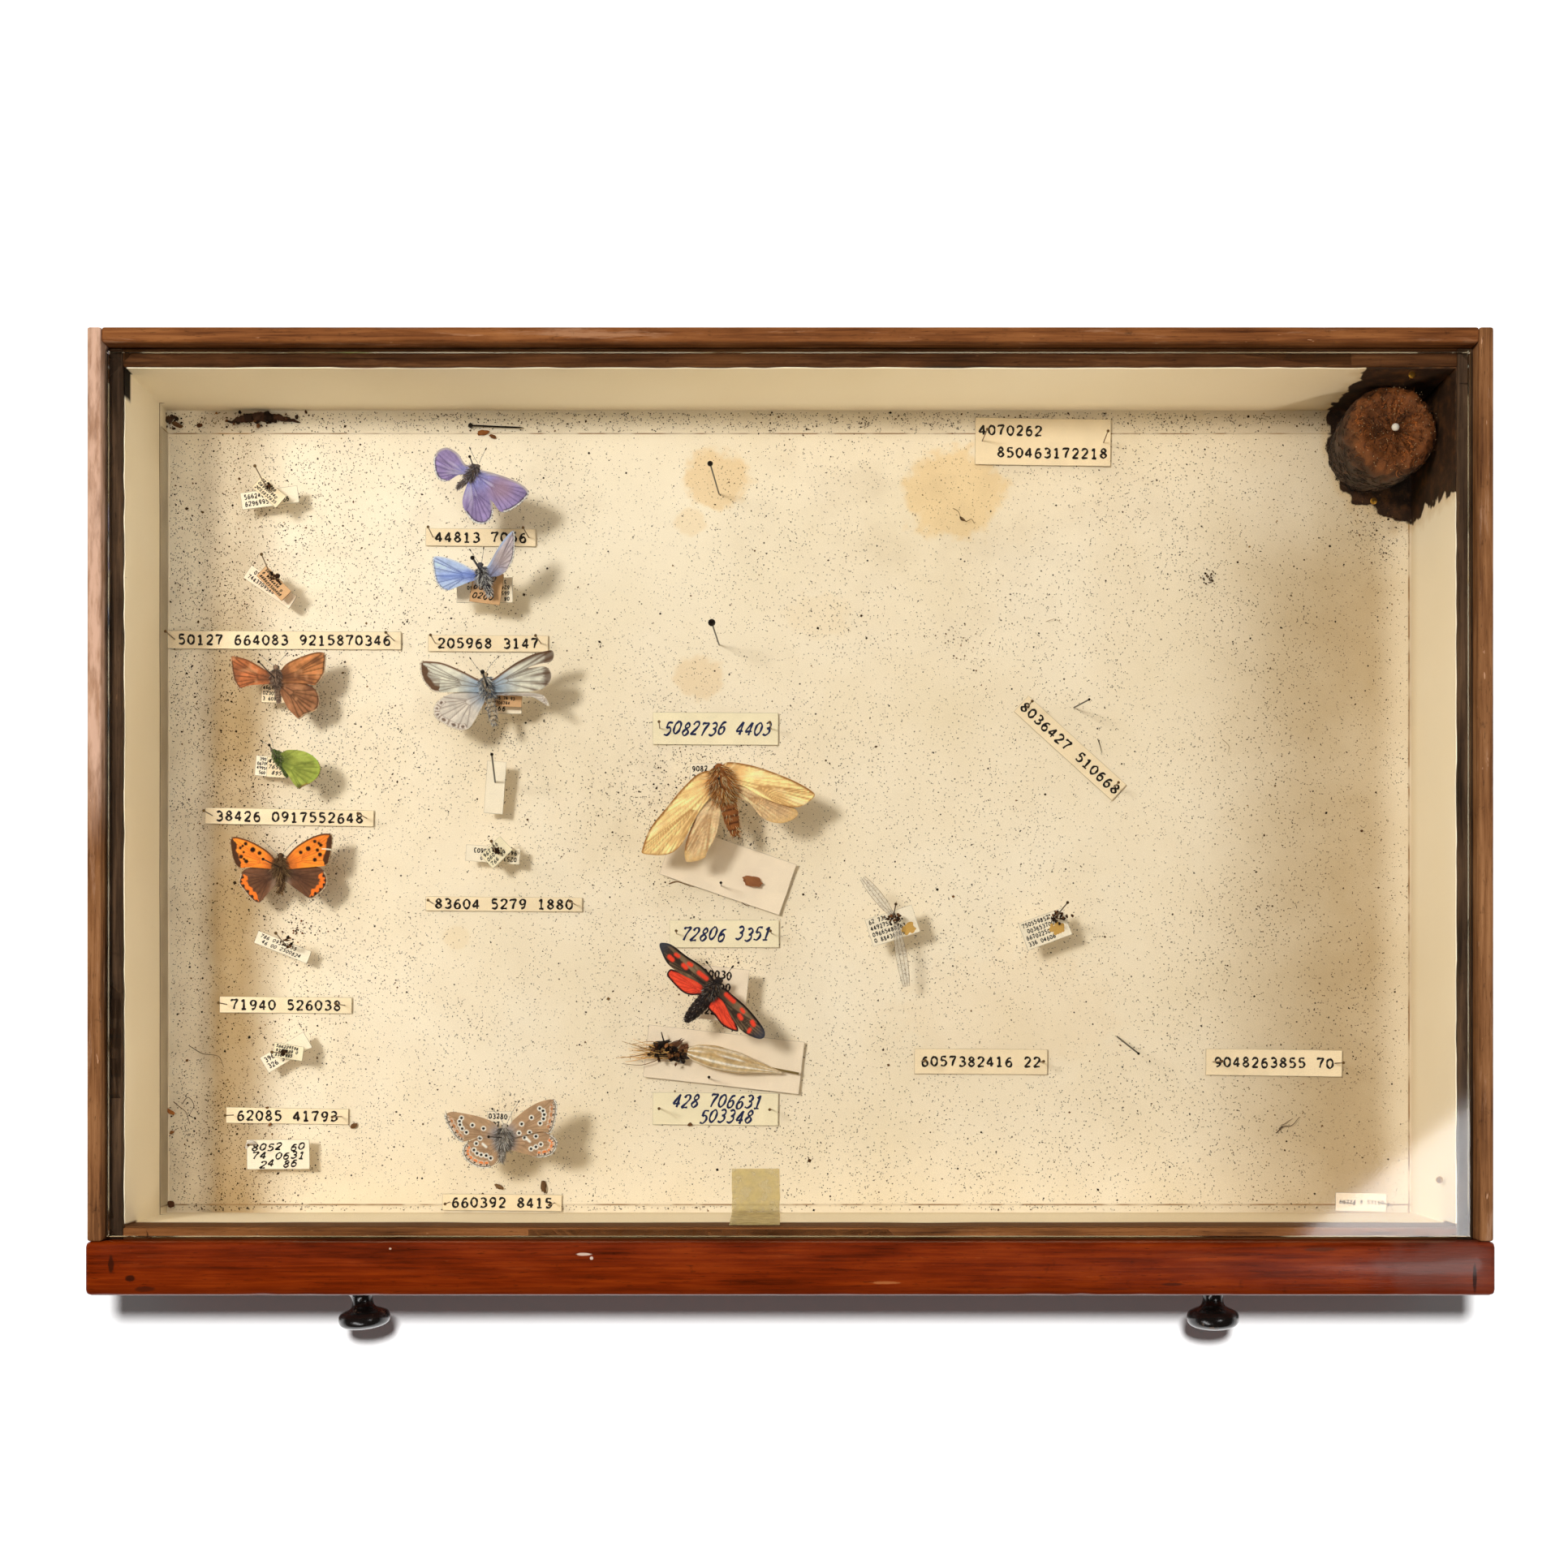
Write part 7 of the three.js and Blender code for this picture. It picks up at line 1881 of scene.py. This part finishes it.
def build_cocoon():
    """A papery spindle on a grass stem, the empty pupa case and a fan of straw."""
    shape = Shape()
    rng = np.random.default_rng(77)
    axis = smooth_line([(-27.4, -55.2, 16.0), (-22, -56.3, 16.5), (-14.6, -58.0, 16.3), (-8.6, -59.3, 15.9),
                        (-2.0, -60.9, 15.1)], 12)
    widths = np.interp(np.linspace(0, 1, len(axis)), (0, 0.1, 0.3, 0.5, 0.68, 0.85, 1),
                       (1.2, 2.3, 3.05, 2.9, 2.0, 1.0, 0.25))
    across, up = frames_along(axis)
    sides = 40
    turns = np.arange(sides) * 2 * math.pi / sides
    ridge = 1 + 0.05 * np.sin(turns * 9) + 0.03 * np.sin(turns * 17 + 1)
    rings = axis[:, None] + (widths[:, None] * ridge[None, :])[..., None] * (
        np.cos(turns)[None, :, None] * across[:, None] + 0.86 * np.sin(turns)[None, :, None] * up[:, None])
    tone = mottle(np.tile(turns * 5, (len(axis), 1)),
                  np.tile(np.arange(len(axis))[:, None] * 0.12, (1, sides)), 1, 4)
    # Pale streaks along the ridges of the silk, with a painted highlight that makes them brighter than white.
    streak = slope_step(np.sin(turns * 9), 0.3, 0.9)[None, :] * slope_step(tone, 0.2, 0.55)
    color = linear((192, 156, 102)) + (linear((236, 212, 164)) - linear((192, 156, 102))) * tone[..., None]
    color = color + (linear((255, 253, 244)) * 1.1 - color) * (streak * 0.9)[..., None]
    faces = ring_faces(len(axis), sides)
    faces.append(tuple(reversed(range(sides))))
    faces.append(tuple((len(axis) - 1) * sides + i for i in range(sides)))
    shape.put(rings.reshape(-1, 3), faces, color.reshape(-1, 3), "silk", is_linear=True)

    husks = [(-35.0, -53.0, 2.7, 0.9, 12, (36, 27, 23)), (-32.2, -54.4, 2.8, 1.2, -20, (30, 23, 20)),
             (-34.6, -56.0, 2.6, 0.8, -4, (44, 30, 24)), (-30.4, -56.8, 2.5, 1.0, -24, (34, 25, 21)),
             (-31.0, -53.2, 2.2, 0.8, 28, (92, 58, 38)), (-28.0, -56.4, 2.2, 0.9, -6, (40, 28, 23)),
             (-29.2, -54.6, 1.9, 1.0, 35, (104, 66, 42)), (-36.6, -54.6, 1.7, 0.7, 55, (84, 54, 36))]
    for number, (x, y, half, wide, turn, tint) in enumerate(husks):
        reach = half * np.array((math.cos(math.radians(turn)), math.sin(math.radians(turn)), 0.1))
        middle = np.array((x, y, 15.5))
        segment(shape, middle - reach, middle + reach, wide, tint, 0.5, "husk", number)
    leg(shape, [(-33, -54.6, 15.8), (-34, -52, 16.4), (-34.6, -49.8, 16.6)], (34, 24, 20), 0.3)
    crumbs(shape, (-32.5, -55.0, 16.3), 60, (2.8, 1.2, 0.6), 0.62,
           ((70, 42, 26), (104, 66, 40), (30, 22, 18), (140, 96, 60)), rng)
    stem = smooth_line([(-27, -55.4, 14.6), (-12, -58.3, 14.2), (2.6, -61.1, 14.4)], 6)
    tube(shape, stem, 0.34, 7, (128, 106, 62), "straw")
    for _ in range(46):
        far = rng.uniform(5, 15)
        spread = rng.normal(0, 0.13)
        start = np.array((-30 + rng.normal(0, 1.4), -55.2 + rng.normal(0, 0.7), 15.4 + rng.normal(0, 0.4)))
        way = np.array((-math.cos(spread), math.sin(spread) - 0.02, rng.normal(0, 0.05)))
        bend = np.array((0, rng.normal(0, 0.8), rng.normal(0, 0.4)))
        path = smooth_line([start, start + way * far * 0.5 + bend, start + way * far], 4)
        path = np.maximum(path, (-47.0, -70, 12.6))
        tint = np.array((236, 184, 110)) * rng.uniform(0.55, 1.2)
        tube(shape, path, np.linspace(0.14, 0.05, len(path)), 4, np.clip(tint, 0, 255), "straw")
    shape.piece("burnet_cocoon.case", "insect", ["burnet_cocoon"])


def clear_wing(shape, root, tip, width, bow, seed):
    """A glassy wing with a net of dark veins."""
    root, tip = np.asarray(root, float), np.asarray(tip, float)
    way = tip - root
    length = np.linalg.norm(way)
    way = way / length
    side = np.cross((0, 0, 1), way)
    side = side / (np.linalg.norm(side) + 1e-9)
    rows = 20
    grid = []
    for r in range(rows + 1):
        t = r / rows
        half = width * (0.12 + 0.88 * math.sin(math.pi * min(1, t * 0.82 + 0.04)) ** 0.8) / 2
        centre = root + way * length * t + np.array((0, 0, bow * math.sin(math.pi * t)))
        grid.append([centre + side * half * s + np.array((0, 0, 0.12 * math.cos(s * 9))) for s in
                     np.linspace(-1, 1, 7)])
    grid = np.array(grid)
    slab(shape, grid, 0.06, (222, 216, 204), "film")
    for column in (0, 2, 4, 6):
        tube(shape, grid[:, column] + np.array((0, 0, 0.02)), 0.045, 4, (132, 108, 82), "fur")
    rng = random.Random(seed)
    for r in range(1, rows):
        column = rng.choice((0, 2, 4))
        tube(shape, grid[r, column:column + 3], 0.03, 4, (140, 118, 94), "fur")


DAMSELFLIES = [
    {"node": "damselfly_remains_1", "pin": ((27.9, -20.9), (27.3, -16.6)),
     "card": (27.6, -21.3, 13.2, 7.6, 18, 21.5), "heap": (27.9, -19.4, 25.8),
     "wings": [((27.8, -19.2, 26), (19.4, -8.8, 27), 2.7, 0.5),
               ((28.2, -20.2, 25.4), (31.4, -37.6, 21), 3.0, 0.6)],
     "blot": (4.1, -1.7)},
    {"node": "damselfly_remains_2", "pin": ((70.2, -21.4), (71.6, -16.2)),
     "card": (68.5, -22.2, 12.6, 7.6, 20, 21.5), "heap": (71.2, -19.0, 25.8), "wings": [],
     "blot": (3.4, -0.9)},
]


def build_damselflies():
    rng = np.random.default_rng(12)
    for index, look in enumerate(DAMSELFLIES):
        shape = Shape()
        x, y, length, width, turn, z = look["card"]
        spot = card(shape, x, y, length, width, turn, z, WHITE_CARD, 0.25, 0.15, seed=90 + index)
        small_print(shape, spot, length, width, 4, 410 + index)
        for _ in range(26):
            u, v = rng.normal(look["blot"][0], 0.7), rng.normal(look["blot"][1], 0.7)
            place = np.array(spot(u, v)) + np.array((0, 0, 0.03))
            radii = (rng.uniform(0.4, 0.9), rng.uniform(0.4, 0.8), 0.05)
            ball(shape, place, radii, (214, 170, 92), "crumb", 4, 9)
        crumbs(shape, look["heap"], 40, (1.1, 0.7, 0.5), 0.42,
               ((66, 44, 30), (112, 74, 46), (44, 32, 25)), rng)
        for number, (root, tip, wide, bow) in enumerate(look["wings"]):
            clear_wing(shape, root, tip, wide, bow, 5 + number)
        pin(shape, *look["pin"], head_radius=0.42, tint=(78, 62, 46), radius=0.17)
        shape.piece(f"{look['node']}.card", "white_card", [look["node"]])


# ---- dirt and loose bits ----
def frass_density(x, y):
    """How much dirt lies at a place on the floor, from 0 to 1."""
    density = 0.085 + 0.5 * slope_step(x, -84, -172) ** 1.1
    for cx, cy, reach, strength in ((-20, 12, 30, 0.7), (-135, 45, 24, 0.7), (-135, -6, 22, 0.7),
                                    (-82, 98, 16, 0.4), (-80, 40, 20, 0.6), (-20, -42, 24, 0.6),
                                    (-76, -78, 16, 0.5), (-150, 20, 26, 0.7), (160, 88, 14, 0.8),
                                    (28, -20, 12, 0.3), (-79, -2, 12, 0.35)):
        away = np.hypot(x - cx, y - cy)
        density = np.maximum(density, strength * slope_step(away, reach, reach * 0.2))
    density = np.maximum(density, 0.9 * slope_step(y, 112, 117.5) * (0.35 + 0.65 * mottle(x, y, 14, 3)))
    density = np.maximum(density, 0.3 * slope_step(y, -92, -98))
    return density * (0.35 + 1.3 * mottle(x, y, 9, 8))


FRASS = {  # small eight-sided crumbs
    "corners": [(1, 0, 0), (0, 1, 0), (-1, 0, 0), (0, -1, 0), (0, 0, 1), (0, 0, -1)],
    "sides": [(0, 1, 4), (1, 2, 4), (2, 3, 4), (3, 0, 4), (1, 0, 5), (2, 1, 5), (3, 2, 5), (0, 3, 5)],
    "stretch": (0.6, 1.4), "flatten": 0.7, "turn": math.pi, "lift": 0.2, "bright": (0.8, 1.2),
    "tints": [(52, 36, 24), (70, 48, 30), (34, 26, 20), (110, 76, 44), (132, 104, 70)],
    "odds": (0.34, 0.26, 0.2, 0.12, 0.08),
}

DUST = {  # four-sided grains
    "corners": [(1, 0, -0.4), (-0.5, 0.87, -0.4), (-0.5, -0.87, -0.4), (0, 0, 0.9)],
    "sides": [(0, 1, 3), (1, 2, 3), (2, 0, 3), (2, 1, 0)],
    "stretch": (0.65, 1.35), "flatten": 1, "turn": 2 * math.pi, "lift": 0.15, "bright": (0.8, 1.15),
    "tints": [(72, 50, 32), (92, 66, 42), (50, 36, 25), (124, 96, 64)],
    "odds": (0.35, 0.25, 0.25, 0.15),
}


def strew(rng, x_ends, y_ends, tries, most, share):
    """Picks places on the floor, each kept with the chance that share gives it."""
    x = rng.uniform(*x_ends, tries)
    y = rng.uniform(*y_ends, tries)
    keep = rng.uniform(size=tries) < share(x, y)
    return x[keep][:most], y[keep][:most]


def build_grains(name, rng, x, y, sizes, look):
    """One mesh of grains at the places, each stretched and turned by chance."""
    count, each = len(x), len(look["corners"])
    stretch = rng.uniform(*look["stretch"], (count, 1, 3)) * np.array((1, 1, look["flatten"]))
    turn = rng.uniform(0, look["turn"], count)
    spun = np.array(look["corners"], float)[None] * stretch * sizes[:, None, None]
    cosine, sine = np.cos(turn)[:, None], np.sin(turn)[:, None]
    turned = np.stack([spun[..., 0] * cosine - spun[..., 1] * sine,
                       spun[..., 0] * sine + spun[..., 1] * cosine, spun[..., 2]], axis=-1)
    points = turned + np.stack([x, y, np.full(count, PAPER_TOP + look["lift"])], axis=1)[:, None]
    faces = [tuple(each * grain + k for k in side) for grain in range(count) for side in look["sides"]]
    picks = rng.choice(len(look["tints"]), count, p=look["odds"])
    tints = np.array(look["tints"])[picks] * rng.uniform(*look["bright"], (count, 1))
    shape = Shape()
    shape.put(points.reshape(-1, 3), faces, np.repeat(np.clip(tints, 0, 255), each, axis=0), "crumb")
    shape.piece(name, "insect")


def build_frass():
    """Fine droppings over the floor, a few of them large."""
    rng = np.random.default_rng(21)
    x, y = strew(rng, (-169, 169), (-98.6, 119.2), 90000, 24000,
                 lambda x, y: frass_density(x, y) * 0.62)
    sizes = 0.115 + 0.16 * rng.uniform(size=len(x)) ** 3 + 0.2 * (rng.uniform(size=len(x)) > 0.985)
    build_grains("frass", rng, x, y, sizes, FRASS)


def dust_density(x, y):
    return 0.3 + 0.4 * mottle(x, y, 16, 5) * mottle(x, y, 5, 6) + 0.9 * frass_density(x, y)


def build_dust():
    """The finest dust of the floor."""
    rng = np.random.default_rng(33)
    x, y = strew(rng, (-168.6, 169), (-98.4, 119), 120000, 46000, dust_density)
    sizes = 0.14 + 0.1 * rng.uniform(size=len(x)) ** 2
    build_grains("dust", rng, x, y, sizes, DUST)


LOOSE_HAIRS = [  # points on the plan, radius, colour
    ([(-163.5, -53.5), (-159.9, -55.7), (-155.6, -56.4), (-154.0, -59.4)], 0.1, (84, 66, 50)),
    ([(-167.7, -68.8), (-166, -70.2), (-164.2, -71.8), (-163.2, -75.0)], 0.12, (110, 78, 50)),
    ([(-165.6, -69.5), (-163.8, -67.6), (-162.2, -69.8), (-163.6, -72.6)], 0.1, (90, 66, 44)),
    ([(132.7, -77.4), (134.6, -75.6), (136.9, -75.2), (138.9, -73.0)], 0.14, (60, 46, 38)),
    ([(133.4, -76.2), (135.2, -74.6), (137.2, -73.4)], 0.1, (84, 66, 50)),
    ([(84.0, 30.0), (84.7, 28.2), (85.1, 26.2)], 0.13, (58, 48, 40)),
    ([(46.8, 90.2), (48.2, 89.2), (49.6, 89.8), (50.4, 88.6)], 0.13, (120, 92, 60)),
    ([(44.6, 92.8), (46.0, 92.0), (46.6, 90.4)], 0.1, (110, 84, 54)),
    ([(-32.8, -9.4), (-30.6, -8.8), (-28.2, -9.6), (-26.0, -10.3)], 0.16, (130, 96, 60)),
    ([(-13, -14.6), (-11.4, -15.4), (-9.8, -15.0)], 0.13, (120, 84, 54)),
    ([(70, 62), (72.5, 62.6), (74.2, 61.4)], 0.07, (150, 124, 92)),
    ([(118, 30), (119.8, 28), (119.4, 25.8)], 0.07, (140, 116, 88)),
]

LOOSE_LUMPS = [  # x, y, half length, half width, turn, height, colour
    (-66.9, -92.0, 0.75, 1.9, 8, 0.8, (112, 82, 54)), (-79.1, -92.0, 1.3, 0.6, -30, 0.5, (128, 96, 64)),
    (-160.6, 115.4, 0.8, 0.6, 20, 0.5, (96, 62, 38)), (-169.0, 117.0, 1.3, 0.9, 10, 0.7, (70, 48, 32)),
    (-166.8, 115.6, 1.6, 0.6, -25, 0.5, (110, 76, 48)), (-168.4, -96.8, 1.0, 1.0, 0, 0.7, (92, 56, 34)),
    (-168.6, -71.6, 1.2, 0.6, -30, 0.6, (178, 110, 56)), (-168.2, -77.2, 0.7, 0.5, 20, 0.5, (150, 96, 52)),
    (-142.2, -70.5, 0.5, 0.35, 0, 0.4, (120, 82, 50)), (-141.5, -75.0, 0.6, 0.4, 40, 0.4, (130, 86, 50)),
    (-83.4, 113.4, 1.6, 0.7, 10, 0.6, (150, 92, 48)), (-80.8, 112.4, 1.0, 0.5, -20, 0.5, (120, 76, 44)),
    (-118.7, -75.4, 1.0, 0.7, 30, 0.5, (120, 84, 52)), (-27.0, -75.0, 0.7, 0.5, 30, 0.4, (110, 76, 48)),
    (47.1, 90.0, 0.8, 0.4, -35, 0.4, (80, 58, 40)), (156, 5, 0.4, 0.3, 0, 0.3, (90, 60, 40)),
]

LOOSE_CRUMBS = [  # x, y, height above the floor, number, spread, size, colours
    (-143, 117, 0.5, 60, (4.6, 0.9, 0.3), 0.45, ((84, 52, 32), (120, 78, 46), (44, 30, 22))),
    (-168, 116.2, 0.2, 18, (1.2, 1.2, 0.2), 0.5, ((84, 58, 38), (60, 42, 30))),
    (114.1, 74.2, 0.2, 34, (1.0, 1.2, 0.15), 0.26, ((66, 50, 40), (110, 90, 74))),
    (47, 58, 0, 26, (3.2, 2.0, 0.1), 0.2, ((96, 66, 42), (130, 96, 60))),
    (50, 51, 0, 16, (2.2, 1.2, 0.1), 0.18, ((96, 66, 42), (130, 96, 60))),
    (-133.5, -22.5, 0, 30, (2.4, 1.6, 0.1), 0.26, ((130, 78, 42), (96, 60, 36))),
    (130, -16, 0, 22, (4.0, 1.6, 0.1), 0.2, ((120, 92, 60), (90, 66, 46))),
]

BRASS_TACKS = [(158.8, 118.3, 49.5), (154.3, 90.6, 30.0), (167.2, -87.6, 45.0)]


def build_loose_bits():
    rng = np.random.default_rng(9)
    shape = Shape()
    floor = PAPER_TOP + 0.35
    for path, radius, tint in LOOSE_HAIRS:
        line = smooth_line([(x, y, floor + rng.uniform(0, 0.8)) for x, y in path], 5)
        tube(shape, line, np.linspace(radius, radius * 0.5, len(line)), 5, tint, "straw")
    for number, (x, y, half, wide, turn, tall, tint) in enumerate(LOOSE_LUMPS):
        angle = math.radians(turn)
        ball(shape, (x, y, floor + tall * 0.7), (tall, wide, half), tint, "crumb", 8, 9, 0.3,
             (math.cos(angle), math.sin(angle), 0.02), number)
    # What is left of a body at the back left.
    for t in np.linspace(0, 1, 15):
        x, y = -152.2 + 17.6 * t, 116.4 + 1.3 * math.sin(t * 3)
        thick = 0.35 + 1.15 * math.sin(math.pi * min(1, t * 1.05)) * (0.6 + 0.4 * rng.uniform())
        tint = np.array((60, 38, 26)) * rng.uniform(0.6, 1.4)
        ball(shape, (x, y, floor + thick * 0.6), (thick * 0.8, thick, 1.3), tint, "crumb", 7, 8, 0.4,
             (1, rng.normal(0, 0.25), 0), int(t * 40))
    for x, y, lift, number, reach, size, tints in LOOSE_CRUMBS:
        crumbs(shape, (x, y, floor + lift), number, reach, size, tints, rng)
    shape.piece("loose_bits", "insect")
    shape = Shape()
    for x, y, z in BRASS_TACKS:
        ball(shape, (x, y, z), (0.95, 0.95, 0.6), (186, 142, 62), "brass", 7, 12)
        tube(shape, [(x, y, z), (x + 0.3, y, z - 2), (x + 0.6, y, z - 4)], 0.2, 6, (120, 92, 48), "brass")
    shape.piece("brass_pins", "pin_steel")


# ---- stage, light and camera ----
def build_stage():
    mesh = bpy.data.meshes.new("stage")
    half = 3.0  # metres
    drop = -0.0004
    corners = [(-half, -half, drop), (half, -half, drop), (half, half, drop), (-half, half, drop)]
    mesh.from_pydata(corners, [], [(0, 1, 2, 3)])
    graph = Graph("pale floor")
    grain = graph.noise(60, 2, 0.5, seed=1)
    graph.surface(graph.ramp(grain, (0.3, (250, 250, 250)), (0.7, (253, 253, 253))), 0.9)
    mesh.materials.append(graph.material)
    stage = bpy.data.objects.new("stage", mesh)
    bpy.context.scene.collection.objects.link(stage)
    return stage


def aim(light, target):
    way = Vector(target) - light.location
    light.rotation_euler = way.to_track_quat("-Z", "Y").to_euler()


def area_light(name, place, target, size, power, color=(1, 1, 1), seen=True):
    data = bpy.data.lights.new(name, "AREA")
    data.shape = "RECTANGLE"
    data.size, data.size_y = (side * MM for side in size)
    data.energy = power
    data.color = color
    light = bpy.data.objects.new(name, data)
    light.location = [c * MM for c in place]
    aim(light, [c * MM for c in target])
    light.visible_camera = False
    light.visible_glossy = seen
    bpy.context.scene.collection.objects.link(light)
    return light


def point_light(name, place, power, soft, color):
    data = bpy.data.lights.new(name, "POINT")
    data.energy = power
    data.color = color
    data.shadow_soft_size = soft * MM
    light = bpy.data.objects.new(name, data)
    light.location = [c * MM for c in place]
    light.visible_glossy = False
    bpy.context.scene.collection.objects.link(light)
    return light


def reach_of(light, things, state):
    """Limits a light to some objects (INCLUDE), or keeps it off them (EXCLUDE)."""
    receivers = bpy.data.collections.new(f"{light.name} reach")
    for thing in things:
        receivers.objects.link(thing)
    light.light_linking.receiver_collection = receivers
    for link in receivers.collection_objects:
        link.light_linking.link_state = state


def build_lights(stage):
    world = bpy.data.worlds.new("studio")
    world.use_nodes = True
    sky = world.node_tree.nodes["Background"]
    sky.inputs["Color"].default_value = (1.0, 0.99, 0.975, 1)
    sky.inputs["Strength"].default_value = 0.12
    world.cycles_visibility.glossy = False
    bpy.context.scene.world = world
    warm = (1.0, 0.985, 0.96)
    for name, place, size, power in (
        ("key", (-675, 300, 1511), (250, 250), 18.1),
        ("overhead", (-250, 420, 900), (900, 900), 2.3),
        ("fill", (1600, -800, 1100), (1100, 750), 12),
    ):
        light = area_light(name, place, (0, 0, 11), size, power, warm, seen=False)
        reach_of(light, [stage], "EXCLUDE")
    # Bounce from the room that brightens the lined walls inside the drawer.
    walls = bpy.data.objects["wall_paper.strip"]
    reach_of(point_light("side bounce", (700, -330, 1000), 34, 60, warm), [walls], "INCLUDE")
    reach_of(point_light("front bounce", (0, 700, 1000), 9, 60, warm), [walls], "INCLUDE")
    glow = area_light("left glow", (-148, 10, 95), (-148, 10, 0), (6, 250), 0.038, warm, seen=False)
    glow.rotation_euler = (0, 0, 0)
    reach_of(glow, [stage] + [thing for thing in bpy.data.objects if thing.name.endswith(".wood")], "EXCLUDE")
    # A pane-like reflection in the front right corner of the glass.
    window = area_light("window", (366, -158, 653), (366, -158, 0), (150, 110), 0.41)
    window.rotation_euler[2] = math.radians(38.5)
    window.data.use_shadow = False
    reach_of(window, [stage], "EXCLUDE")
    sheen = area_light("sheen", (-260, -420, 420), (0, -125, 28), (420, 120), 1.0)
    reach_of(sheen, [bpy.data.objects[f"{node}.turned"] for node in ("knob_left", "knob_right")], "INCLUDE")
    # Light that falls on the floor of the studio alone, so that it stays white round the drawer.
    reach_of(point_light("floor wash", (-15, 124, 988), 61, 50, (1, 1, 1)), [stage], "INCLUDE")


def build_camera():
    """Straight above the drawer."""
    axis = (955, 1250)  # pixel that the lens axis meets
    place = (-3.85, -45.07)  # of the lens over the drawer
    top_scale = 0.2049  # millimetres a pixel on the drawer's top
    far = 560.0  # from the drawer's top to the lens
    data = bpy.data.cameras.new("camera")
    data.sensor_width = 36
    data.lens = data.sensor_width * far / (top_scale * PHOTO_SIZE)
    data.shift_x = (PHOTO_SIZE / 2 - axis[0]) / PHOTO_SIZE
    data.shift_y = (axis[1] - PHOTO_SIZE / 2) / PHOTO_SIZE
    data.clip_start = 0.01
    camera = bpy.data.objects.new("camera", data)
    camera.location = (place[0] * MM, place[1] * MM, (HEIGHT + far) * MM)
    bpy.context.scene.collection.objects.link(camera)
    bpy.context.scene.camera = camera


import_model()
MATERIALS = make_materials()
build_camera()
build_boards()
build_papers()
build_glass()
build_tape()
build_knobs()
build_pad()
build_name_labels()
build_data_labels()
build_cards()
build_lone_pins()
for number, (node_name, specimen) in enumerate(SPECIMENS.items()):
    build_specimen(number, node_name, specimen)
build_cocoon()
build_damselflies()
build_frass()
build_dust()
build_loose_bits()
build_lights(build_stage())
bpy.context.scene.view_settings.view_transform = "Standard"
